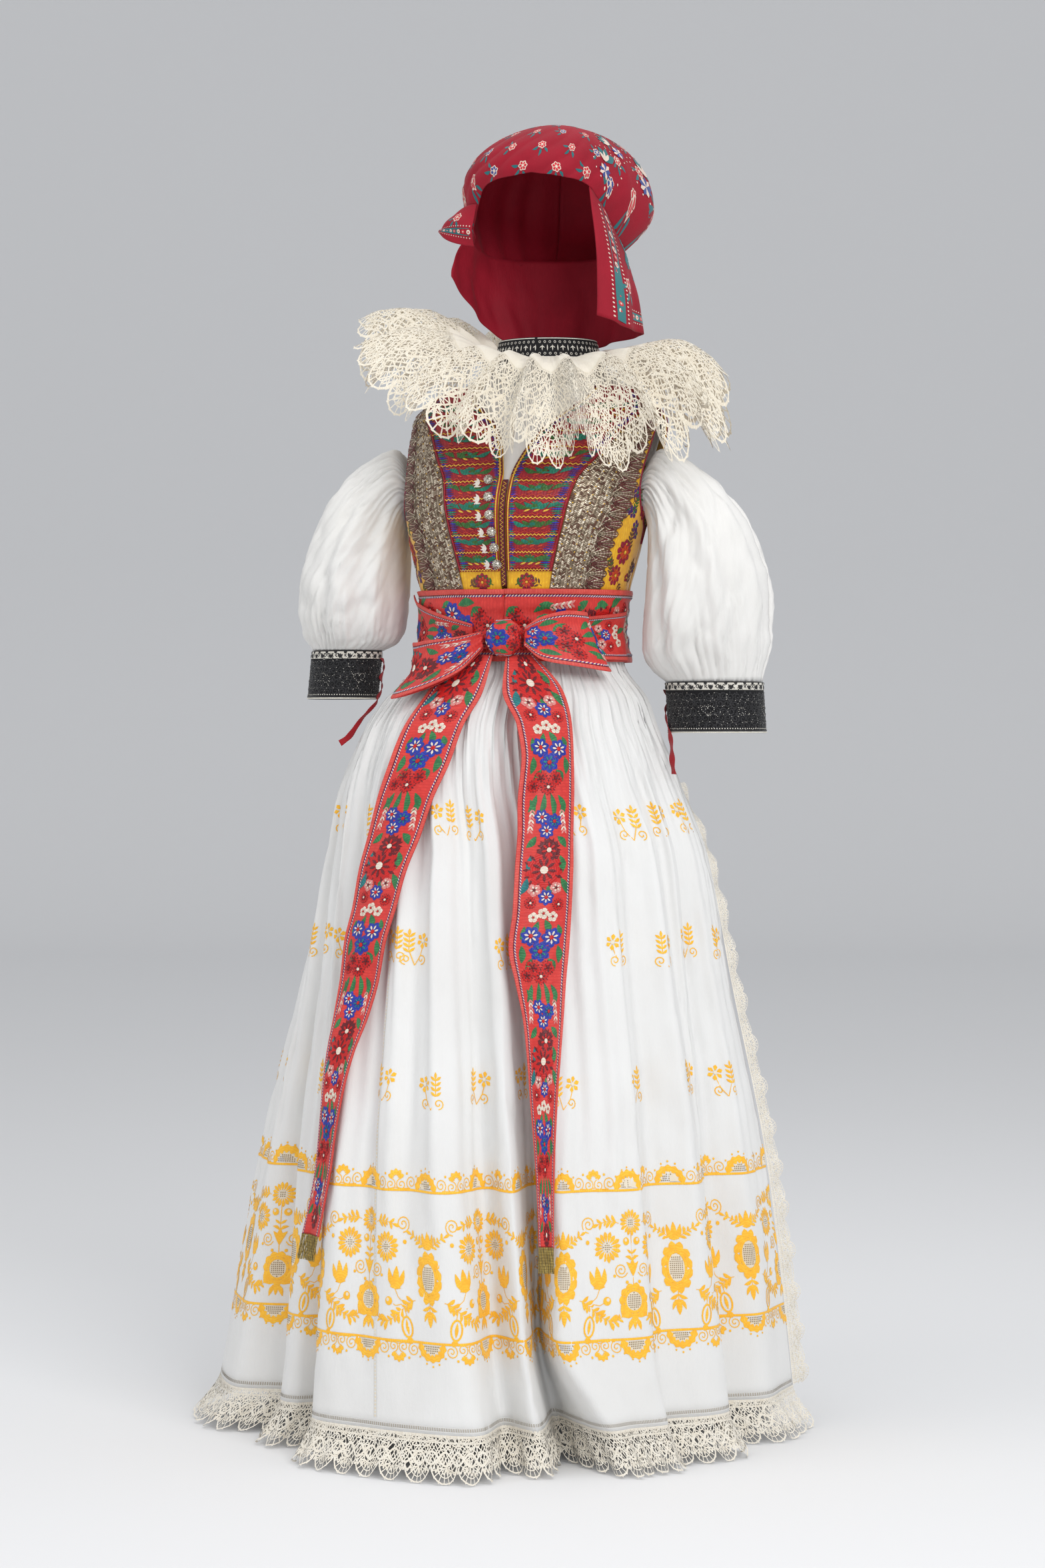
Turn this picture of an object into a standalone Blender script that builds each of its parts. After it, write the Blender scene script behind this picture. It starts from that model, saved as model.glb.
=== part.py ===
"""A Moravian festive folk costume, as worn: headscarf, lace ruff, blouse, brocade waistcoat, sash, apron and skirt.

Lengths are metres and angles are degrees. Heights are measured up from the floor, and an angle runs round the wearer
from the front (-Y) towards the wearer's left (+X). The finished objects are lowered so that the origin is at the waist.
"""

from collections import namedtuple
from math import acos, cos, degrees, pi, radians, sin

import bmesh
import bpy
from mathutils import Vector

WAIST_HEIGHT = 0.985
GAP = 0.0004
LINEN = 0.0012
BROCADE = 0.0020
RIBBON = 0.0015
BRAID = 0.0012
SEAM = 0.5  # degrees between two panels that are sewn to each other

VEST_OUT = 0.0040  # outer face of the waistcoat, out from the wearer
TRIM_OUT = VEST_OUT + GAP + BRAID
BLOUSE_OUT = 0.0001
SASH_OUT = 0.0078
SASH_OVER_OUT = 0.0115

Section = namedtuple("Section", "height centre_x centre_y half_width half_depth")
FIGURE = (
    Section(0.900, 0.000, 0.000, 0.150, 0.118),
    Section(0.940, 0.000, 0.000, 0.130, 0.100),
    Section(0.985, 0.000, 0.000, 0.121, 0.091),
    Section(1.030, 0.002, -0.002, 0.127, 0.099),
    Section(1.080, 0.004, -0.005, 0.139, 0.113),
    Section(1.130, 0.006, -0.006, 0.149, 0.122),
    Section(1.170, 0.010, -0.001, 0.155, 0.115),
    Section(1.210, 0.015, 0.006, 0.160, 0.098),
    Section(1.240, 0.018, 0.012, 0.157, 0.082),
    Section(1.265, 0.020, 0.016, 0.135, 0.070),
    Section(1.290, 0.023, 0.020, 0.100, 0.062),
    Section(1.310, 0.025, 0.023, 0.070, 0.056),
    Section(1.345, 0.025, 0.024, 0.058, 0.052),
)

SKIRT = (
    Section(0.985, 0.000, 0.000, 0.1225, 0.0925),
    Section(0.938, 0.000, 0.000, 0.1315, 0.1015),
    Section(0.900, -0.006, -0.002, 0.166, 0.132),
    Section(0.860, -0.012, -0.004, 0.188, 0.158),
    Section(0.800, -0.012, -0.006, 0.213, 0.180),
    Section(0.705, -0.004, -0.010, 0.240, 0.208),
    Section(0.550, -0.006, -0.016, 0.268, 0.244),
    Section(0.340, -0.010, -0.018, 0.308, 0.298),
    Section(0.110, -0.017, -0.014, 0.338, 0.332),
    Section(0.000, -0.022, -0.012, 0.352, 0.346),
)
SKIRT_HEIGHTS = (0.984, 0.937, 0.905, 0.862, 0.795, 0.690, 0.550, 0.400, 0.240, 0.050)
LACE_HEIGHTS = (0.0495, 0.038, 0.020, 0.0015)
APRON_LACE_FLARE = 0.026
SKIRT_LACE_FLARE = 0.012

# A turn of the hem seen from above: where it lies, the height at which its fold has died away, and how far
# round the cloth trails where it reaches the floor.
HemTurn = namedtuple("HemTurn", "angle radius fades_at trails")
APRON_HEM = (
    HemTurn(-106.0, 0.360, 0.75, 0.0),
    HemTurn(-97.0, 0.370, 0.75, 0.0),
    HemTurn(-84.0, 0.385, 0.80, 0.0),
    HemTurn(-66.0, 0.362, 0.80, 0.0),
    HemTurn(-59.0, 0.300, 0.92, 0.0),
    HemTurn(-49.0, 0.325, 0.90, 0.0),
    HemTurn(-43.0, 0.320, 0.80, 0.0),
    HemTurn(-37.5, 0.272, 0.90, 0.0),
    HemTurn(-27.5, 0.355, 0.93, 0.0),
    HemTurn(-11.5, 0.360, 0.85, 0.0),
    HemTurn(3.0, 0.368, 0.85, 1.0),
    HemTurn(10.0, 0.360, 0.86, 1.0),
    HemTurn(13.0, 0.298, 0.88, 2.0),
    HemTurn(20.0, 0.332, 0.80, 2.0),
    HemTurn(24.0, 0.240, 0.98, 6.0),
    HemTurn(24.2, 0.346, 0.95, 12.0),
    HemTurn(34.0, 0.342, 0.85, 8.0),
    HemTurn(44.0, 0.340, 0.85, 4.0),
    HemTurn(49.0, 0.312, 0.80, 2.0),
    HemTurn(60.0, 0.326, 0.85, 0.0),
    HemTurn(67.0, 0.322, 0.85, 0.0),
    HemTurn(73.0, 0.276, 0.85, 0.0),
    HemTurn(82.0, 0.322, 0.80, 0.0),
    HemTurn(92.0, 0.328, 0.80, 0.0),
    HemTurn(103.0, 0.345, 0.75, 0.0),
)
APRON_COLUMNS = 78
APRON_WAIST_SPAN = (-121.0, 85.0)
BACK_FOLDS = 8
BACK_WAIST_SPAN = (78.0, 246.0)
BACK_SPAN = (96.0, 264.0)
BACK_COLUMNS = 32
BACK_UNDERLAP = 0.0100
BACK_EDGE_RADII = (0.300, 0.338)
BACK_FOLD_DEPTH = 0.033
BACK_FADES_AT = 0.90
GATHER_DEPTH = 0.0022
GATHER_FADES_AT = 0.80
DRAPE_DEPTH = 0.0075
DRAPE_COLUMNS = 5.3  # columns of cloth to one soft fold, part way down
SIDE_LACE_WIDTH = 0.030
SIDE_LACE_SPREAD = 0.009
HOLE_SHARE = 0.40  # of a lace repeat that is open

# The edges of the waistcoat's front and of what is sewn to it, as angles out from the centre front.
FrontRow = namedtuple("FrontRow", "height front ribbon gold edge")
VEST_FRONT = (
    FrontRow(0.990, 1.5, 22.0, 54.0, 90.0),
    FrontRow(1.030, 1.5, 24.0, 56.0, 90.0),
    FrontRow(1.070, 1.5, 26.0, 57.0, 90.0),
    FrontRow(1.105, 1.5, 28.5, 60.0, 89.0),
    FrontRow(1.130, 1.5, 30.0, 65.0, 79.0),
    FrontRow(1.160, 1.5, 32.0, 66.0, 71.0),
    FrontRow(1.190, 4.0, 39.0, 65.0, 69.0),
    FrontRow(1.220, 9.0, 47.0, 67.0, 71.0),
    FrontRow(1.240, 16.0, 56.0, 73.0, 77.0),
    FrontRow(1.260, 28.0, 66.0, 83.0, 88.0),
    FrontRow(1.280, 42.0, 73.0, 85.0, 89.0),
)
PLACKET_HEIGHTS = (1.036, 1.070, 1.105, 1.130, 1.160)
FRONT_STEPS = 3  # columns in the ribbon and in the gold, and one less beyond them
RIBBON_BOTTOM_ROW = 1
BackRow = namedtuple("BackRow", "height edge")
VEST_BACK = (
    BackRow(0.990, 90.0),
    BackRow(1.030, 90.0),
    BackRow(1.070, 90.0),
    BackRow(1.105, 91.0),
    BackRow(1.130, 100.0),
    BackRow(1.160, 108.0),
    BackRow(1.200, 110.0),
    BackRow(1.240, 101.0),
    BackRow(1.260, 92.0),
    BackRow(1.280, 91.0),
)
VEST_BACK_COLUMNS = 16
BLOUSE = (
    BackRow(1.190, 60.0),
    BackRow(1.220, 66.0),
    BackRow(1.240, 78.0),
    BackRow(1.260, 89.0),
    BackRow(1.280, 89.0),
    BackRow(1.3165, 89.0),
)
BLOUSE_COLUMNS = 14

SleeveRing = namedtuple("SleeveRing", "outer_x outer_z inner_x inner_z half_depth ripple")
SLEEVE_RIGHT = (
    SleeveRing(0.1662, 1.213, 0.1442, 1.126, 0.046, 0.0016),
    SleeveRing(0.209, 1.189, 0.150, 1.101, 0.062, 0.0035),
    SleeveRing(0.243, 1.152, 0.151, 1.074, 0.078, 0.0040),
    SleeveRing(0.266, 1.106, 0.1525, 1.045, 0.088, 0.0042),
    SleeveRing(0.282, 1.056, 0.154, 1.013, 0.090, 0.0042),
    SleeveRing(0.287, 1.008, 0.157, 0.986, 0.082, 0.0036),
    SleeveRing(0.281, 0.976, 0.166, 0.969, 0.066, 0.0028),
    SleeveRing(0.273, 0.9592, 0.184, 0.9592, 0.049, 0.0014),
)
SLEEVE_LEFT = (
    SleeveRing(0.1787, 1.208, 0.1557, 1.120, 0.046, 0.0016),
    SleeveRing(0.222, 1.180, 0.161, 1.092, 0.064, 0.0035),
    SleeveRing(0.259, 1.146, 0.1605, 1.062, 0.082, 0.0040),
    SleeveRing(0.285, 1.106, 0.159, 1.026, 0.094, 0.0042),
    SleeveRing(0.304, 1.058, 0.155, 0.988, 0.098, 0.0042),
    SleeveRing(0.312, 1.008, 0.154, 0.957, 0.093, 0.0038),
    SleeveRing(0.310, 0.963, 0.164, 0.934, 0.077, 0.0030),
    SleeveRing(0.301, 0.9187, 0.181, 0.9187, 0.054, 0.0014),
)
SLEEVE_COLUMNS = 26
Cuff = namedtuple("Cuff", "side centre_x half_width half_depth top bottom lean")
CUFF_RIGHT = Cuff(-1, 0.2285, 0.0445, 0.0490, 0.9585, 0.8985, 0.006)
CUFF_LEFT = Cuff(1, 0.2410, 0.0600, 0.0540, 0.9180, 0.8560, 0.004)
CUFF_OPENING = (4.0, 34.0)  # the laced gap, from the inner side towards the back
CUFF_COLUMNS = 15

NECK_BAND = (1.3175, 1.3440)
NECK_BAND_OUT = 0.0026
NECK_COLUMNS = 20

# The ruff's sheet from the neck band (share 0) to its lace edge (share 1), at the front, the sides and the back.
RuffStep = namedtuple("RuffStep", "share reach front side back swing")
RUFF = (
    RuffStep(0.00, 0.0030, 1.3200, 1.3200, 1.3200, 0.000),
    RuffStep(0.22, 0.0350, 1.3200, 1.3360, 1.3330, 0.006),
    RuffStep(0.50, 0.0850, 1.2860, 1.3420, 1.3230, 0.013),
    RuffStep(0.78, 0.1260, 1.2500, 1.3240, 1.3000, 0.019),
    RuffStep(1.00, 0.1540, 1.2190, 1.2960, 1.2660, 0.023),
)
RUFF_TILT = 0.050
RUFF_SIDE_SWING = 0.5
RUFF_WAVES = 17
RUFF_COLUMNS = 80

HEAD = Vector((0.022, 0.012))
HEAD_TURN = 5.0
HEAD_TOP = 1.609
HeadRow = namedtuple("HeadRow", "angle rim_radius rim_height belly_radius belly_height")
CROWN = (
    HeadRow(0.0, 0.096, 1.538, 0.099, 1.548),
    HeadRow(40.0, 0.092, 1.529, 0.096, 1.542),
    HeadRow(65.0, 0.086, 1.503, 0.098, 1.534),
    HeadRow(88.0, 0.090, 1.474, 0.112, 1.524),
    HeadRow(115.0, 0.102, 1.456, 0.143, 1.512),
    HeadRow(150.0, 0.108, 1.450, 0.148, 1.508),
    HeadRow(180.0, 0.106, 1.450, 0.138, 1.508),
    HeadRow(210.0, 0.102, 1.450, 0.124, 1.510),
    HeadRow(245.0, 0.096, 1.456, 0.110, 1.518),
    HeadRow(272.0, 0.088, 1.474, 0.100, 1.526),
    HeadRow(295.0, 0.086, 1.503, 0.098, 1.534),
    HeadRow(320.0, 0.092, 1.529, 0.096, 1.542),
    HeadRow(360.0, 0.096, 1.538, 0.099, 1.548),
)
CROWN_COLUMNS = 28
CROWN_TILTS = (None, 0.0, 20.0, 40.0, 58.0, 74.0)  # the first row is the rim itself
CROWN_APEX_SHIFT = 0.018

Drop = namedtuple("Drop", "angle top_radius top_height low_radius low_height")
CURTAIN = (
    Drop(47.0, 0.0935, 1.5178, 0.106, 1.366),
    Drop(62.0, 0.0900, 1.5018, 0.114, 1.357),
    Drop(76.0, 0.0900, 1.4838, 0.121, 1.353),
    Drop(90.0, 0.0940, 1.4698, 0.122, 1.352),
    Drop(106.0, 0.1010, 1.4558, 0.116, 1.350),
    Drop(122.0, 0.1120, 1.4538, 0.100, 1.346),
    Drop(138.0, 0.1100, 1.4493, 0.090, 1.341),
    Drop(154.0, 0.1080, 1.4493, 0.078, 1.337),
    Drop(172.0, 0.1060, 1.4493, 0.072, 1.335),
    Drop(190.0, 0.1040, 1.4493, 0.071, 1.335),
    Drop(208.0, 0.1020, 1.4493, 0.074, 1.338),
    Drop(226.0, 0.0980, 1.4493, 0.082, 1.352),
    Drop(244.0, 0.0960, 1.4538, 0.092, 1.372),
    Drop(260.0, 0.0920, 1.4578, 0.104, 1.396),
    Drop(276.0, 0.0940, 1.4718, 0.114, 1.425),
)
CURTAIN_ROWS = 5
CURTAIN_COLUMNS = 20

# The flare's edges from its tip to the face, in metres from the waist's centre line and up from the floor.
FLARE_LOWER = ((-0.1040, -0.0160, 1.4780), (-0.0830, -0.0330, 1.4640), (-0.0540, -0.0400, 1.4560))
FLARE_UPPER = ((-0.0960, -0.0100, 1.4890), (-0.0760, -0.0270, 1.5050), (-0.0499, -0.0386, 1.5084))

Button = namedtuple("Button", "height angle sunk")
BUTTONS = (
    Button(1.1580, -7.20, 0.00110),
    Button(1.1392, -6.25, 0.00230),
    Button(1.1204, -5.30, 0.00140),
    Button(1.1016, -4.35, 0.00080),
    Button(1.0828, -3.40, 0.00075),
    Button(1.0640, -2.45, 0.00040),
)
BUTTON_RADIUS = 0.0058

SASH_TOP, SASH_LOW = 1.033, 0.941
SASH_COLUMNS = 40
KNOT = Section(0.966, 0.004, 0.0, 0.021, 0.022)
KNOT_OUT = 0.0270
KNOT_DEPTH = 0.0125

# One side of the bow: a ribbon out to its end and back, each station a line from its upper to its lower edge.
# How far out it lies is measured from the sash, or from the skirt where that stands further out.
Station = namedtuple("Station", "upper_angle lower_angle out upper lower")
BOW_RIGHT = (
    Station(-10.5, -9.5, 0.0230, 0.979, 0.958),
    Station(-28.0, -20.0, 0.0230, 0.972, 0.932),
    Station(-46.0, -36.0, 0.0210, 0.969, 0.908),
    Station(-56.0, -45.0, 0.0200, 0.967, 0.899),
    Station(-59.5, -48.5, 0.0175, 0.967, 0.898),
    Station(-59.5, -48.5, 0.0125, 0.967, 0.898),
    Station(-56.0, -45.0, 0.0105, 0.968, 0.900),
    Station(-42.0, -33.0, 0.0105, 0.970, 0.912),
    Station(-24.0, -18.0, 0.0122, 0.974, 0.940),
    Station(-11.0, -10.5, 0.0155, 0.976, 0.956),
)
BOW_LEFT = (
    Station(14.5, 14.0, 0.0220, 0.984, 0.962),
    Station(24.0, 24.0, 0.0230, 0.997, 0.944),
    Station(38.0, 43.0, 0.0210, 1.004, 0.936),
    Station(47.0, 58.0, 0.0170, 1.003, 0.931),
    Station(49.5, 60.5, 0.0125, 1.002, 0.931),
    Station(45.0, 56.0, 0.0034, 1.000, 0.934),
    Station(32.0, 38.0, 0.0028, 0.995, 0.944),
    Station(21.0, 23.0, 0.0100, 0.988, 0.954),
    Station(15.5, 15.0, 0.0150, 0.982, 0.964),
)
BOW_ROWS = 2

# A hanging end of the sash: where its left-hand edge lies, how far that stands off the cloth, the way it faces,
# and how much of its width shows. The rest is tucked behind a fold of the apron.
TailStep = namedtuple("TailStep", "height angle out facing shows")
TAIL_RIGHT = (
    TailStep(0.951, -5.0, 0.0074, -10.0, 0.033),
    TailStep(0.930, -5.5, 0.0060, -13.0, 0.058),
    TailStep(0.905, -8.0, 0.004, -19.0, 0.074),
    TailStep(0.870, -11.0, 0.004, -23.0, 0.074),
    TailStep(0.815, -14.5, 0.004, -26.0, 0.074),
    TailStep(0.745, -19.0, 0.008, -31.0, 0.074),
    TailStep(0.690, -21.3, 0.009, -33.0, 0.072),
    TailStep(0.640, -23.0, 0.006, -33.0, 0.068),
    TailStep(0.575, -25.0, 0.008, -34.0, 0.060),
    TailStep(0.520, -26.7, 0.007, -37.0, 0.050),
    TailStep(0.470, -28.0, 0.006, -42.0, 0.044),
    TailStep(0.395, -28.6, 0.005, -48.0, 0.040),
    TailStep(0.335, -29.2, 0.004, -52.0, 0.038),
    TailStep(0.262, -31.0, 0.004, -50.0, 0.036),
)
TAIL_LEFT = (
    TailStep(0.951, 20.0, 0.0037, 14.0, 0.033),
    TailStep(0.930, 29.0, 0.0037, 18.0, 0.058),
    TailStep(0.905, 33.0, 0.004, 22.0, 0.074),
    TailStep(0.870, 33.5, 0.004, 22.0, 0.074),
    TailStep(0.800, 31.5, 0.003, 20.0, 0.074),
    TailStep(0.700, 29.0, 0.003, 18.0, 0.074),
    TailStep(0.640, 27.5, 0.004, 17.0, 0.074),
    TailStep(0.590, 25.7, 0.004, 15.0, 0.073),
    TailStep(0.555, 24.6, 0.004, 13.0, 0.056),
    TailStep(0.507, 23.4, 0.004, 8.0, 0.045),
    TailStep(0.410, 21.1, 0.004, 2.0, 0.029),
    TailStep(0.320, 20.2, 0.004, 0.0, 0.020),
    TailStep(0.262, 20.0, 0.004, -2.0, 0.018),
)
TAIL_CLEARANCE = 0.0036
TAIL_COLUMNS = 4
TAIL_ROWS = 16
STRANDS = 9
STRAND_LENGTH = 0.026

# A tie's middle, as an angle round its cuff and a distance out from it, and how far the strap is rolled over.
TiePoint = namedtuple("TiePoint", "around off height roll")
TIE_RIGHT = (
    TiePoint(-5.0, 0.0018, 0.950, 0.0),
    TiePoint(16.0, 0.0018, 0.938, 0.0),
    TiePoint(-2.0, 0.0018, 0.926, 0.0),
    TiePoint(14.0, 0.0018, 0.914, 0.0),
    TiePoint(-4.0, 0.0018, 0.902, 0.0),
    TiePoint(-8.0, 0.0018, 0.896, 0.0),
    TiePoint(-22.0, -0.001, 0.884, 0.0),
    TiePoint(-34.0, -0.006, 0.872, 0.0),
    TiePoint(-46.0, -0.006, 0.860, -10.0),
    TiePoint(-57.0, -0.005, 0.850, -40.0),
    TiePoint(-70.0, -0.004, 0.843, -60.0),
)
TIE_LEFT = (
    TiePoint(-5.0, 0.0018, 0.909, 0.0),
    TiePoint(14.0, 0.0018, 0.897, 0.0),
    TiePoint(-4.0, 0.0018, 0.885, 0.0),
    TiePoint(-16.0, 0.0018, 0.872, 0.0),
    TiePoint(-28.0, 0.0020, 0.860, 0.0),
    TiePoint(-40.0, 0.006, 0.846, 0.0),
    TiePoint(-50.0, 0.014, 0.832, 0.0),
    TiePoint(-54.0, 0.019, 0.818, 0.0),
    TiePoint(-56.0, 0.020, 0.806, 0.0),
)
TIE_WIDTH = 0.008

Finish = namedtuple("Finish", "colour roughness metallic")
FINISHES = {
    "linen": Finish((0.86, 0.84, 0.78), 0.85, 0.0),
    "lace": Finish((0.88, 0.83, 0.72), 0.90, 0.0),
    "brocade": Finish((0.86, 0.55, 0.02), 0.55, 0.0),
    "ribbon": Finish((0.62, 0.06, 0.05), 0.50, 0.0),
    "gold_braid": Finish((0.45, 0.33, 0.18), 0.40, 0.8),
    "chest_ribbon": Finish((0.35, 0.03, 0.06), 0.60, 0.0),
    "black_embroidery": Finish((0.01, 0.01, 0.012), 0.70, 0.0),
    "scarf_red": Finish((0.40, 0.01, 0.03), 0.70, 0.0),
    "silver": Finish((0.72, 0.69, 0.62), 0.35, 1.0),
    "gold_thread": Finish((0.25, 0.17, 0.05), 0.60, 0.3),
    "tie_red": Finish((0.50, 0.01, 0.02), 0.60, 0.0),
}


def clear_scene():
    for thing in list(bpy.data.objects):
        bpy.data.objects.remove(thing)


def material(name):
    made = bpy.data.materials.get(name)
    if made is None:
        made = bpy.data.materials.new(name)
        made.use_nodes = True
        finish = FINISHES[name]
        shader = made.node_tree.nodes["Principled BSDF"]
        shader.inputs["Base Color"].default_value = (*finish.colour, 1.0)
        shader.inputs["Roughness"].default_value = finish.roughness
        shader.inputs["Metallic"].default_value = finish.metallic
    return made


def mix(a, b, share):
    return a + (b - a) * share


def ease(share):
    """0 to 1 with a soft start and end."""
    share = min(1.0, max(0.0, share))
    return share * share * (3 - 2 * share)


def slope(keys, values, n):
    """The slope of a curve at a row of its table, level at each peak so that it never overshoots."""
    if n in (0, len(keys) - 1):
        a, b = (0, 1) if n == 0 else (n - 1, n)
        return (values[b] - values[a]) / (keys[b] - keys[a])
    before = (values[n] - values[n - 1]) / (keys[n] - keys[n - 1])
    after = (values[n + 1] - values[n]) / (keys[n + 1] - keys[n])
    return 0.0 if before * after <= 0 else 2 * before * after / (before + after)


def read(table, key, at, column):
    """A column of a table at a place between its rows, on a smooth curve through them."""
    rows = sorted(table, key=lambda row: getattr(row, key))
    keys = [getattr(row, key) for row in rows]
    values = [getattr(row, column) for row in rows]
    at = min(max(at, keys[0]), keys[-1])
    n = max(i for i in range(len(keys) - 1) if keys[i] <= at)
    span = keys[n + 1] - keys[n]
    t = (at - keys[n]) / span
    start, end = slope(keys, values, n) * span, slope(keys, values, n + 1) * span
    return (
        values[n] * (1 + 2 * t) * (1 - t) ** 2
        + start * t * (1 - t) ** 2
        + values[n + 1] * t * t * (3 - 2 * t)
        + end * t * t * (t - 1)
    )


def ring_point(sections, angle, height):
    turn = radians(angle)
    centre_x, centre_y, half_width, half_depth = (
        read(sections, "height", height, column) for column in Section._fields[1:]
    )
    return Vector((centre_x + half_width * sin(turn), centre_y - half_depth * cos(turn), height))


def on_figure(angle, height, out=0.0):
    """A point that far out from the wearer, square to the body's surface."""
    step_angle, step_height = 1.0, 0.002
    point = ring_point(FIGURE, angle, height)
    round_body = ring_point(FIGURE, angle + step_angle, height) - ring_point(FIGURE, angle - step_angle, height)
    up_body = ring_point(FIGURE, angle, height + step_height) - ring_point(FIGURE, angle, height - step_height)
    return point + round_body.cross(up_body).normalized() * out


def grid_normals(grid, closed):
    """The direction square to the sheet at each point: across the columns, then across the rows."""
    rows, columns = len(grid), len(grid[0])
    normals = []
    for r in range(rows):
        line = []
        for c in range(columns):
            if closed:
                right, left = grid[r][(c + 1) % columns], grid[r][c - 1]
            else:
                right, left = grid[r][min(c + 1, columns - 1)], grid[r][max(c - 1, 0)]
            over, under = grid[min(r + 1, rows - 1)][c], grid[max(r - 1, 0)][c]
            line.append((right - left).cross(over - under).normalized())
        normals.append(line)
    return normals


def moved_out(grid, distance, closed=False):
    normals = grid_normals(grid, closed)
    return [[p + n * distance for p, n in zip(line, ns)] for line, ns in zip(grid, normals)]


def drawn_in(grid, amount, columns=(True, True), rows=(False, False)):
    """The same sheet with its chosen edges drawn in by a small amount: the first and last column, then row."""
    grid = [list(line) for line in grid]
    for line in grid:
        for wanted, edge, inside in zip(columns, (0, -1), (1, -2)):
            if wanted:
                line[edge] = line[edge] + (line[inside] - line[edge]).normalized() * amount
    for wanted, edge, inside in zip(rows, (0, -1), (1, -2)):
        if wanted:
            grid[edge] = [a + (b - a).normalized() * amount for a, b in zip(grid[edge], grid[inside])]
    return grid


def finish_object(name, mesh, finish):
    """An object at the waist origin from a mesh whose heights are measured from the floor."""
    data = bpy.data.meshes.new(name)
    mesh.to_mesh(data)
    mesh.free()
    data.shade_smooth()
    data.set_sharp_from_angle(angle=radians(50))
    data.materials.append(material(finish))
    made = bpy.data.objects.new(name, data)
    made.location = (0.0, 0.0, -WAIST_HEIGHT)
    bpy.context.scene.collection.objects.link(made)
    return made


def wall(name, grid, thickness, finish, closed=False, holes=(), normals=None, apex=None):
    """A sheet of cloth: its outer face is the grid, its inner face lies a thickness behind it, and every edge is closed.

    The grid's columns run anticlockwise seen from above and its rows upwards, so that it faces outwards.
    A hole is a (row, column) cell that is cut through. Both faces are split along the same diagonals.
    An apex closes a dome's top row with a fan.
    """
    rows, columns = len(grid), len(grid[0])
    normals = normals or grid_normals(grid, closed)
    inner = [[p - n * thickness for p, n in zip(line, ns)] for line, ns in zip(grid, normals)]
    faces = (grid, inner)
    mesh = bmesh.new()
    corners = {}

    def corner(face, r, c):
        key = (face, r, c % columns)
        if key not in corners:
            corners[key] = mesh.verts.new(faces[face][r][c % columns])
        return corners[key]

    edges = set()
    for r in range(rows - 1):
        for c in range(columns if closed else columns - 1):
            if (r, c) in holes:
                continue
            cell = [(r, c), (r, c + 1), (r + 1, c + 1), (r + 1, c)]
            for triangle in (cell[:3], cell[2:] + cell[:1]):
                mesh.faces.new([corner(0, *at) for at in triangle])
                mesh.faces.new([corner(1, *at) for at in reversed(triangle)])
            around = [(i, j % columns) for i, j in cell]
            edges.update(zip(around, around[1:] + around[:1]))
    if apex:
        tips = [mesh.verts.new(apex), mesh.verts.new(apex - Vector((0.0, 0.0, thickness)))]
        for c in range(columns):
            mesh.faces.new((corner(0, rows - 1, c), corner(0, rows - 1, c + 1), tips[0]))
            mesh.faces.new((corner(1, rows - 1, c + 1), corner(1, rows - 1, c), tips[1]))
            edges.add(((rows - 1, c), (rows - 1, (c + 1) % columns)))
    for start, end in sorted(edges):
        if (end, start) not in edges:
            mesh.faces.new([corner(0, *end), corner(0, *start), corner(1, *start), corner(1, *end)])
    return finish_object(name, mesh, finish)


def in_halves(name, grid, words, closed=False, rows=1):
    """One lace as two pieces that meet at its middle, and at its ends too where it's a ring."""
    normals = grid_normals(grid, closed)
    if closed:
        grid, normals = ([line + line[:1] for line in lines] for lines in (grid, normals))
    middle = (len(grid[0]) - 1) // 2
    middle -= middle % 2
    for word, first, last in ((words[0], 0, middle), (words[1], middle, len(grid[0]) - 1)):
        half = [line[first : last + 1] for line in grid]
        facing = [line[first : last + 1] for line in normals]
        wall(f"{name}_{word}", drawn_in(half, GAP), LINEN, "lace", holes=lace_holes(len(half[0]), rows), normals=facing)


def stepped_down(column, steps):
    """The column with straight steps between its points."""
    made = [mix(a, b, n / steps) for a, b in zip(column, column[1:]) for n in range(steps)]
    return made + [column[-1]]


def lace_holes(columns, row, first=1):
    """Every second column of one row, so that no two holes share a corner."""
    return {(row, c) for c in range(first, columns - 1, 2)}


# The skirt, the apron and their lace


def curve_through(points, closed=False):
    """Many points on a smooth curve through a few, as (place, point) pairs with the place along the curve."""
    steps = 12
    last = len(points) - 1
    dense = []
    for n in range(last):
        p0, p1 = points[max(n - 1, 0)], points[n]
        p2, p3 = points[n + 1], points[min(n + 2, last)]
        for k in range(steps):
            t = k / steps
            dense.append(
                0.5 * (2 * p1 + (p2 - p0) * t + (2 * p0 - 5 * p1 + 4 * p2 - p3) * t * t + (3 * p1 - p0 - 3 * p2 + p3) * t**3)
            )
    dense.append(points[-1])
    length, placed = 0.0, []
    for n, point in enumerate(dense):
        if n:
            length += (point.xy - dense[n - 1].xy).length
        placed.append((length, point))
    return placed


def at_length(placed, share):
    """The point at a share of the curve's length."""
    want = share * placed[-1][0]
    for (a, p), (b, q) in zip(placed, placed[1:]):
        if b >= want:
            return mix(p, q, (want - a) / (b - a) if b > a else 0.0)
    return placed[-1][1]


def apron_hem():
    """The apron's hem from above, along a curve, with the height where each fold dies away and how far it trails."""
    turns = []
    for turn in APRON_HEM:
        around = radians(turn.angle)
        turns.append(Vector((turn.radius * sin(around), -turn.radius * cos(around), turn.fades_at, turn.trails)))
    return curve_through(turns)


def hem_place(point):
    """(angle, radius, fade height, trail) of a hem point, about the waist."""
    angle = -degrees(Vector((0.0, -1.0)).angle_signed(Vector((point.x, point.y))))
    return angle, point.xy.length, point.z, point.w


def base_radius(angle, height):
    return ring_point(SKIRT, angle, height).xy.length


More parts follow.
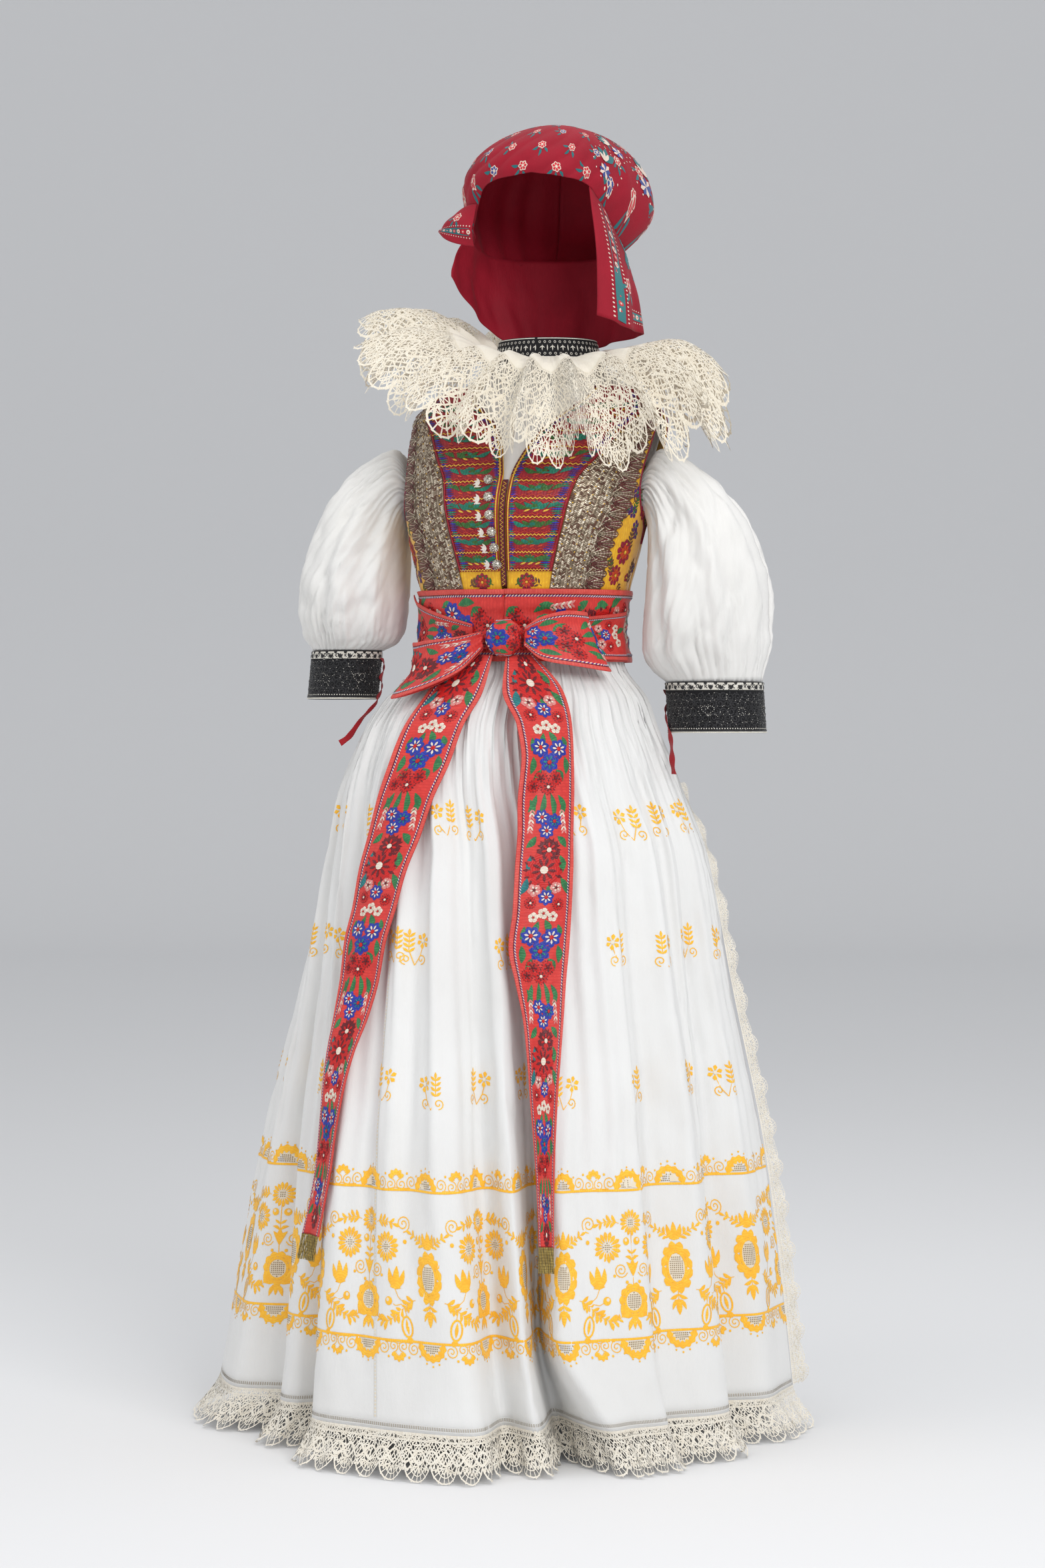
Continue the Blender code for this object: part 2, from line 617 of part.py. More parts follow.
def hang(waist_angle, hem, height, column, softness=1.0, underlap=0.0):
    """A point of the skirt cloth: gathers at the waist, soft folds on the way down and the hem's own turns below."""
    hem_angle, hem_radius, fades_at, trails = hem
    fallen = (WAIST_HEIGHT - height) / WAIST_HEIGHT
    angle = mix(waist_angle, hem_angle, fallen**0.75) + trails * ease(1 - height / 0.16)
    turn = radians(angle)
    depth = ease(1 - height / fades_at) ** 0.8
    swing = (hem_radius - base_radius(hem_angle, 0.05)) * depth
    soft = softness * ease((0.93 - height) / 0.25) * ease(height / 0.45)
    swing += DRAPE_DEPTH * soft * sin(2 * pi * column / DRAPE_COLUMNS + 1.3 * sin(column * 0.37))
    gather = ease((height - GATHER_FADES_AT) / 0.08)
    if height < WAIST_HEIGHT - 0.01:
        swing += GATHER_DEPTH * gather * cos(pi * column)
    base = ring_point(SKIRT, angle, height)
    return base + Vector((sin(turn), -cos(turn), 0.0)) * (swing - underlap * ease((WAIST_HEIGHT - height) / 0.1 + 0.25))


def inside(share):
    """1 over a sheet's middle, fading to 0 at both of its side edges."""
    return ease(9 * share) * ease(9 - 9 * share)


def apron_column(share, heights, column):
    hem = hem_place(at_length(APRON_CURVE, share))
    waist_angle = mix(*APRON_WAIST_SPAN, share)
    return [hang(waist_angle, hem, height, column, inside(share)) for height in heights]


def back_column(share, heights, column):
    """A column of the plain skirt behind, with even pleats, tucked under the apron's sides."""
    pleat = sin(2 * pi * (BACK_FOLDS * share + 0.15 * sin(5 * share)))
    middle = ease(7 * share - 0.45) * ease(6.55 - 7 * share)
    hem_angle = mix(*BACK_SPAN, share) + 1.4 * sin(4 * pi * BACK_FOLDS * share) * middle
    pleated = base_radius(hem_angle, 0.05) + 0.004 + BACK_FOLD_DEPTH * pleat
    radius = mix(mix(*BACK_EDGE_RADII, share), pleated, middle)
    underlap = BACK_UNDERLAP * (1 - 0.7 * middle)
    hem = (hem_angle, radius, BACK_FADES_AT, 0.0)
    return [hang(mix(*BACK_WAIST_SPAN, share), hem, height, column, middle, underlap) for height in heights]


def apron_spread():
    """The apron's columns along the hem, between its two side laces."""
    edge = (SIDE_LACE_WIDTH + GAP) / APRON_CURVE[-1][0]
    return [mix(edge, 1 - edge, n / APRON_COLUMNS) for n in range(APRON_COLUMNS + 1)]


def apron_outline(height):
    """The apron's outline from above at one height, on the straight lines between its corners."""
    low = max(n for n in range(len(SKIRT_HEIGHTS) - 1) if SKIRT_HEIGHTS[n] >= height)
    share = (SKIRT_HEIGHTS[low] - height) / (SKIRT_HEIGHTS[low] - SKIRT_HEIGHTS[low + 1])
    return [mix(column[low], column[low + 1], share).xy for column in APRON_CORNERS]


def stands_off(point, outline):
    """How far a point stands outside the outline. It is negative inside."""
    best = 9.0
    for a, b in zip(outline, outline[1:]):
        along = b - a
        share = min(1.0, max(0.0, (point - a).dot(along) / along.length_squared))
        distance = (point - a - along * share).length
        if distance < abs(best):
            outside = along.x * (point - a).y - along.y * (point - a).x < 0
            best = distance if outside else -distance
    return best


def from_columns(columns):
    """A grid with its rows upwards, from columns that run downwards."""
    return [list(line) for line in reversed(list(zip(*columns)))]


def flared(grid, spread):
    """Hem lace spread out on the floor: the lower a row lies, the further out it goes."""
    top = grid[-1][0].z
    for line in grid:
        for n, point in enumerate(line):
            fallen = (top - point.z) / top
            out = Vector((point.x, point.y, 0.0)).normalized()
            line[n] = point + out * spread * fallen**1.5
    return grid


def lace_shares(repeats, start, end):
    """Column places for a lace: each repeat is a closed stretch, then an open one."""
    shares = []
    for n in range(repeats):
        shares.append(mix(start, end, (n + 0.0) / repeats))
        shares.append(mix(start, end, (n + 1 - HOLE_SHARE) / repeats))
    return shares + [end]


def skirt():
    side = SIDE_LACE_WIDTH / APRON_CURVE[-1][0]
    spread = apron_spread()
    wall("apron", from_columns(APRON_CORNERS), LINEN, "linen")

    back = [n / BACK_COLUMNS for n in range(BACK_COLUMNS + 1)]
    wall("skirt_back", from_columns([back_column(s, SKIRT_HEIGHTS, n) for n, s in enumerate(back)]), LINEN, "linen")

    def column_of(share):
        return (share - spread[0]) / (spread[-1] - spread[0]) * APRON_COLUMNS

    shares = lace_shares(34, spread[0], spread[-1])
    grid = from_columns([apron_column(s, LACE_HEIGHTS, column_of(s)) for s in shares])
    in_halves("apron_hem_lace", flared(grid, APRON_LACE_FLARE), ("right", "left"))
    shares = lace_shares(20, 0.0, 1.0)
    grid = from_columns([back_column(s, LACE_HEIGHTS, s * BACK_COLUMNS) for s in shares])
    in_halves("skirt_hem_lace", flared(grid, SKIRT_LACE_FLARE), ("left", "right"))

    for name, edges in (("apron_side_lace_right", (0.0, side)), ("apron_side_lace_left", (1 - side, 1.0))):
        columns = [apron_column(mix(*edges, n / 3), SKIRT_HEIGHTS[4:], 0.5) for n in range(4)]
        for n, column in enumerate(columns):
            away = (n if edges[0] else 3 - n) / 3 * SIDE_LACE_SPREAD
            column[:] = [p + Vector((p.x, p.y, 0.0)).normalized() * away * ease(3 - 3 * p.z / 0.85) for p in column]
        grid = from_columns([stepped_down(column, 3) for column in columns])
        wall(name, grid, LINEN, "lace", holes={(r, 1) for r in range(1, len(grid) - 2, 2)})


# The waistcoat, its trimmings and the blouse


def vest_front_grid(side):
    """The front's points, row by row, with columns on the edges of the ribbon and of the gold braid."""
    grid = []
    for row in VEST_FRONT:
        angles = [mix(row.front, row.ribbon, n / FRONT_STEPS) for n in range(FRONT_STEPS)]
        angles += [mix(row.ribbon, row.gold, n / FRONT_STEPS) for n in range(FRONT_STEPS)]
        angles += [mix(row.gold, row.edge, n / (FRONT_STEPS - 1)) for n in range(FRONT_STEPS)]
        angles[-1] -= SEAM / 2
        line = [on_figure(side * angle, row.height, VEST_OUT) for angle in angles]
        grid.append(line if side > 0 else line[::-1])
    return grid


def part_of(grid, side, first, last, low=0, high=None):
    """Some columns of a front, counted from the centre front, and some of its rows."""
    if side < 0:
        columns = len(grid[0]) - 1
        first, last = columns - last, columns - first
    return [line[first : last + 1] for line in grid[low:high]]


def waistcoat():
    for side, word in ((-1, "right"), (1, "left")):
        front = vest_front_grid(side)
        wall(f"vest_front_{word}", front, BROCADE, "brocade")
        out = moved_out(front, GAP + BRAID)
        ribbon = part_of(out, side, 0, FRONT_STEPS, RIBBON_BOTTOM_ROW)
        wall(f"chest_ribbon_{word}", drawn_in(ribbon, 0.0022, (side > 0, side < 0)), BRAID, "chest_ribbon")
        braid = part_of(out, side, FRONT_STEPS, 2 * FRONT_STEPS)
        wall(f"gold_braid_{word}", drawn_in(braid, GAP), BRAID, "gold_braid")
    back = []
    for row in VEST_BACK:
        ends = (row.edge + SEAM / 2, 360 - row.edge - SEAM / 2)
        angles = [mix(*ends, n / VEST_BACK_COLUMNS) for n in range(VEST_BACK_COLUMNS + 1)]
        back.append([on_figure(angle, row.height, VEST_OUT) for angle in angles])
    wall("vest_back", back, BROCADE, "brocade")

    placket = [[on_figure(a, height, TRIM_OUT + 0.0006) for a in (-1.3, 0.0, 1.3)] for height in PLACKET_HEIGHTS]
    wall("placket", placket, BRAID, "chest_ribbon")


def blouse():
    for name, middle in (("blouse_front", 0.0), ("blouse_back", 180.0)):
        grid = []
        for row in BLOUSE:
            spread = [mix(-row.edge, row.edge, n / BLOUSE_COLUMNS) for n in range(BLOUSE_COLUMNS + 1)]
            grid.append([on_figure(middle + angle, row.height, BLOUSE_OUT) for angle in spread])
        wall(name, grid, LINEN, "linen")
    band = []
    for height in NECK_BAND:
        angles = [360 * n / NECK_COLUMNS for n in range(NECK_COLUMNS)]
        band.append([ring_point(FIGURE, angle, height) for angle in angles])
    band = [[p + Vector((p.x - HEAD.x, p.y - HEAD.y, 0)).normalized() * NECK_BAND_OUT for p in line] for line in band]
    wall("neck_band", band, BROCADE, "black_embroidery", closed=True)


def sleeve_ring(ring, side):
    outer = Vector((side * ring.outer_x, 0.0, ring.outer_z))
    inner = Vector((side * ring.inner_x, 0.0, ring.inner_z))
    centre, across = (outer + inner) / 2, (outer - inner) / 2
    front = Vector((0.0, -1.0, 0.0)) * ring.half_depth
    line = []
    for n in range(SLEEVE_COLUMNS):
        turn = 2 * pi * n / SLEEVE_COLUMNS
        ripple = ring.ripple * (1 if n % 2 else -1) / across.length
        clear = 1 + ripple * (0.35 if cos(turn) < -0.7 else 1.0)
        line.append(centre + (across * cos(turn) + front * sin(turn) * -side) * clear)
    return line


def sleeves():
    for word, side, rings, cuff in (("right", -1, SLEEVE_RIGHT, CUFF_RIGHT), ("left", 1, SLEEVE_LEFT, CUFF_LEFT)):
        grid = [sleeve_ring(ring, side) for ring in reversed(rings)]
        wall(f"sleeve_{word}", grid, LINEN, "linen", closed=True)
        cuff_wall(f"cuff_{word}", cuff)


def cuff_point(cuff, angle, height, out=0.0):
    """A point of a cuff, its angle from the inner side round the back."""
    turn = radians(angle)
    lean = cuff.lean * (cuff.top - height) / (cuff.top - cuff.bottom)
    x = cuff.centre_x + lean - (cuff.half_width + out) * cos(turn)
    return Vector((cuff.side * x, (cuff.half_depth + out) * sin(turn), height))


def cuff_wall(name, cuff):
    start, end = CUFF_OPENING[1], 360 + CUFF_OPENING[0]
    angles = [mix(start, end, n / CUFF_COLUMNS) for n in range(CUFF_COLUMNS + 1)]
    if cuff.side < 0:
        angles.reverse()
    grid = [[cuff_point(cuff, angle, height) for angle in reversed(angles)] for height in (cuff.bottom, cuff.top)]
    wall(name, grid, BROCADE, "black_embroidery")


def ties():
    """The red ribbon that laces each cuff, with its end hanging."""
    for word, cuff, points in (("right", CUFF_RIGHT, TIE_RIGHT), ("left", CUFF_LEFT, TIE_LEFT)):
        grid = []
        for point in reversed(points):
            at = cuff_point(cuff, point.around, point.height, point.off)
            along = cuff_point(cuff, point.around + 3, point.height, point.off) - at
            roll = radians(point.roll)
            along = along.normalized() * cos(roll) + Vector((0.0, 0.0, 1.0)) * sin(roll)
            half = along * -cuff.side * TIE_WIDTH / 2
            grid.append([at + half, at - half])
        wall(f"tie_{word}", grid, LINEN, "tie_red")


# The ruff


def ruff_point(angle, share):
    turn = radians(angle)
    out = Vector((sin(turn), -cos(turn), 0.0))
    front, behind = max(0.0, cos(turn)) ** 1.3, max(0.0, -cos(turn)) ** 1.3
    middle = read(RUFF, "share", share, "side")
    height = middle + front * (read(RUFF, "share", share, "front") - middle)
    height += behind * (read(RUFF, "share", share, "back") - middle)
    height -= RUFF_TILT * share * sin(turn + radians(25))
    reach = read(RUFF, "share", share, "reach") * (1.0 + (0.12 if angle < 0 else 0.06) * sin(turn) ** 2)
    swing = read(RUFF, "share", share, "swing")
    wave = RUFF_WAVES * turn + 0.9 * sin(3 * turn) + 0.5 * sin(5 * turn + 1.0)
    rise = swing * sin(wave) * (1 + RUFF_SIDE_SWING * sin(turn) ** 2)
    steep = front * share
    point = ring_point(FIGURE, angle, NECK_BAND[0])
    point = point + out * (reach + rise * 0.6 * steep)
    point.z = height + rise * (1 - 0.45 * steep)
    return point


def ruff():
    angles = [360 * n / RUFF_COLUMNS - 90 for n in range(RUFF_COLUMNS)]
    grid = [[ruff_point(angle, step.share) for angle in angles] for step in reversed(RUFF)]
    in_halves("ruff", grid, ("front", "back"), closed=True, rows=1)


# The headscarf


def head_out(angle):
    turn = radians(angle + HEAD_TURN)
    return Vector((sin(turn), -cos(turn), 0.0))


def head_point(angle, radius, height):
    point = Vector((HEAD.x, HEAD.y, height)) + head_out(angle) * radius
    return point


def crown_point(angle, tilt):
    row = {column: read(CROWN, "angle", angle % 360, column) for column in HeadRow._fields[1:]}
    if tilt is None:
        return head_point(angle, row["rim_radius"], row["rim_height"])
    lift = sin(radians(tilt))
    radius = row["belly_radius"] * cos(radians(tilt))
    fold = 0.0022 * sin(radians(angle * 9)) * (1 - lift) * (0.3 + 0.7 * ease(abs((angle + 180) % 360 - 180) / 90))
    point = head_point(angle, radius + fold, mix(row["belly_height"], HEAD_TOP, lift))
    point.x += CROWN_APEX_SHIFT * lift
    return point


def curtain_point(place, drop_share):
    row = {column: read(CURTAIN, "angle", place, column) for column in Drop._fields[1:]}
    bulge = 0.006 * sin(pi * drop_share)
    ripple = 0.0035 * sin(radians(place * 8)) * drop_share
    radius = mix(row["top_radius"], row["low_radius"], drop_share) + bulge + ripple
    return head_point(place, radius, mix(row["top_height"], row["low_height"], drop_share))


def headscarf():
    angles = [360 * n / CROWN_COLUMNS for n in range(CROWN_COLUMNS)]
    grid = [[crown_point(angle, tilt) for angle in angles] for tilt in CROWN_TILTS]
    apex = Vector((HEAD.x + CROWN_APEX_SHIFT, HEAD.y, HEAD_TOP))
    wall("scarf_crown", grid, LINEN, "scarf_red", closed=True, apex=apex)
    places = [mix(CURTAIN[0].angle, CURTAIN[-1].angle, n / CURTAIN_COLUMNS) for n in range(CURTAIN_COLUMNS + 1)]
    rows = [1 - n / CURTAIN_ROWS for n in range(CURTAIN_ROWS + 1)]
    wall("scarf_curtain", [[curtain_point(p, share) for p in places] for share in rows], LINEN, "scarf_red")


def flare():
    """The end of the scarf that stands out at the wearer's right temple."""
    grid = []
    for low, high in zip(FLARE_LOWER, FLARE_UPPER):
        column = [Vector(low).lerp(Vector(high), n / 2) for n in range(3)]
        column[1] += Vector((-0.002, -0.007, 0.0))
        grid.append(column)
    wall("scarf_flare", [list(line) for line in zip(*grid)], LINEN, "scarf_red")


# The sash, its bow and the buttons


def sash():
    angles = [360 * n / SASH_COLUMNS for n in range(SASH_COLUMNS)]
    heights = (SASH_LOW, 0.985, SASH_TOP)
    ring = [[on_figure(angle, height, SASH_OUT) for angle in angles] for height in heights]
    wall("sash_round_waist", ring, RIBBON, "ribbon", closed=True)
    for name, start, end, tops in (
        ("sash_over_right", -81.0, -18.0, (1.030, 0.990)),
        ("sash_over_left", 18.0, 81.0, (0.992, 1.008)),
    ):
        grid = [[], [], []]
        for n in range(8):
            share = n / 7
            top = mix(*tops, share)
            for line, height in zip(grid, (0.9425, mix(0.9425, top, 0.5), top)):
                line.append(on_figure(mix(start, end, share), height, SASH_OVER_OUT))
        wall(name, grid, RIBBON, "ribbon")


def bow_side(name, stations, side):
    lower_first = []
    for row in range(BOW_ROWS + 1):
        share = row / BOW_ROWS
        line = []
        for station in stations:
            angle = mix(station.lower_angle, station.upper_angle, share)
            height = mix(station.lower, station.upper, share)
            below = max(on_figure(angle, max(height, SASH_LOW), SASH_OUT).xy.length, base_radius(angle, height) + 0.006)
            line.append(polar(angle, below + station.out, height))
        lower_first.append(line if side > 0 else line[::-1])
    wall(name, lower_first, RIBBON, "ribbon")


def knot():
    mesh = bmesh.new()
    bmesh.ops.create_uvsphere(mesh, u_segments=10, v_segments=7, radius=1.0)
    centre = on_figure(2.0, KNOT.height, KNOT_OUT)
    for vertex in mesh.verts:
        crease = 1 + 0.08 * sin(3 * vertex.co.x + 4 * vertex.co.z)
        size = Vector((KNOT.half_width, KNOT_DEPTH, KNOT.half_depth))
        vertex.co = centre + Vector([a * b * crease for a, b in zip(vertex.co, size)])
    finish_object("sash_knot", mesh, "ribbon")


def polar(angle, radius, height):
    turn = radians(angle)
    return Vector((radius * sin(turn), -radius * cos(turn), height))


def resting_radius(angle, height):
    """The radius of what a ribbon rests on there: the sash round the waist, or else the apron."""
    if height > SASH_LOW - 0.004:
        return on_figure(angle, max(height, SASH_LOW), SASH_OUT).xy.length
    outline = apron_outline(height)
    near = [p.length for p in outline if abs(hem_place(p.to_4d())[0] - angle) < 2.5]
    return max(near)


def ribbon_row(edge, facing, width, bulge):
    """A row of a hanging ribbon: from its left-hand edge it runs square to the way it faces."""
    across = Vector((-cos(radians(facing)), -sin(radians(facing)), 0.0))
    outwards = Vector((sin(radians(facing)), -cos(radians(facing)), 0.0))
    row = []
    for c in range(TAIL_COLUMNS + 1):
        share = c / TAIL_COLUMNS
        row.append(edge + across * width * share + outwards * bulge * sin(pi * share))
    return row


def is_clear(row):
    """Whether a ribbon's row stands clear of the apron, there and just above and below."""
    points = [p.xy for p in row + [a.lerp(b, 0.5) for a, b in zip(row, row[1:])]]
    heights = (row[0].z - 0.012, row[0].z, min(row[0].z + 0.012, SKIRT_HEIGHTS[0]))
    outlines = [apron_outline(height) for height in heights]
    return all(stands_off(p, outline) > TAIL_CLEARANCE for p in points for outline in outlines)


def tail_grid(steps):
    """A hanging ribbon as far as it shows, turned out of the apron's folds no more than it needs."""
    rows = []
    for n in range(TAIL_ROWS + 1):
        height = mix(steps[0].height, steps[-1].height, n / TAIL_ROWS)
        angle, out, facing, width = (read(steps, "height", height, column) for column in TailStep._fields[1:])
        bulge = width * (0.04 + 0.07 * ease((height - 0.85) / 0.06))
        turned, pushed = 0.0, 0.0
        while turned < 40 and height < 0.9:
            edge = polar(angle, resting_radius(angle, height) + out + pushed, height)
            if is_clear(ribbon_row(edge, facing + turned, width, bulge)):
                break
            turned, pushed = turned + 1.5, pushed + 0.0003
        rows.append((height, angle, out, facing, width, bulge, turned, pushed))
    grid = []
    for n, (height, angle, out, facing, width, bulge, *_) in enumerate(rows):
        around = rows[max(n - 1, 0) : n + 2]
        turned = max(rows[n][6], sum(row[6] for row in around) / len(around))
        pushed = max(rows[n][7], sum(row[7] for row in around) / len(around))
        edge = polar(angle, resting_radius(angle, height) + out + pushed, height)
        grid.append(ribbon_row(edge, facing + turned, width, bulge)[::-1])
    return grid[::-1]


def tails():
    for word, steps in (("right", TAIL_RIGHT), ("left", TAIL_LEFT)):
        grid = tail_grid(steps)
        wall(f"sash_tail_{word}", grid, RIBBON, "ribbon")
        fringe(f"sash_fringe_{word}", grid[0])


def fringe(name, edge):
    """A narrow backing below the ribbon's end with a row of strands that stand apart under it."""
    start, end = edge[0], edge[-1]
    cells = 2 * STRANDS - 1
    along = (end - start) / cells
    back = along.cross(Vector((0.0, 0.0, 1.0))).normalized() * -RIBBON
    away = Vector((start.x + end.x, start.y + end.y, 0.0)).normalized() * 0.22
    top = Vector((0.0, 0.0, -GAP))
    mesh = bmesh.new()

    def layer(drop):
        lines = []
        for n in range(cells + 1):
            at = start + along * n + top + (away - Vector((0.0, 0.0, 1.0))) * drop
            lines.append([mesh.verts.new(at), mesh.verts.new(at + back)])
        return lines

    upper, lower = layer(0.0), layer(0.004)
    for n in range(cells):
        a, b, c, d = upper[n], upper[n + 1], lower[n], lower[n + 1]
        mesh.faces.new((a[0], b[0], d[0], c[0]))
        mesh.faces.new((a[1], c[1], d[1], b[1]))
        mesh.faces.new((a[0], a[1], b[1], b[0]))
        if n % 2:
            mesh.faces.new((c[0], d[0], d[1], c[1]))
            continue
        drop = (away - Vector((0.0, 0.0, 1.0))) * STRAND_LENGTH * (0.85 + 0.15 * cos(n * 1.7))
        tip = [mesh.verts.new(v.co + drop) for v in (c[0], d[0], d[1], c[1])]
        root = (c[0], d[0], d[1], c[1])
        for i in range(4):
            mesh.faces.new((root[i], root[(i + 1) % 4], tip[(i + 1) % 4], tip[i]))
        mesh.faces.new(tip)
    for n in (0, cells):
        mesh.faces.new((upper[n][0], lower[n][0], lower[n][1], upper[n][1]))
    bmesh.ops.recalc_face_normals(mesh, faces=mesh.faces)
    finish_object(name, mesh, "gold_thread")


def buttons():
    for n, button in enumerate(BUTTONS):
        mesh = bmesh.new()
        bmesh.ops.create_uvsphere(mesh, u_segments=8, v_segments=6, radius=BUTTON_RADIUS)
        centre = on_figure(button.angle, button.height, TRIM_OUT + BUTTON_RADIUS + 0.0006 - button.sunk)
        bmesh.ops.translate(mesh, vec=centre, verts=mesh.verts)
        finish_object(f"button_{n + 1}", mesh, "silver")


clear_scene()
APRON_CURVE = apron_hem()
APRON_CORNERS = [apron_column(share, SKIRT_HEIGHTS, n) for n, share in enumerate(apron_spread())]
skirt()
waistcoat()
blouse()
sleeves()
ties()
ruff()
headscarf()
flare()
sash()
bow_side("bow_loop_right", BOW_RIGHT, -1)
bow_side("bow_loop_left", BOW_LEFT, 1)
knot()
tails()
buttons()
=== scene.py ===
from math import atan2, ceil, cos, degrees, hypot, pi, radians, sin

import bpy
import numpy as np
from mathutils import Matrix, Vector


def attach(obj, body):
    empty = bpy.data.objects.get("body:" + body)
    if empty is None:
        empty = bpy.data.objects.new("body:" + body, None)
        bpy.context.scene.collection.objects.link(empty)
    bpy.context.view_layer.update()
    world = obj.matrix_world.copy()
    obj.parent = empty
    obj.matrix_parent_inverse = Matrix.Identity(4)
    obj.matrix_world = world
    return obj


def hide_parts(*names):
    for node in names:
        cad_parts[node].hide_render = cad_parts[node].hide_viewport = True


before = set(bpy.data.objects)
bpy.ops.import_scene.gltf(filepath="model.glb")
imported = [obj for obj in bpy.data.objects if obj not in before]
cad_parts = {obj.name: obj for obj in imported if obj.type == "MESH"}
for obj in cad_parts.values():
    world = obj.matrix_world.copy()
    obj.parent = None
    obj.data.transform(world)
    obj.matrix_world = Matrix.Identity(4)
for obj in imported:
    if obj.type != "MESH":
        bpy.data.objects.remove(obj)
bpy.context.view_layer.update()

waistHeight = 0.985  # the origin is at the waist, and heights below are from the floor


def say(words):
    print("kroj:", words, flush=True)


# small sums

def mix(a, b, share):
    return a + (b - a) * share


def ease(share):
    share = np.clip(share, 0.0, 1.0)
    return share * share * (3 - 2 * share)


def curveOf(keys, values):
    # a smooth curve through a short table, level at each peak so it never overshoots
    keys, values = np.array(keys, float), np.array(values, float)
    order = np.argsort(keys)
    keys, values = keys[order], values[order]
    steps = np.diff(values) / np.diff(keys)
    slopes = np.zeros(len(keys))
    slopes[0], slopes[-1] = steps[0], steps[-1]
    if len(steps) > 1:
        same = steps[:-1] * steps[1:] > 0
        total = np.where(same, steps[:-1] + steps[1:], 1.0)
        slopes[1:-1] = np.where(same, 2 * steps[:-1] * steps[1:] / total, 0.0)

    def at(x):
        x = np.clip(x, keys[0], keys[-1])
        n = np.clip(np.searchsorted(keys, x, side="right") - 1, 0, len(keys) - 2)
        span = keys[n + 1] - keys[n]
        t = (x - keys[n]) / span
        return (values[n] * (1 + 2 * t) * (1 - t) ** 2 + slopes[n] * span * t * (1 - t) ** 2
                + values[n + 1] * t * t * (3 - 2 * t) + slopes[n + 1] * span * t * t * (t - 1))
    return at


def tableOf(rows):
    # one curve for each column of a table, read by its first column
    columns = list(zip(*rows))
    return [curveOf(columns[0], column) for column in columns[1:]]


def wander(x, seed):
    # a smooth uneven line between about -1 and 1, the same each run
    total = 0.0
    for n in range(3):
        total = total + np.sin(x * (1.9 ** n) + seed * (2.3 + n)) / (1.4 ** n)
        total = total + 0.6 * np.sin(x * (1.37 + 1.9 ** n) + seed * (5.1 + 2 * n)) / (1.4 ** n)
    return total / 2.6


def lengthsAlong(points):
    return np.concatenate([[0], np.cumsum(np.linalg.norm(np.diff(points, axis=0), axis=1))])


def pathOf(u, v):
    # a flat path whose u or v may be one number for its whole length
    return np.column_stack(np.broadcast_arrays(u, v))


def turnedFrom(x, y, angle, away):
    # the flat point that lies away from (x, y) at an angle in degrees
    return x + away * cos(radians(angle)), y + away * sin(radians(angle))


def unit(vectors):
    return vectors / np.maximum(np.linalg.norm(vectors, axis=-1, keepdims=True), 1e-9)


# cloth as a grid of points, and small shapes laid on it

class Cloth:
    # rows of points over places (u across, v up), both in metres of the flat cloth

    def __init__(self, points, us, vs):
        self.points, self.us, self.vs = points, np.array(us, float), np.array(vs, float)
        self.normals = unit(np.cross(np.gradient(points, axis=1), np.gradient(points, axis=0)))

    def at(self, u, v, lift=0.0):
        # points at flat places, moved out from the cloth
        u, v = np.asarray(u, float), np.asarray(v, float)
        c = np.interp(u, self.us, np.arange(len(self.us)))
        r = np.interp(v, self.vs, np.arange(len(self.vs)))
        c0 = np.clip(np.floor(c).astype(int), 0, len(self.us) - 2)
        r0 = np.clip(np.floor(r).astype(int), 0, len(self.vs) - 2)
        fc, fr = (c - c0)[..., None], (r - r0)[..., None]

        def blend(grid):
            low = grid[r0, c0] * (1 - fc) + grid[r0, c0 + 1] * fc
            high = grid[r0 + 1, c0] * (1 - fc) + grid[r0 + 1, c0 + 1] * fc
            return low * (1 - fr) + high * fr
        return blend(self.points) + unit(blend(self.normals)) * np.asarray(lift)[..., None]


def newObject(name, points, faces, uvs, materials, faceMaterials=None):
    data = bpy.data.meshes.new(name)
    data.from_pydata([tuple(p) for p in points], [], faces)
    if uvs is not None:
        layer = data.uv_layers.new(name="flat")
        loops = np.empty(len(data.loops), dtype=np.int32)
        data.loops.foreach_get("vertex_index", loops)
        layer.data.foreach_set("uv", np.asarray(uvs, np.float32)[loops].ravel())
    for one in materials:
        data.materials.append(one)
    if faceMaterials is not None:
        data.polygons.foreach_set("material_index", np.asarray(faceMaterials, np.int32))
    data.shade_smooth()
    made = bpy.data.objects.new(name, data)
    made.location = (0.0, 0.0, -waistHeight)
    bpy.context.scene.collection.objects.link(made)
    return made


def hold(piece, slot, *nodes):
    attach(piece, "root")
    if nodes:
        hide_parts(*nodes)
    return piece


def clothObject(name, cloth, material, thick):
    # the cloth as a mesh with its thickness inwards
    rows, columns = cloth.points.shape[:2]
    corners = (0, 1, columns + 1, columns)
    faces = [tuple(r * columns + c + k for k in corners) for r in range(rows - 1) for c in range(columns - 1)]
    uvs = np.stack(np.meshgrid(cloth.us, cloth.vs), -1).reshape(-1, 2)
    made = newObject(name, cloth.points.reshape(-1, 3), faces, uvs, [material])
    shell = made.modifiers.new("thickness", "SOLIDIFY")
    shell.thickness = thick
    shell.offset = -1.0
    return made


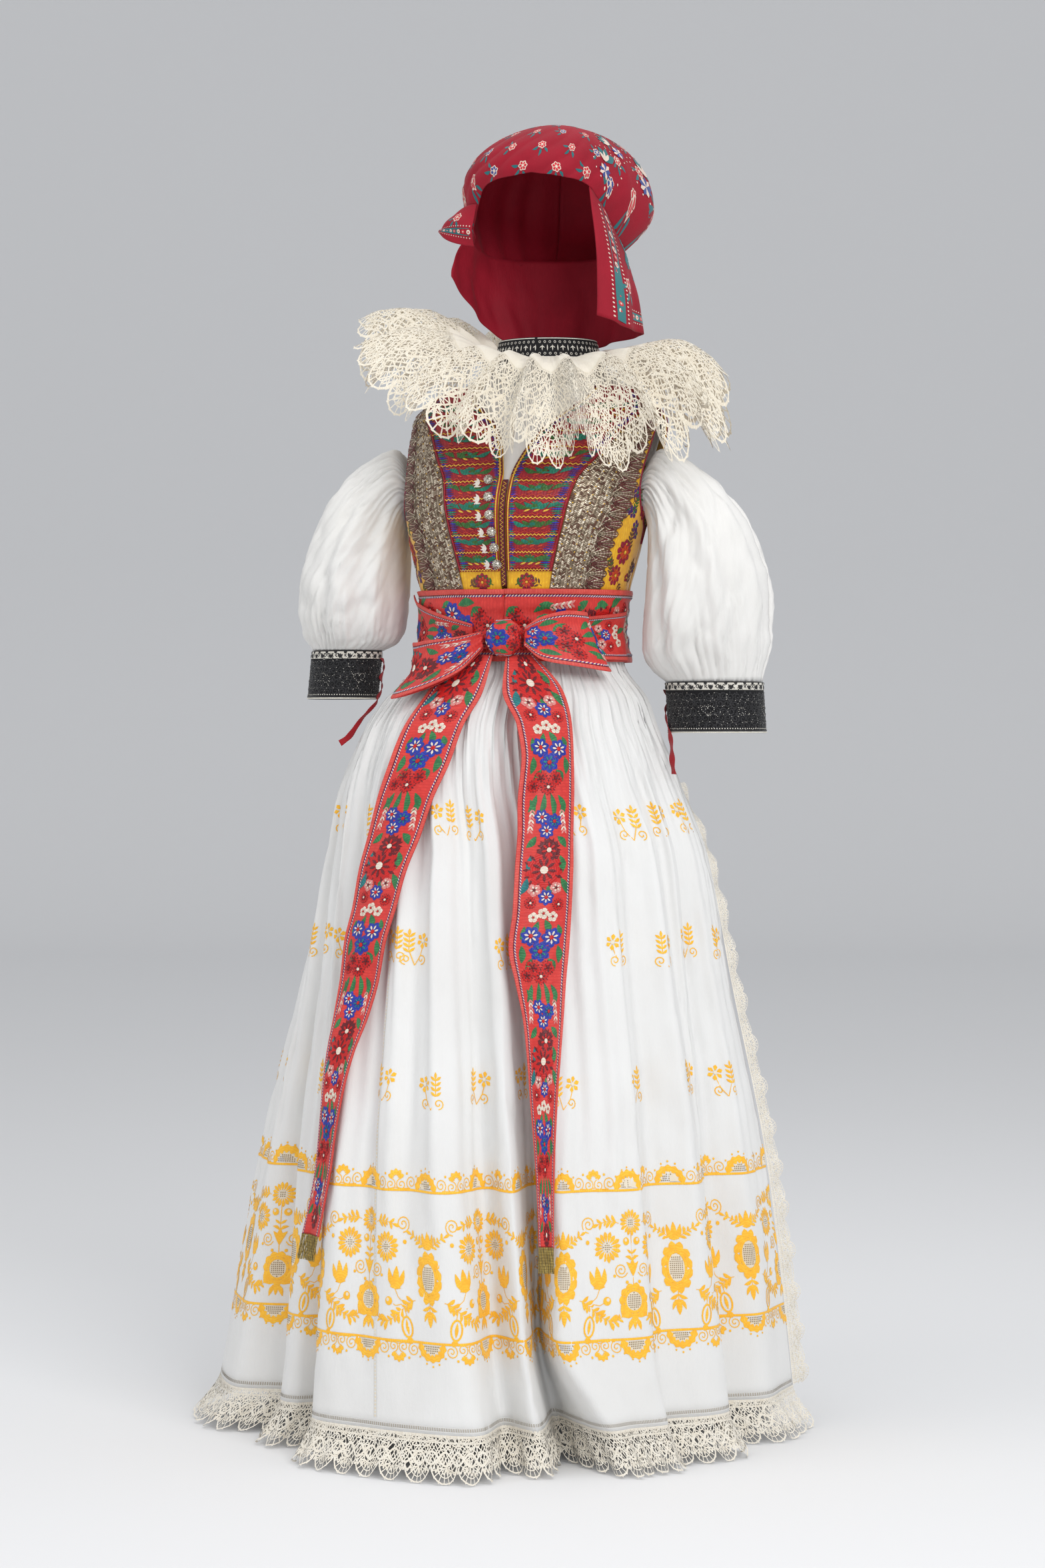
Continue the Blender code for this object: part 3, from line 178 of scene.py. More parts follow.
class Needlework:
    # many small raised shapes drawn flat, then sewn onto a cloth as one piece

    def __init__(self):
        self.points, self.faces, self.kinds, self.uvs, self.count = [], [], [], [], 0
        # what follows is drawn this much wider and larger round a middle
        self.middle, self.wide, self.size = np.zeros(2), 1.0, 1.0

    def add(self, xy, lift, faces, kind, uv=None):
        xy = np.array(xy, float)
        if self.wide != 1.0:
            xy = self.middle + (xy - self.middle) * (self.wide * self.size, self.size)
        lift = np.broadcast_to(np.asarray(lift, float), (len(xy),))
        self.points.append(np.column_stack([xy, lift]))
        self.uvs.append(xy if uv is None else np.asarray(uv, float))
        self.faces += [tuple(i + self.count for i in f) for f in faces]
        self.kinds += [kind] * len(faces)
        self.count += len(xy)

    def strip(self, path, width, kind, lift=0.0003, crown=0.0, across=2):
        # a ribbon of thread along a path, its width given once or for each point
        path = np.asarray(path, float)
        if len(path) < 2:
            return
        along = unit(np.gradient(path, axis=0))
        side = np.column_stack([-along[:, 1], along[:, 0]])
        width = np.broadcast_to(np.asarray(width, float), (len(path),))[:, None]
        spread = np.linspace(-0.5, 0.5, across)
        points = np.concatenate([path + side * width * s for s in spread])
        lifts = np.concatenate([np.full(len(path), lift + crown * (1 - (2 * s) ** 2)) for s in spread])
        n = len(path)
        length = lengthsAlong(path)
        uv = np.concatenate([np.column_stack([length, s * width[:, 0]]) for s in spread])
        faces = []
        for k in range(across - 1):
            for i in range(n - 1):
                faces.append((k * n + i, k * n + i + 1, (k + 1) * n + i + 1, (k + 1) * n + i))
        self.add(points, lifts, faces, kind, uv)

    def petal(self, x, y, angle, length, width, kind, tip=0.5, lift=0.0003, crown=0.0006, bend=0.0, steps=4):
        # a leaf or petal from its root at (x, y), pointing along angle, widest at the share tip
        t = np.linspace(0, 1, steps + 1)
        curve = bend * np.sin(pi * t) * length
        turn = radians(angle)
        ax = np.array([cos(turn), sin(turn)])
        ay = np.array([-sin(turn), cos(turn)])
        middle = np.array([x, y]) + np.outer(t * length, ax) + np.outer(curve, ay)
        shape = np.where(t < tip, np.sin(pi / 2 * t / tip), np.cos(pi / 2 * (t - tip) / (1 - tip)) ** 0.8)
        half = np.maximum(shape * width / 2, width * 0.06)
        points = np.concatenate([middle - np.outer(half, ay), middle, middle + np.outer(half, ay)])
        lifts = np.concatenate([np.full(steps + 1, lift), lift + crown * shape, np.full(steps + 1, lift)])
        n = steps + 1
        uv = np.concatenate([np.column_stack([t * length, -half]), np.column_stack([t * length, 0 * t]),
                             np.column_stack([t * length, half])])
        faces = []
        for k in range(2):
            faces += [(k * n + i, k * n + i + 1, (k + 1) * n + i + 1, (k + 1) * n + i) for i in range(steps)]
        self.add(points, lifts, faces, kind, uv)

    def disc(self, x, y, rx, kind, ry=None, lift=0.0004, crown=0.0004, sides=12):
        ry = ry or rx
        t = np.linspace(0, 2 * pi, sides, endpoint=False)
        ring = np.column_stack([x + rx * np.cos(t), y + ry * np.sin(t)])
        points = np.concatenate([[[x, y]], mix(np.array([[x, y]]), ring, 0.6), ring])
        lifts = np.concatenate([[lift + crown], np.full(sides, lift + crown * 0.75), np.full(sides, lift)])
        faces = [(0, 1 + i, 1 + (i + 1) % sides) for i in range(sides)]
        faces += [(1 + i, 1 + sides + i, 1 + sides + (i + 1) % sides,
                   1 + (i + 1) % sides) for i in range(sides)]
        self.add(points, lifts, faces, kind)

    def ring(self, x, y, r, width, kind, sides=14, lift=0.0004):
        t = np.linspace(0, 2 * pi, sides + 1)
        self.strip(pathOf(x + r * np.cos(t), y + r * np.sin(t)), width, kind, lift, 0.0002, 3)

    def spiral(self, x, y, r, start, turns, width, kind, hand=1):
        # a curl that winds in to (x, y) from a point r away at the angle start
        steps = int(12 * abs(turns)) + 2
        t = np.linspace(0, 1, steps)
        turn = radians(start) + hand * 2 * pi * turns * t
        radius = 1.15 * r * (1 - t) ** 0.85 + 0.0006
        self.strip(pathOf(x + radius * np.cos(turn), y + radius * np.sin(turn)), width, kind, 0.0004)

    def threads(self, starts, ends, width, kind, lift):
        # straight threads, each a thin strip between two points
        along = unit(ends - starts)
        side = np.column_stack([-along[:, 1], along[:, 0]]) * width / 2
        points = np.concatenate([starts - side, ends - side, ends + side, starts + side])
        n = len(starts)
        self.add(points, lift, [(i, n + i, 2 * n + i, 3 * n + i) for i in range(n)], kind)

    def net(self, length, top, bottom, pitch, width, seed):
        # an uneven net of knotted threads, whose holes grow towards the lower edge
        place = np.random.default_rng(seed)
        rows, y = [], top
        while y > bottom:
            rows.append(y)
            y -= pitch * 0.8 * (0.75 + 0.5 * (top - y) / (top - bottom))
        rows[-1] = bottom
        count = int(length / pitch)
        x = (np.arange(count)[None, :] + 0.5 * (np.arange(len(rows))[:, None] % 2)) * length / count
        points = np.stack([x, np.repeat(np.array(rows)[:, None], count, 1)], -1)
        points[1:-1] += place.uniform(-0.32, 0.32, points[1:-1].shape) * pitch
        for r in range(len(rows) - 1):
            back = np.roll(points[r + 1], 1, 0) if r % 2 == 0 else np.roll(points[r + 1], -1, 0)
            for other in (points[r + 1], back):
                ok = (np.abs(points[r, :, 0] - other[:, 0]) < 3 * pitch) & (place.random(count) > 0.06)
                wide = width * place.uniform(0.8, 1.3)
                self.threads(points[r][ok], other[ok], wide, 0, 0.0001 + 0.0001 * (r % 2))
            ok = place.random(count - 1) < 0.42
            self.threads(points[r, :-1][ok], points[r, 1:][ok], width, 0, 0.0003)

    def place(self, drawing, x, y, wide=1.0, turned=False):
        # another drawing laid here, stretched in width or turned to run upwards
        points = np.concatenate(drawing.points)
        flat = points[:, 1::-1] if turned else points[:, :2]
        first = self.count
        self.add(np.column_stack([x + flat[:, 0] * wide, y + flat[:, 1]]), points[:, 2], [], 0)
        self.faces += [tuple(i + first for i in (f[::-1] if turned else f)) for f in drawing.faces]
        self.kinds += drawing.kinds

    def sew(self, name, cloth, materials, at=None):
        points = np.concatenate(self.points)
        placed = cloth.at(*points.T) if at is None else at(points)
        return newObject(name, placed, self.faces, np.concatenate(self.uvs), materials, self.kinds)


# materials

def nodeTree(name):
    made = bpy.data.materials.new(name)
    made.use_nodes = True
    tree = made.node_tree
    return made, tree, tree.nodes["Principled BSDF"]


def setInputs(node, values):
    for socket, value in values.items():
        node.inputs[socket].default_value = value


def mixColour(tree, share, a, b):
    node = tree.nodes.new("ShaderNodeMix")
    node.data_type = "RGBA"
    for socket, value in ((node.inputs[0], share), (node.inputs[6], a), (node.inputs[7], b)):
        if isinstance(value, bpy.types.NodeSocket):
            tree.links.new(value, socket)
        elif isinstance(value, (int, float)):
            socket.default_value = value
        else:
            socket.default_value = (*value, 1.0)
    return node.outputs[2]


def noise(tree, place, scale, detail=3.0, rough=0.55):
    node = tree.nodes.new("ShaderNodeTexNoise")
    setInputs(node, {"Scale": scale, "Detail": detail, "Roughness": rough})
    tree.links.new(place, node.inputs["Vector"])
    return node.outputs["Fac"]


def ramp(tree, value, low, high):
    node = tree.nodes.new("ShaderNodeMapRange")
    tree.links.new(value, node.inputs["Value"])
    setInputs(node, {"From Min": low, "From Max": high})
    return node.outputs["Result"]


def waves(tree, place, across, scale, depth):
    node = tree.nodes.new("ShaderNodeTexWave")
    node.bands_direction = across
    setInputs(node, {"Scale": scale, "Distortion": depth, "Detail Scale": 2.0})
    tree.links.new(place, node.inputs["Vector"])
    return node.outputs["Fac"]


def bump(tree, shader, height, strength, distance, under=None):
    node = tree.nodes.new("ShaderNodeBump")
    setInputs(node, {"Strength": strength, "Distance": distance})
    tree.links.new(height, node.inputs["Height"])
    if under is not None:
        tree.links.new(under, node.inputs["Normal"])
    tree.links.new(node.outputs["Normal"], shader.inputs["Normal"])
    return node.outputs["Normal"]


def wovenMaterial(name, colour, shade, threads, rough=0.85, sheen=0.25, strength=0.25, mottle=9.0,
                  crease=0.0):
    # a plain weave in metres of flat cloth, with soft uneven colour over the piece
    made, tree, shader = nodeTree(name)
    flat = tree.nodes.new("ShaderNodeUVMap")
    flat.uv_map = "flat"
    body = tree.nodes.new("ShaderNodeTexCoord").outputs["Object"]
    patches = noise(tree, body, mottle, 4.0)
    tree.links.new(mixColour(tree, ramp(tree, patches, 0.3, 0.7), shade, colour), shader.inputs["Base Color"])
    warp = waves(tree, flat.outputs["UV"], "X", threads, 0.6)
    weft = waves(tree, flat.outputs["UV"], "Y", threads, 0.6)
    both = tree.nodes.new("ShaderNodeMath")
    both.operation = "MAXIMUM"
    tree.links.new(warp, both.inputs[0])
    tree.links.new(weft, both.inputs[1])
    normal = bump(tree, shader, both.outputs[0], strength, 0.0003)
    if crease:
        stretched = tree.nodes.new("ShaderNodeMapping")
        stretched.inputs["Scale"].default_value = (3.0, 3.0, 1.0)
        tree.links.new(body, stretched.inputs["Vector"])
        bump(tree, shader, noise(tree, stretched.outputs["Vector"], 14.0, 5.0, 0.6), crease, 0.004, normal)
    setInputs(shader, {"Roughness": rough, "Sheen Weight": sheen, "Specular IOR Level": 0.25})
    return made


def threadMaterial(name, colour, shade, spacing=0.0005, rough=0.45, sheen=0.08, strength=0.5, metal=0.0):
    # satin stitch: fine threads side by side, with painted shade in the dips between strands where the bump lies
    # low
    made, tree, shader = nodeTree(name)
    flat = tree.nodes.new("ShaderNodeUVMap")
    flat.uv_map = "flat"
    body = tree.nodes.new("ShaderNodeTexCoord").outputs["Object"]
    strands = waves(tree, flat.outputs["UV"], "X", 1.0 / (spacing * 20), 3.0)
    tone = mixColour(tree, ramp(tree, noise(tree, body, 160.0, 2.0), 0.35, 0.65), shade, colour)
    # painted shade: the shade colour is laid where the strands' bump dips between the threads
    tree.links.new(mixColour(tree, ramp(tree, strands, 0.0, 0.5), shade, tone), shader.inputs["Base Color"])
    bump(tree, shader, strands, strength, 0.0004)
    setInputs(shader,
              {"Roughness": rough, "Metallic": metal, "Sheen Weight": sheen, "Specular IOR Level": 0.35})
    return made


linenCloth = wovenMaterial("linen", (0.80, 0.80, 0.79), (0.76, 0.755, 0.74), 650.0, crease=0.30)
sleeveCloth = wovenMaterial("sleeve_cotton", (0.80, 0.79, 0.77), (0.75, 0.74, 0.71), 650.0, crease=0.25)
hemCloth = wovenMaterial("hem_linen", (0.80, 0.79, 0.765), (0.74, 0.725, 0.69), 650.0, crease=0.1)
yellowThread = threadMaterial("yellow_thread", (1.0, 0.58, 0.045), (0.95, 0.47, 0.030), strength=0.3)
openNet = wovenMaterial("open_net", (0.84, 0.77, 0.64), (0.76, 0.66, 0.50), 500.0)
# painted shade: the dark colour seen through the drawn-thread holes
netHoleShade = wovenMaterial("net_hole_shade", (0.36, 0.27, 0.17), (0.28, 0.20, 0.12), 500.0)
laceThread = threadMaterial("lace_thread", (0.86, 0.82, 0.73), (0.80, 0.74, 0.63), 0.0004, 0.8, 0.2)
ruffThread = threadMaterial("ruff_thread", (0.86, 0.81, 0.70), (0.78, 0.71, 0.58), 0.0004, 0.8, 0.2)
stitchDark = wovenMaterial("hemstitch_shadow", (0.46, 0.42, 0.36), (0.38, 0.34, 0.28), 500.0)


# camera, floor and light

view = {"azimuth": 14.0, "away": 4.30, "height": 0.860, "scale": 0.00083, "wide": 1568, "tall": 2353,
        "axisX": 786.0, "horizonY": 1095.0}


def setCamera():
    turn = radians(view["azimuth"])
    lens = bpy.data.cameras.new("camera")
    lens.sensor_fit = "AUTO"
    lens.sensor_width = 36.0
    lens.lens = 36.0 * view["away"] / (view["tall"] * view["scale"])
    lens.clip_start, lens.clip_end = 0.05, 60.0
    camera = bpy.data.objects.new("camera", lens)
    camera.location = (view["away"] * sin(turn), -view["away"] * cos(turn), view["height"] - waistHeight)
    side = (view["wide"] / 2 - view["axisX"]) * view["scale"]
    down = (view["tall"] / 2 - view["horizonY"]) * view["scale"]
    target = Vector((side * cos(turn), side * sin(turn), view["height"] - down - waistHeight))
    camera.rotation_mode = "QUATERNION"
    camera.rotation_quaternion = (target - camera.location).to_track_quat("-Z", "Y")
    bpy.context.scene.collection.objects.link(camera)
    bpy.context.scene.camera = camera


studio = {"floor": (0.83, 0.835, 0.845), "depth": 9.0, "world": 0.62,
          "key": (2.3, -2.9, 1.9, 82.0, 2.0), "fill": (-2.8, -2.4, 0.9, 20.0, 2.6),
          "top": (0.0, -0.2, 2.6, 26.0, 3.0)}


def setStudio():
    # a floor that curves up into a plain backdrop
    profile = [(-14.0, 0.0), (studio["depth"], 0.0)]
    profile += [(studio["depth"] + 1.6 * sin(radians(a)), 1.6 - 1.6 * cos(radians(a))) for a in range(9, 91,
                                                                                                      9)]
    profile += [(studio["depth"] + 1.6, 9.0)]
    points, faces = [], []
    turn = radians(view["azimuth"])
    for y, z in profile:
        for x in (-20.0, 20.0):
            points.append((x * cos(turn) - y * sin(turn), x * sin(turn) + y * cos(turn), z - 0.0004))
    for n in range(len(profile) - 1):
        faces.append((2 * n, 2 * n + 1, 2 * n + 3, 2 * n + 2))
    paper, tree, shader = nodeTree("studio_paper")
    place = tree.nodes.new("ShaderNodeTexCoord").outputs["Object"]
    tone = mixColour(tree, noise(tree, place, 0.6, 2.0), [c * 0.985 for c in studio["floor"]],
                     studio["floor"])
    tree.links.new(tone, shader.inputs["Base Color"])
    setInputs(shader, {"Roughness": 0.9, "Specular IOR Level": 0.1})
    newObject("studio_floor", points, faces, None, [paper])
    for name in ("key", "fill", "top"):
        x, y, z, power, size = studio[name]
        lamp = bpy.data.lights.new(name, "AREA")
        lamp.energy, lamp.size = power, size
        lamp.shape = "SQUARE"
        holder = bpy.data.objects.new(name, lamp)
        holder.location = (x, y, z)
        holder.rotation_mode = "QUATERNION"
        holder.rotation_quaternion = (Vector((0, 0, -0.1)) - holder.location).to_track_quat("-Z", "Y")
        bpy.context.scene.collection.objects.link(holder)
    world = bpy.data.worlds.new("studio")
    world.use_nodes = True
    setInputs(world.node_tree.nodes["Background"],
              {"Color": (0.97, 0.98, 1.0, 1.0), "Strength": studio["world"]})
    bpy.context.scene.world = world
    bpy.context.scene.view_settings.view_transform = "Standard"


setCamera()
setStudio()
say("camera and studio")


# the wearer's form, as rings up the body: height, centre, half width and half depth

figureRings = tableOf((
    (0.900, 0.000, 0.000, 0.150, 0.118), (0.940, 0.000, 0.000, 0.130, 0.100),
                       (0.985, 0.000, 0.000, 0.121, 0.091),
    (1.030, 0.002, -0.002, 0.127, 0.099), (1.080, 0.004, -0.005, 0.139, 0.113),
                       (1.130, 0.006, -0.006, 0.149, 0.122),
    (1.170, 0.010, -0.001, 0.155, 0.115), (1.210, 0.015, 0.006, 0.160, 0.098),
                       (1.240, 0.018, 0.012, 0.157, 0.082),
    (1.265, 0.020, 0.016, 0.135, 0.070), (1.290, 0.023, 0.020, 0.100, 0.062),
                       (1.310, 0.025, 0.023, 0.070, 0.056),
    (1.345, 0.025, 0.024, 0.058, 0.052)))
skirtRings = tableOf((
    (0.985, 0.000, 0.000, 0.1225, 0.0925), (0.938, 0.000, 0.000, 0.1315, 0.1015),
                      (0.900, -0.006, -0.002, 0.166, 0.132),
    (0.860, -0.012, -0.004, 0.188, 0.158), (0.800, -0.012, -0.006, 0.213, 0.180),
                      (0.705, -0.004, -0.010, 0.240, 0.208),
    (0.550, -0.006, -0.016, 0.268, 0.244), (0.340, -0.010, -0.018, 0.308, 0.298),
                      (0.110, -0.017, -0.014, 0.338, 0.332),
    (0.000, -0.022, -0.012, 0.352, 0.346)))


def ringPoint(rings, angle, height):
    angle, height = np.broadcast_arrays(np.asarray(angle, float), np.asarray(height, float))
    centreX, centreY, halfWidth, halfDepth = (curve(height) for curve in rings)
    turn = np.radians(angle)
    return np.stack([centreX + halfWidth * np.sin(turn), centreY - halfDepth * np.cos(turn), height], -1)


def onFigure(angle, height, out=0.0):
    angle, height = np.asarray(angle, float), np.asarray(height, float)
    around = ringPoint(figureRings, angle + 1, height) - ringPoint(figureRings, angle - 1, height)
    up = ringPoint(figureRings, angle, height + 0.002) - ringPoint(figureRings, angle, height - 0.002)
    return ringPoint(figureRings, angle, height) + unit(np.cross(around, up)) * np.asarray(out)[..., None]


def baseRadius(angle, height):
    point = ringPoint(skirtRings, angle, height)
    return np.hypot(point[..., 0], point[..., 1])


# skirt and apron

# each turn of the apron's hem from above: angle, radius, the height where its fold dies away, how far it trails
apronHem = (
    (-106.0, .360, .75, 0), (-97.0, .370, .75, 0), (-84.0, .385, .80, 0), (-66.0, .362, .80, 0),
            (-59.0, .300, .92, 0),
    (-49.0, .325, .90, 0), (-43.0, .320, .80, 0), (-37.5, .272, .90, 0), (-27.5, .355, .93, 0),
            (-11.5, .360, .85, 0),
    (3.0, .368, .85, 1), (10.0, .360, .86, 1), (13.0, .298, .88, 2), (20.0, .332, .80, 2),
            (24.0, .240, .98, 6),
    (24.2, .346, .95, 12), (34.0, .342, .85, 8), (44.0, .340, .85, 4), (49.0, .312, .80, 2),
            (60.0, .326, .85, 0),
    (67.0, .322, .85, 0), (73.0, .276, .85, 0), (82.0, .322, .80, 0), (92.0, .328, .80, 0),
            (103.0, .345, .75, 0))

skirtSizes = {
    "waistSpan": (-121.0, 85.0), "columns": 78, "fineColumns": 330, "fineRows": 64, "sideLace": 0.030,
    "backWaist": (78.0, 246.0), "backHem": (96.0, 264.0), "backFolds": 8, "backColumns": 32, "backFine": 210,
    "backEdges": (0.300, 0.338), "backDepth": 0.033, "underlap": 0.010,
    "laceTop": 0.0515, "laceDepth": 0.040, "clothLow": 0.050, "clothTop": 0.984, "backRows": 50,
              "backLength": 1.25, "apronFlare": 0.026, "skirtFlare": 0.012, "thick": 0.0007,
}


def hemCurve():
    # the hem's smooth line through its turns, with its length so far
    steps = 36
    points = []
    for angle, radius, fades, trails in apronHem:
        points.append((radius * sin(radians(angle)), -radius * cos(radians(angle)), fades, trails))
    points = np.array(points)
    last = len(points) - 1
    dense = []
    for n in range(last):
        p0, p1, p2, p3 = points[max(n - 1, 0)], points[n], points[n + 1], points[min(n + 2, last)]
        for t in np.arange(steps) / steps:
            dense.append(0.5 * (2 * p1 + (p2 - p0) * t + (2 * p0 - 5 * p1 + 4 * p2 - p3) * t * t
                                + (3 * p1 - p0 - 3 * p2 + p3) * t ** 3))
    dense = np.array(dense + [points[-1]])
    lengths = np.concatenate([[0], np.cumsum(np.hypot(*np.diff(dense[:, :2], axis=0).T))])
    return lengths, dense


hemLengths, hemDense = hemCurve()
hemLength = hemLengths[-1]


def hemAt(share):
    place = np.asarray(share) * hemLength
    x, y, fades, trails = (np.interp(place, hemLengths, hemDense[:, n]) for n in range(4))
    return np.degrees(np.arctan2(x, -y)), np.hypot(x, y), fades, trails


def hang(waistAngle, hem, heights, column, softness, underlap=0.0):
    # rows of points of hanging cloth, one column for each hem place
    hemAngle, hemRadius, fades, trails = hem
    height = np.asarray(heights, float)[:, None]
    fallen = (waistHeight - height) / waistHeight
    angle = mix(waistAngle, hemAngle, np.maximum(fallen, 0.0) ** 0.75) + trails * ease(1 - height / 0.16)
    depth = ease(1 - height / fades) ** 0.8
    swing = (hemRadius - baseRadius(hemAngle, 0.05)) * depth
    soft = softness * ease((0.93 - height) / 0.25) * ease(height / 0.45)
    swing = swing + 0.0075 * soft * np.sin(2 * pi * column / 5.3 + 1.3 * np.sin(column * 0.37))
    swing = swing + 0.0022 * ease((height - 0.80) / 0.08) * np.cos(pi * column) * (height < waistHeight
                                                                                   - 0.01)
    swing = swing - underlap * ease((waistHeight - height) / 0.1 + 0.25)
    turn = np.radians(angle)
    base = ringPoint(skirtRings, angle, height + 0 * angle)
    return base + np.stack([np.sin(turn), -np.cos(turn), 0 * turn], -1) * swing[..., None], angle


def clothCreases(u, v, seed):
    # uneven gathers at the waist, long soft creases below them and a few slanting pulls, all pressed inwards
    u, v = np.broadcast_arrays(u, v)
    drift = 0.012 * wander(v * 7, seed)
    near = ease((v - 0.62) / 0.30)
    fine = np.abs(np.sin(pi * (u + drift * 0.3) / 0.0125 + 2.2 * wander(u * 9, seed + 1)))
    gathers = 0.0046 * near * (0.45 + 0.55 * ease(0.5 + 0.5 * wander(u * 23 + v * 3, seed + 2))) * (1 - fine)
    long = np.sin(2 * pi * (u + drift) / 0.034 + 2.6 * wander(u * 6, seed + 3))
    fade = ease((v - 0.16) / 0.3) * ease((0.95 - v) / 0.15)
    folds = 0.0046 * fade * (0.5 + 0.5 * long) * (0.4
                                                  + 0.6 * ease(0.5 + 0.6 * wander(u * 11 + v * 4, seed + 4)))
    slant = np.sin(2 * pi * (v * 1.0 + u * 1.7 + 0.03 * wander(u * 8, seed + 5)) / 0.085)
    pulls = 0.0018 * ease(slant * 2 - 1.0) * ease(0.5 + wander(u * 5 - v * 6, seed + 6))
    crumple = 0.0007 * (1 + wander(u * 60 + v * 17,
                                   seed + 7)) * (0.4 + 0.6 * ease(wander(v * 30 - u * 20, seed + 8)))
    return -(gathers + folds + pulls + crumple)


def movedOut(points, amount):
    grid = Cloth(points, np.arange(points.shape[1]), np.arange(points.shape[0]))
    return points + grid.normals * amount[..., None]


def apronAt(shares, heights):
    edge = (skirtSizes["sideLace"] + 0.0004) / hemLength
    column = (shares - edge) / (1 - 2 * edge) * skirtSizes["columns"]
    softness = ease(9 * shares) * ease(9 - 9 * shares)
    return hang(mix(*skirtSizes["waistSpan"], shares), hemAt(shares), heights, column, softness)[0]


def backAt(shares, heights):
    pleat = np.sin(2 * pi * (skirtSizes["backFolds"] * shares + 0.15 * np.sin(5 * shares)))
    middle = ease(7 * shares - 0.45) * ease(6.55 - 7 * shares)
    hemAngle = mix(*skirtSizes["backHem"],
                   shares) + 1.4 * np.sin(4 * pi * skirtSizes["backFolds"] * shares) * middle
    pleated = baseRadius(hemAngle, 0.05) + 0.004 + skirtSizes["backDepth"] * pleat
    radius = mix(mix(*skirtSizes["backEdges"], shares), pleated, middle)
    hem = (hemAngle, radius, 0.90 + 0 * shares, 0 * shares)
    underlap = skirtSizes["underlap"] * (1 - 0.7 * middle)
    return hang(mix(*skirtSizes["backWaist"], shares), hem, heights, shares * skirtSizes["backColumns"],
                middle, underlap)[0]


def clothHeights(count):
    # rows set closer at the waist, where the gathers are
    t = np.linspace(0, 1, count)
    return mix(skirtSizes["clothLow"], skirtSizes["clothTop"], 0.55 * t + 0.45 * np.sin(pi / 2 * t))


def makeSkirt():
    edge = (skirtSizes["sideLace"] + 0.0004) / hemLength
    shares = np.linspace(edge, 1 - edge, skirtSizes["fineColumns"])
    heights = clothHeights(skirtSizes["fineRows"])
    points = apronAt(shares, heights)
    u = shares * hemLength
    points = movedOut(points, clothCreases(u[None, :], heights[:, None],
                                           1.0) * ease((heights[:, None] - 0.052) / 0.02))
    apron = Cloth(points, u, heights)
    hold(clothObject("apron_cloth", apron, linenCloth, skirtSizes["thick"]), "linen", "apron")

    shares = np.linspace(0, 1, skirtSizes["backFine"])
    heights = clothHeights(skirtSizes["backRows"])
    points = backAt(shares, heights)
    creases = clothCreases(shares[None, :] * 1.6, heights[:, None],
                           4.0) * ease((heights[:, None] - 0.052) / 0.02)
    back = Cloth(movedOut(points, creases), shares * skirtSizes["backLength"], heights)
    hold(clothObject("skirt_back_cloth", back, linenCloth, skirtSizes["thick"]), "linen", "skirt_back")
    return apron, back


apronCloth, backCloth = makeSkirt()
say(f"skirt and apron, hem {hemLength:.3f} m")


# yellow embroidery on the apron

apronWork = {
    "repeat": 0.191, "axisAt": 1.267, "upperLine": 0.325, "lowerLine": 0.154, "lineWidth": 0.0028,
    "sprigs": ((0.76, (0.04, 0.14, 0.24, 0.34, 0.44, 0.59, 0.70, 0.83, 0.915, 1.12, 1.22, 1.36, 1.47, 1.57)),
               (0.61,
                (0.09, 0.19, 0.29, 0.39, 0.49, 0.60, 0.715, 0.76, 0.975, 1.075, 1.285, 1.40, 1.51, 1.60)),
               (0.45, (0.05, 0.15, 0.26, 0.36, 0.46, 0.57, 0.715, 0.80, 0.90, 1.02, 1.18, 1.31, 1.44, 1.55))),
    "sprigWide": (1.7, 1.45, 1.3), "sprigSize": 1.3, "hemstitch": 0.0575, "stitchPitch": 0.0029,
             "seamAt": 0.706,
}
# the third material, for the holes, is painted shade seen through the openwork
thread, net, holeShade = 0, 1, 2  # the embroidery's three materials, in this order


def openwork(work, x, y, rx, ry, half=0):
    # a drawn-thread centre: a pale net with small dark squares of painted shade for its holes, whole or the upper
    # or lower half
    if half:
        t = np.linspace(0, pi, 9)
        rim = np.column_stack([x + rx * np.cos(t), y + half * ry * np.sin(t)])
        faces = [(0, 1 + i, 2 + i) if half > 0 else (0, 2 + i, 1 + i) for i in range(8)]
        work.add(np.concatenate([[[x, y]], rim]), 0.0003, faces, net)
    else:
        work.disc(x, y, rx, net, ry, lift=0.0003, crown=0.0, sides=14)
    pitch, size = 0.0024, 0.0007
    for i in range(-12, 13):
        for j in range(-12, 13):
            px, py = i * pitch, j * pitch + (half * pitch / 2 if half else 0)
            if half and half * py < 0 or (px / rx) ** 2 + (py / ry) ** 2 > 0.72:
                continue
            square = [(x + px - size, y + py - size), (x + px + size, y + py - size),
                      (x + px + size, y + py + size), (x + px - size, y + py + size)]
            # each hole is a small dark square of painted shade
            work.add(square, 0.00045, [(0, 1, 2, 3)], holeShade)


def daisy(work, x, y, r):
    for n in range(16):
        a = 22.5 * (n + 0.3)
        size = r * (0.64 + 0.05 * sin(n * 2.3))
        work.petal(*turnedFrom(x, y, a, r * 0.34), a, size, r * 0.27, thread, tip=0.7)
    openwork(work, x, y, r * 0.32, r * 0.32)


def roundFlower(work, x, y, rx, ry, petals=11):
    # scalloped petals close round an openwork centre
    for n in range(petals):
        a = 2 * pi * n / petals + 0.2
        px, py = x + rx * 0.52 * cos(a), y + ry * 0.52 * sin(a)
        wide = 5.87 * hypot(rx * sin(a), ry * cos(a)) / petals
        long = hypot(rx * cos(a), ry * sin(a)) * 0.50
        work.petal(px, py, degrees(atan2(ry * sin(a), rx * cos(a))), long, wide, thread, tip=0.62, steps=5)
    t = np.linspace(0, 2 * pi, 19)
    rim = pathOf(x + rx * 0.60 * np.cos(t), y + ry * 0.60 * np.sin(t))
    work.strip(rim, rx * 0.16, thread, 0.0006, 0.0003, 3)
    openwork(work, x, y, rx * 0.55, ry * 0.55)


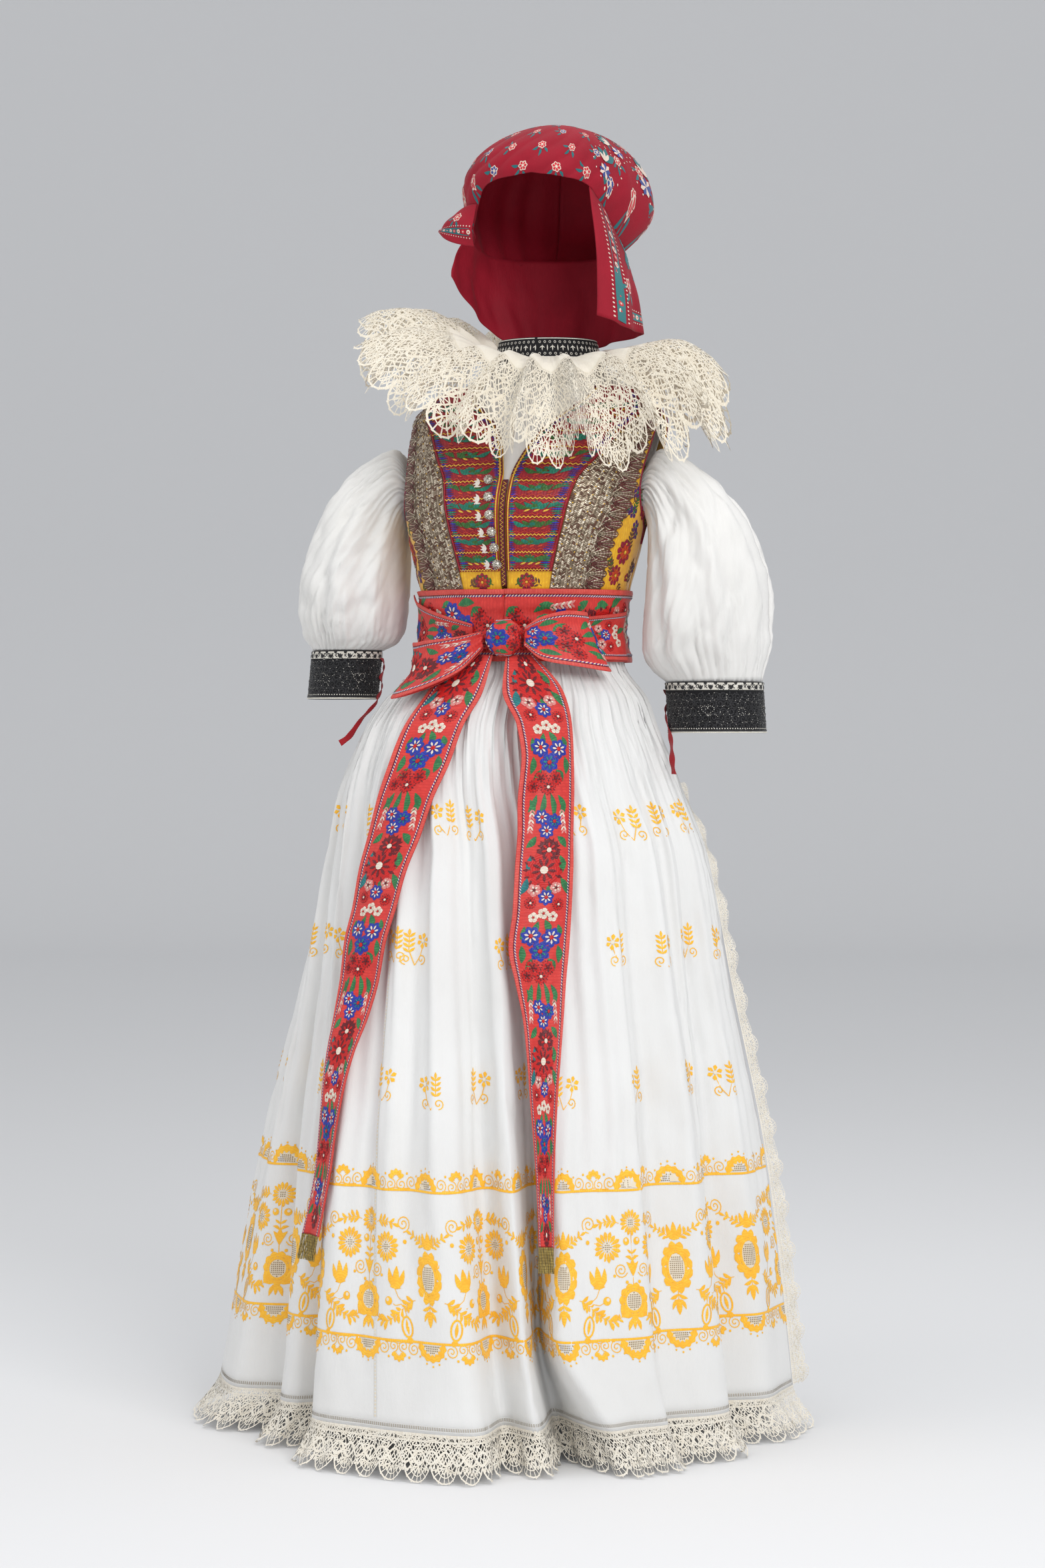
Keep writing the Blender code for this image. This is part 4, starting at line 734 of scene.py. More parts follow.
# the turn, length and width of a tulip's petals: full, small under the round flower, and hanging
fullTulip = ((0, 1.12, .39), (24, 1.064, .338), (-24, 1.064, .338))
lowTulip = ((0, .896, .338), (30, 1.12, .39), (-30, 1.12, .39))
hangingTulip = ((0, 1.12, .442), (34, .896, .286), (-34, .896, .286))


def tulip(work, x, y, angle, size, petals=fullTulip):
    for turn, long, wide in petals:
        work.petal(x, y, angle + turn, size * long, size * wide, thread, tip=0.45, bend=0.10 * np.sign(turn))
    for side in (-1, 1):
        work.petal(x, y, angle + side * 74, size * 0.34, size * 0.16, thread, bend=-0.2 * side)


def garland(work, path, leaf):
    # a stem with leaves set in pairs that lean along it
    gap = 0.0062
    path = np.array(path, float)
    t = np.linspace(0, 1, 24)
    knots = np.linspace(0, 1, len(path))
    bends = min(3, len(path) - 1)
    smooth = np.column_stack([np.polyval(np.polyfit(knots, path[:, k], bends), t) for k in (0, 1)])
    work.strip(smooth, 0.0008, thread, 0.0004)
    lengths = lengthsAlong(smooth)
    for n, place in enumerate(np.arange(gap * 0.6, lengths[-1], gap)):
        x, y = (np.interp(place, lengths, smooth[:, k]) for k in (0, 1))
        ahead = [np.interp(min(place + 0.002, lengths[-1]), lengths, smooth[:, k]) for k in (0, 1)]
        along = degrees(atan2(ahead[1] - y, ahead[0] - x)) if place + 0.002 <= lengths[-1] else along
        size = leaf * (0.85 + 0.25 * sin(n * 1.9 + 0.6))
        for side in (-1, 1):
            work.petal(x, y, along + side * 48, size, size * 0.42, thread, tip=0.62, bend=-0.12 * side)
    work.petal(*smooth[-1], along, leaf, leaf * 0.42, thread, tip=0.6)


def pomegranate(work, x, y, angle, size):
    t = np.linspace(0, 2 * pi, 15)
    turn = radians(angle)
    ax, ay = cos(turn), sin(turn)
    along, across = 0.5 * size * np.cos(t), 0.30 * size * np.sin(t)
    ring = np.column_stack([x + along * ax - across * ay, y + along * ay + across * ax])
    work.strip(ring, size * 0.10, thread, 0.0004, 0.0002, 3)
    work.petal(x - 0.36 * size * ax, y - 0.36 * size * ay, angle, size * 0.72, size * 0.20, thread)
    for side in (-1, 0, 1):
        work.petal(x + 0.48 * size * ax, y + 0.48 * size * ay, angle + side * 38, size * 0.32, size * 0.13,
                   thread)


def circleFlower(work, x, y, r, angle=0):
    work.disc(x, y, r, thread, sides=10)
    work.disc(x + r * 0.25 * cos(radians(angle)), y + r * 0.3, r * 0.42, net, lift=0.0009, crown=0.0001,
              sides=8)


def halfFlower(work, x, y, r, up, petals=7, openCentre=True):
    root, long, wide = (0.55, 0.5, 0.52) if openCentre else (0.25, 0.75, 0.50)
    for n in range(petals):
        a = up * 180 * (n + 0.5) / petals
        work.petal(*turnedFrom(x, y, a, r * root), a, r * long, r * wide, thread, tip=0.6)
    if openCentre:
        openwork(work, x, y + up * 0.0005, r * 0.62, r * 0.58, up)


def border(work, x, line, up):
    # one repeat of a border: openwork half flowers on the line, and scrolls with dots between them
    for offset, r in ((0.0, 0.0211), (0.0955, 0.0192)):
        halfFlower(work, x + offset, line + up * 0.002, r, up)
        for side in (-1, 0, 1):
            work.disc(x + offset + side * 0.0085, line + up * (0.0262 - abs(side) * 0.003), 0.0013, thread,
                      sides=7)
    for centre in (0.0478, -0.0478):
        cx = x + centre
        halfFlower(work, cx, line + up * 0.0135, 0.0109, up, 5, False)
        for side in (-1, 1):
            work.spiral(cx + side * 0.0070, line + up * 0.0062, 0.0055, 90 * up, 1.6, 0.00115, thread,
                        side * up)
            work.spiral(cx + side * 0.0215, line + up * 0.0085, 0.0065, -90 * up, 1.7, 0.00115, thread,
                        -side * up)
            work.disc(cx + side * 0.0145, line + up * 0.0185, 0.0016, thread, sides=7)
            work.disc(cx + side * 0.0300, line + up * 0.0160, 0.0013, thread, sides=7)
            work.strip([(cx, line + up * 0.003), (cx + side * 0.008, line + up * 0.0015),
                        (cx + side * 0.020, line + up * 0.0022)], 0.0009, thread)


def mainRepeat(work, x):
    # the tree of flowers on its own line, and the large oval flower half way to the next one
    daisy(work, x, 0.288, 0.0154)
    roundFlower(work, x, 0.1975, 0.0197, 0.0211)
    tulip(work, x, 0.1785, -90, 0.0150, lowTulip)
    work.strip([(x, 0.275), (x, 0.255), (x, 0.216)], 0.0010, thread)
    work.petal(x, 0.2265, 90, 0.0200, 0.0085, thread, tip=0.4)
    oval = x + 0.0955
    roundFlower(work, oval, 0.2270, 0.0191, 0.0308, 12)
    tulip(work, oval, 0.2590, 90, 0.0190)
    work.strip([(oval, 0.200), (oval, 0.188)], 0.0010, thread)
    tulip(work, oval, 0.1900, -90, 0.0165, hangingTulip)
    for side in (-1, 1):
        circleFlower(work, x + side * 0.0075, 0.2665, 0.0046, 90 - 40 * side)
        work.petal(x, 0.2440, 90 - side * 62, 0.0110, 0.0040, thread, bend=0.15 * side)
        work.petal(x, 0.2280, 90 - side * 30, 0.0170, 0.0062, thread, tip=0.45, bend=0.12 * side)
        work.petal(x, 0.2520, 90 - side * 55, 0.0085, 0.0032, thread)
        work.spiral(x + side * 0.0160, 0.2335, 0.0072, 200 if side > 0 else -20, 1.9, 0.00122, thread, side)
        work.disc(x + side * 0.0085, 0.2195, 0.0021, thread, sides=8)
        work.disc(x + side * 0.0245, 0.2270, 0.0019, thread, sides=8)
        daisy(work, x + side * 0.0330, 0.2600, 0.01815)
        garland(work, [(x + side * 0.0165, 0.2875), (x + side * 0.030, 0.2895), (x + side * 0.043, 0.2865)],
                0.0102)
        work.spiral(x + side * 0.0570, 0.2865, 0.0080, 270, 1.9, 0.00135, thread, side)
        work.disc(x + side * 0.0590, 0.2660, 0.0027, thread, sides=8)
        tulip(work, x + side * 0.0450, 0.2120, 90 - 6 * side, 0.0235)
        work.strip([(x + side * 0.045, 0.212), (x + side * 0.049, 0.203), (x + side * 0.057, 0.197)], 0.0009,
                   thread)
        circleFlower(work, x + side * 0.0355, 0.1985, 0.0052, 90 + 60 * side)
        work.strip([(x + side * 0.0355, 0.1985), (x + side * 0.045, 0.1935), (x + side * 0.054, 0.1955)],
                   0.0009, thread)
        garland(work, [(x + side * 0.074, 0.2005), (x + side * 0.056, 0.1905), (x + side * 0.036, 0.1765),
                       (x + side * 0.0155, 0.1815)], 0.0115)
        pomegranate(work, x + side * 0.0610, 0.1700, -90 + 12 * side, 0.0235)
        work.strip([(x + side * 0.0600, 0.1820), (x + side * 0.0575, 0.1900)], 0.0009, thread)
        garland(work, [(oval + side * 0.003, 0.2600), (oval + side * 0.015, 0.2690),
                       (oval + side * 0.026, 0.2745)], 0.0092)
        work.petal(oval, 0.1960, -90 + side * 62, 0.0120, 0.0046, thread, bend=-0.1 * side)


def sprig(work, x, y, flip):
    # a flower with a small branch beside it and two curls
    fx = x - flip * 0.007
    for n in range(6):
        a = 60 * n + 20
        work.petal(*turnedFrom(fx, y, a, 0.002), a, 0.0052, 0.0040, thread, tip=0.65, steps=3)
    work.disc(fx, y, 0.0018, net, lift=0.0009, crown=0.0002, sides=7)
    bx = x + flip * 0.007
    work.strip([(fx, y - 0.005), (fx + flip * 0.003, y - 0.014), (x + flip * 0.002, y - 0.022)], 0.0008,
               thread)
    work.strip([(bx, y + 0.006), (bx, y - 0.008), (x + flip * 0.002, y - 0.022)], 0.0008, thread)
    for n in range(4):
        for side in (-1, 1):
            work.petal(bx, y - 0.010 + n * 0.0045, 90 - side * 52, 0.0062, 0.0026, thread, steps=3)
    work.petal(bx, y + 0.005, 90, 0.0060, 0.0026, thread, steps=3)
    for side in (-1, 1):
        work.spiral(x + flip * 0.002 + side * 0.0075, y - 0.0165, 0.0036, -90, 1.3, 0.00095, thread, side)


def makeEmbroidery():
    work = Needlework()
    us = apronCloth.us
    first = apronWork["axisAt"] - apronWork["repeat"] * ceil((apronWork["axisAt"]
                                                              - us[0]) / apronWork["repeat"])
    for n in range(12):
        x = first + apronWork["repeat"] * n
        if x > us[-1] + 0.1:
            break
        border(work, x, apronWork["upperLine"], 1)
        border(work, x, apronWork["lowerLine"], -1)
        mainRepeat(work, x)
    for line in (apronWork["upperLine"], apronWork["lowerLine"]):
        x = np.arange(us[0] + 0.001, us[-1] - 0.001, 0.004)
        work.strip(pathOf(x, line), apronWork["lineWidth"], thread, 0.0004, 0.0003, 3)
    for row, (height, places) in enumerate(apronWork["sprigs"]):
        for n, x in enumerate(places):
            y = height + 0.004 * sin(n * 2.1 + row)
            work.middle, work.wide, work.size = np.array([x,
                                                          y]), apronWork["sprigWide"][row], apronWork["sprigSize"]
            sprig(work, x, y, 1 if (n + row) % 2 else -1)
            work.wide = 1.0
    # what would lie past the cloth's side edges is left off
    kept = Needlework()
    points, uvs = np.concatenate(work.points), np.concatenate(work.uvs)
    fits = (points[:, 0] > us[0] + 0.0005) & (points[:, 0] < us[-1] - 0.0005)
    whole = [(f, k) for f, k in zip(work.faces, work.kinds) if all(fits[i] for i in f)]
    kept.points, kept.uvs = [points], [uvs]
    kept.faces, kept.kinds = [f for f, _ in whole], [k for _, k in whole]
    hold(kept.sew("apron_embroidery", apronCloth, [yellowThread, openNet, netHoleShade]), "linen")


def gapAt(work, x, y, wide, tall, narrow=1.0):
    # one small gap of drawn threads, narrower at its top
    work.add([(x - wide, y - tall), (x + wide, y - tall), (x + wide * narrow, y + tall),
              (x - wide * narrow, y + tall)],
             0.00025, [(0, 1, 2, 3)], 0)


def makeHemstitch(name, cloth):
    # drawn-thread ladder above the hem: small dark gaps between bundled threads
    work = Needlework()
    first, last, height = cloth.us[0], cloth.us[-1], apronWork["hemstitch"]
    for x in np.arange(first + 0.002, last - 0.002, apronWork["stitchPitch"]):
        gapAt(work, x, height, 0.00085, 0.0018, 0.8)
    for side in (-1, 1):
        work.strip(pathOf(np.arange(first + 0.001, last - 0.001, 0.006), height + side * 0.0024), 0.0007, 1,
                   0.0003)
    hold(work.sew(name, cloth, [stitchDark, hemCloth]), "linen")


def makeSeam():
    # the faggoted join between two widths of the apron
    work = Needlework()
    for y in np.arange(0.066, 0.88, 0.0042):
        gapAt(work, apronWork["seamAt"], y, 0.0011, 0.0012)
    for side in (-1, 1):
        work.strip(pathOf(apronWork["seamAt"] + side * 0.0020, np.arange(0.064, 0.88, 0.01)), 0.0006, 1,
                   0.0003)
    hold(work.sew("apron_seam", apronCloth, [openNet, hemCloth]), "linen")


makeEmbroidery()
makeHemstitch("apron_hemstitch", apronCloth)
makeHemstitch("skirt_hemstitch", backCloth)
makeSeam()
say("embroidery, hemstitch and seam")


# bobbin lace

def laceWork(length, depth, repeat, pitch=0.00399, seed=5):
    # flat lace hanging from 0 down to -depth: footing with a zigzag, open net, winding tapes and fans at the edge
    work = Needlework()
    footing = 0.0065
    count = max(2, round(length / repeat))
    repeat = length / count
    x = np.arange(0, length + 0.002, 0.004).clip(0, length)
    for y, wide in ((-0.0010, 0.0030), (-footing, 0.0016)):
        work.strip(pathOf(x, y), wide, 0, 0.0)
    zig = np.arange(0, length, 0.0021)
    work.strip(pathOf(zig, np.where(np.arange(len(zig)) % 2, -0.0010, -footing + 0.0002)), 0.0010, 0, 0.0002)
    top = -footing
    work.net(length, -0.001, -depth * 0.80, pitch, 0.0011, seed)
    mid = top + 0.40 * (-depth - top)
    swing = 0.1364 * depth
    u = np.linspace(0, length, count * 14 + 1)
    for phase in (0, pi):
        work.strip(pathOf(u, mid + swing * np.cos(2 * pi * u / repeat + phase)), 0.0019, 0, 0.0004, 0.0002, 3)
    for n in range(count):
        centre = (n + 0.5) * repeat
        base = -depth + 0.34 * depth
        for k, r in enumerate((0.33, 0.20)):
            t = np.linspace(pi * 1.02, 2 * pi * 0.99, 10)
            fan = pathOf(centre + repeat * 0.47 * (1 - 0.42 * k) * np.cos(t), base + depth * r * np.sin(t))
            work.strip(fan, (0.0013, 0.0008)[k], 0, 0.0004)
        for k in range(7):
            a = radians(200 + k * 140 / 6)
            tip = (centre + repeat * 0.46 * cos(a), base + depth * 0.33 * sin(a))
            work.strip([(centre + repeat * 0.10 * cos(a), base + depth * 0.04 * sin(a)), tip], 0.0008, 0,
                       0.0003)
            work.disc(tip[0], tip[1] - 0.0008, 0.0007, 0, lift=0.0003, crown=0.0, sides=5)
    return work


def laceCloth(name, cloth, work, *nodes):
    hold(work.sew(name, cloth, [laceThread]), "lace", *nodes)


def flareOut(points, spread):
    # hem lace spreads on the floor: the lower a row lies, the further out it goes
    top = points[-1, :, 2][None, :]
    fallen = np.clip((top - points[..., 2]) / top, 0, 1) ** 1.5
    out = unit(points * np.array([1, 1, 0]))
    return points + out * (fallen * spread)[..., None]


def makeHemLace():
    edge = (skirtSizes["sideLace"] + 0.0004) / hemLength
    depth, back = skirtSizes["laceDepth"], skirtSizes["backLength"]
    heights = np.linspace(0.0015, skirtSizes["laceTop"], 12)
    shares = np.linspace(edge, 1 - edge, 620)
    points = flareOut(apronAt(shares, heights), skirtSizes["apronFlare"])
    length = (1 - 2 * edge) * hemLength
    low = np.clip(1 - heights[:, None] / 0.05, 0, 1) ** 1.2
    ripple = 0.004 * np.sin(2 * pi * shares * hemLength / 0.031 + 2 * wander(shares * 20, 3.0)) * low
    points = movedOut(points, ripple)
    points[..., 2] = np.maximum(points[..., 2], 0.0006)
    lace = Cloth(points, shares * hemLength - edge * hemLength, np.linspace(-depth, 0, 12))
    laceCloth("apron_hem_lace", lace, laceWork(length, depth, 0.030), "apron_hem_lace_left",
              "apron_hem_lace_right")
    shares = np.linspace(0, 1, 420)
    points = flareOut(backAt(shares, heights), skirtSizes["skirtFlare"])
    points[..., 2] = np.maximum(points[..., 2], 0.0006)
    lace = Cloth(points, shares * back, np.linspace(-depth, 0, 12))
    laceCloth("skirt_hem_lace", lace, laceWork(back, depth, 0.030, seed=6), "skirt_hem_lace_left",
              "skirt_hem_lace_right")


def makeSideLace():
    # the lace down each side of the apron, its scallops turned outwards
    side = skirtSizes["sideLace"] / hemLength
    for name, edges in (("right", (0.0, side)), ("left", (1 - side, 1.0))):
        heights = np.linspace(0.0505, 0.795, 200)
        shares = np.linspace(*edges, 9)
        points = hang(mix(*skirtSizes["waistSpan"], shares), hemAt(shares), heights, 0.5 + 0 * shares,
                      ease(9 * shares) * ease(9 - 9 * shares))[0]
        away = np.linspace(0, 1, 9) if name == "left" else np.linspace(1, 0, 9)
        out = unit(points * np.array([1, 1, 0]))
        points = points + out * (away[None, :] * 0.009 * ease(3 - 3 * heights[:, None] / 0.85))[..., None]
        wave = 0.0035 * np.sin(heights[:, None] * 2 * pi / 0.052 + wander(heights[:, None] * 9,
                                                                          2.0)) * away[None, :]
        points = movedOut(points, wave)
        # laid with its length up the skirt: the flat lace's length runs along v and its depth along u
        turned = points.transpose(1, 0, 2)
        turned = turned if name == "right" else turned[::-1, ::-1]
        lace = Cloth(turned, np.linspace(0, 0.75, 200), np.linspace(-0.030, 0, 9))
        drawing = laceWork(0.75, 0.030, 0.026, 0.00342, 7)
        laceCloth(f"apron_edge_lace_{name}", lace, drawing, f"apron_side_lace_{name}")


makeHemLace()
makeSideLace()
say("hem and side lace")


# the ruff

ruffSteps = tableOf((  # share outwards: reach, height at the front, sides and back, swing of the folds
    (0.00, 0.0030, 1.3200, 1.3200, 1.3200, 0.000), (0.22, 0.0350, 1.3200, 1.3360, 1.3330, 0.006),
    (0.50, 0.0850, 1.2880, 1.3420, 1.3230, 0.018), (0.78, 0.1260, 1.2500, 1.3240, 1.3000, 0.026),
    (1.00, 0.1540, 1.2170, 1.2960, 1.2660, 0.031)))
ruffSizes = {"waves": 17, "tilt": 0.050, "sideSwing": 0.5, "columns": 442, "rows": 40, "flatLength": 2.75,
             "flatDepth": 0.176, "plain": 0.058, "repeat": 0.030, "neckHeight": 1.3175, "pitch": 0.0056,
             "thread": 0.0014}


def ruffAt(angles, shares):
    turn = np.radians(angles)[None, :]
    share = np.asarray(shares, float)[:, None]
    out = np.stack([np.sin(turn), -np.cos(turn), 0 * turn], -1)
    beside = np.stack([np.cos(turn), np.sin(turn), 0 * turn], -1)
    front, behind = np.maximum(0, np.cos(turn)) ** 1.3, np.maximum(0, -np.cos(turn)) ** 1.3
    reach, atFront, middle, atBack, swing = (curve(share) for curve in ruffSteps)
    height = middle + front * (atFront - middle) + behind * (atBack - middle)
    height = height - ruffSizes["tilt"] * share * np.sin(turn + radians(25))
    reach = reach * (1 + np.where(np.asarray(angles)[None, :] < 0, 0.12, 0.06) * np.sin(turn) ** 2)
    wave = ruffSizes["waves"] * turn + 0.9 * np.sin(3 * turn) + 0.5 * np.sin(5 * turn + 1.0)
    rise = swing * np.sin(wave) * (1 + ruffSizes["sideSwing"] * np.sin(turn) ** 2)
    # small pleats where it is gathered into the band, and uneven flutes towards the edge
    count = 96
    pleats = 0.0016 * np.sin(count * turn
                             + 1.5 * np.sin(7 * turn)) * ease(share / 0.08) * (1 - ease(share / 0.5))
    flutes = 0.0042 * share ** 1.5 * np.sin(3 * wave
                                            + 1.7 * np.sin(2 * turn)) + 0.0030 * share * wander(turn * 19
                                                                                                + share * 3,
                                                                                                2.0)
    rise = rise + pleats + flutes
    steep = front * share
    point = ringPoint(figureRings, np.asarray(angles)[None, :], ruffSizes["neckHeight"] + 0 * turn)
    point = point + out * (reach + rise * 0.85 * steep)[..., None]
    point = point + beside * (0.0130 * share ** 1.4 * np.cos(wave + 0.5))[..., None]
    point[..., 2] = height + rise * (1 - 0.45 * steep)
    return point


def ruffLace():
    # a dense uneven net, winding tapes, and fans at the scalloped edge
    work = Needlework()
    length, top, bottom = ruffSizes["flatLength"], -ruffSizes["plain"] + 0.002, -ruffSizes["flatDepth"]
    count = round(length / ruffSizes["repeat"])
    repeat = length / count
    x = np.arange(0, length + 0.002, 0.008).clip(0, length)
    work.strip(pathOf(x, top), 0.0016, 0, 0.0002)
    work.net(length, top, bottom * 0.93, ruffSizes["pitch"], ruffSizes["thread"], 21)
    u = np.linspace(0, length, count * 12 + 1)
    for middle, sway, phase, wide in ((0.42, 0.011, 0.0, 0.0030), (0.50, 0.012, pi, 0.0026),
                                      (0.20, 0.006, 1.0, 0.0020)):
        path = np.column_stack([u, mix(top, bottom,
                                       middle) + sway * np.cos(2 * pi * u / repeat + phase + np.sin(u * 9))])
        work.strip(path, wide, 0, 0.0004, 0.0003, 3)
    for n in range(count):
        cx, base = (n + 0.5) * repeat, mix(top, bottom, 0.76)
        for k in range(2):
            t = np.linspace(pi * 0.98, 2 * pi * 1.02, 10)
            path = np.column_stack([cx + repeat * (0.49 - 0.2 * k) * np.cos(t),
                                    base + (base - bottom) * (0.96 - 0.36 * k) * np.sin(t)])
            work.strip(path, (0.0022, 0.0014)[k], 0, 0.0003, 0.0003, 3 - k)
        for k in range(8):
            a = radians(186 + k * 168 / 7)
            rim = (cx + repeat * 0.48 * cos(a), base + (base - bottom) * 0.95 * sin(a))
            work.strip([(cx + repeat * 0.1 * cos(a), base + (base - bottom) * 0.2 * sin(a)), rim], 0.0009, 0,
                       0.0002)
            work.disc(rim[0], rim[1] - 0.0012, 0.0012, 0, lift=0.0003, crown=0.0, sides=6)
    return work


def makeRuff():
    angles = np.linspace(-90, 270, ruffSizes["columns"] + 1)
    shares = np.linspace(1, 0, ruffSizes["rows"])
    points = ruffAt(angles, shares)
    flat = np.linspace(0, ruffSizes["flatLength"], len(angles))
    cloth = Cloth(points, flat, -shares * ruffSizes["flatDepth"])
    cloth.normals[:, 0] = cloth.normals[:, -1] = unit(cloth.normals[:, 0] + cloth.normals[:, -1])
    keep = int(round(ruffSizes["plain"] / ruffSizes["flatDepth"] * (ruffSizes["rows"] - 1))) + 1
    plain = Cloth(points[-keep:], flat, cloth.vs[-keep:])
    hold(clothObject("ruff_pleated_cloth", plain, ruffCloth, 0.0005), "lace")
    lace = ruffLace().sew("ruff_lace", cloth, [ruffThread])
    hold(lace, "lace", "ruff_front", "ruff_back")


ruffCloth = wovenMaterial("ruff_cloth", (0.86, 0.82, 0.72), (0.79, 0.73, 0.62), 700.0, crease=0.15)
makeRuff()
say("ruff")


# sleeves, cuffs and ties

# rings down each sleeve: outer x and height, inner x and height, half depth
sleeveRings = {
    "right": ((0.1400, 1.178, 0.1260, 1.134, 0.030), (0.1662, 1.213, 0.1442, 1.126, 0.046),
              (0.209, 1.189, 0.150, 1.101, 0.062), (0.243, 1.152, 0.151, 1.074, 0.078),
              (0.266, 1.106, 0.1525, 1.045, 0.088), (0.282, 1.056, 0.154, 1.013, 0.090),
              (0.287, 1.008, 0.157, 0.986, 0.082),
              (0.281, 0.976, 0.166, 0.969, 0.066), (0.273, 0.9592, 0.184, 0.9592, 0.049)),
    "left": ((0.1520, 1.174, 0.1380, 1.128, 0.030), (0.1787, 1.208, 0.1557, 1.120, 0.046),
             (0.222, 1.180, 0.161, 1.092, 0.064), (0.259, 1.146, 0.1605, 1.062, 0.082),
             (0.285, 1.106, 0.159, 1.026, 0.094), (0.304, 1.058, 0.155, 0.988, 0.098),
             (0.312, 1.008, 0.154, 0.957, 0.093),
             (0.310, 0.963, 0.164, 0.934, 0.077), (0.301, 0.9187, 0.181, 0.9187, 0.054))}
cuffSizes = {  # side, centre x, half width, half depth, top, bottom, lean
    "right": (-1, 0.2285, 0.0445, 0.0490, 0.9585, 0.8985, 0.006),
    "left": (1, 0.2410, 0.0600, 0.0540, 0.9180, 0.8560, 0.004)}
cuffOpening = (4.0, 34.0)


def makeSleeve(word):
    side = cuffSizes[word][0]
    rings = [(n - 1,) + ring for n, ring in enumerate(sleeveRings[word])]
    curves = tableOf(rings)
    s = np.linspace(7, -1, 52)[:, None]
    outerX, outerZ, innerX, innerZ, halfDepth = (curve(s) for curve in curves)
    t = np.linspace(0, 2 * pi, 169)[None, :]
    centre = np.concatenate([side * (outerX + innerX) / 2, 0 * s, (outerZ + innerZ) / 2], 1)[:, None, :]
    across = np.concatenate([side * (outerX - innerX) / 2, 0 * s, (outerZ - innerZ) / 2], 1)[:, None, :]
    front = np.array([0, -1.0, 0]) * halfDepth[:, :, None]
    radius = np.linalg.norm(across, axis=-1, keepdims=True)[..., 0]
    # gathers at the cuff and the armhole, long uneven creases between them, soft billows
    seed = 3.0 if side > 0 else 8.0
    low, high = ease((s - 3.2) / 3.8), ease((2.6 - s) / 2.6)
    drift = 0.35 * wander(s * 1.3, seed) + 0.15 * np.sin(s * 1.7 + seed)
    pleat = 1 - np.abs(np.sin(21 * t + 1.8 * wander(t * 3, seed + 1) + drift))
    pleatHigh = 1 - np.abs(np.sin(17 * t + 1.9 * wander(t * 3, seed + 2) + drift))
    folds = np.sin(9 * t + 2.0 * wander(t * 2, seed + 3) + 2.2 * drift)
    cut = ease(0.5 + 0.7 * wander(t * 5 + s * 0.9, seed + 4))
    endless = 1 - 0.75 * ease(s - 6.2)
    move = -0.0075 * low * endless * pleat * (0.35 + 0.65 * cut) - 0.0055 * high * pleatHigh * (0.3
                                                                                                + 0.7 * cut)
    move = move + 0.0040 * folds * ease(s / 1.5) * ease((7 - s) / 1.2) - 0.0012 * (1 + wander(t * 31 + s * 6,
                                                                                              seed + 5))
    slant = np.sin(2 * pi * (s * 0.55 + t * 0.9 + 0.25 * wander(t * 4, seed + 6)))
    move = move - 0.0022 * ease(slant * 2 - 1) * ease(s / 1.5) * ease((6.5 - s) / 1.5)
    move = mix(move, move[:, :1], ease((t - 2 * pi + 0.5) / 0.5))  # the seam closes
    clear = 1 + move / radius * np.where(np.cos(t) < -0.7, 0.4, 1.0)
    points = centre + (across * np.cos(t)[..., None] + front * np.sin(t)[..., None] * -side) * clear[...,
                                                                                                     None]
    cloth = Cloth(points, t[0] * 0.075, np.linspace(0, 0.30, 52))
    piece = clothObject(f"sleeve_{word}_cloth", cloth, sleeveCloth, 0.0006)
    hold(piece, "linen", f"sleeve_{word}")


def cuffPoint(word, angle, height, out=0.0):
    side, centreX, halfWidth, halfDepth, top, bottom, lean = cuffSizes[word]
    turn = np.radians(angle)
    x = centreX + lean * (top - height) / (top - bottom) - (halfWidth + out) * np.cos(turn)
    return np.stack([side * x, (halfDepth + out) * np.sin(turn) + 0 * x, height + 0 * x], -1)


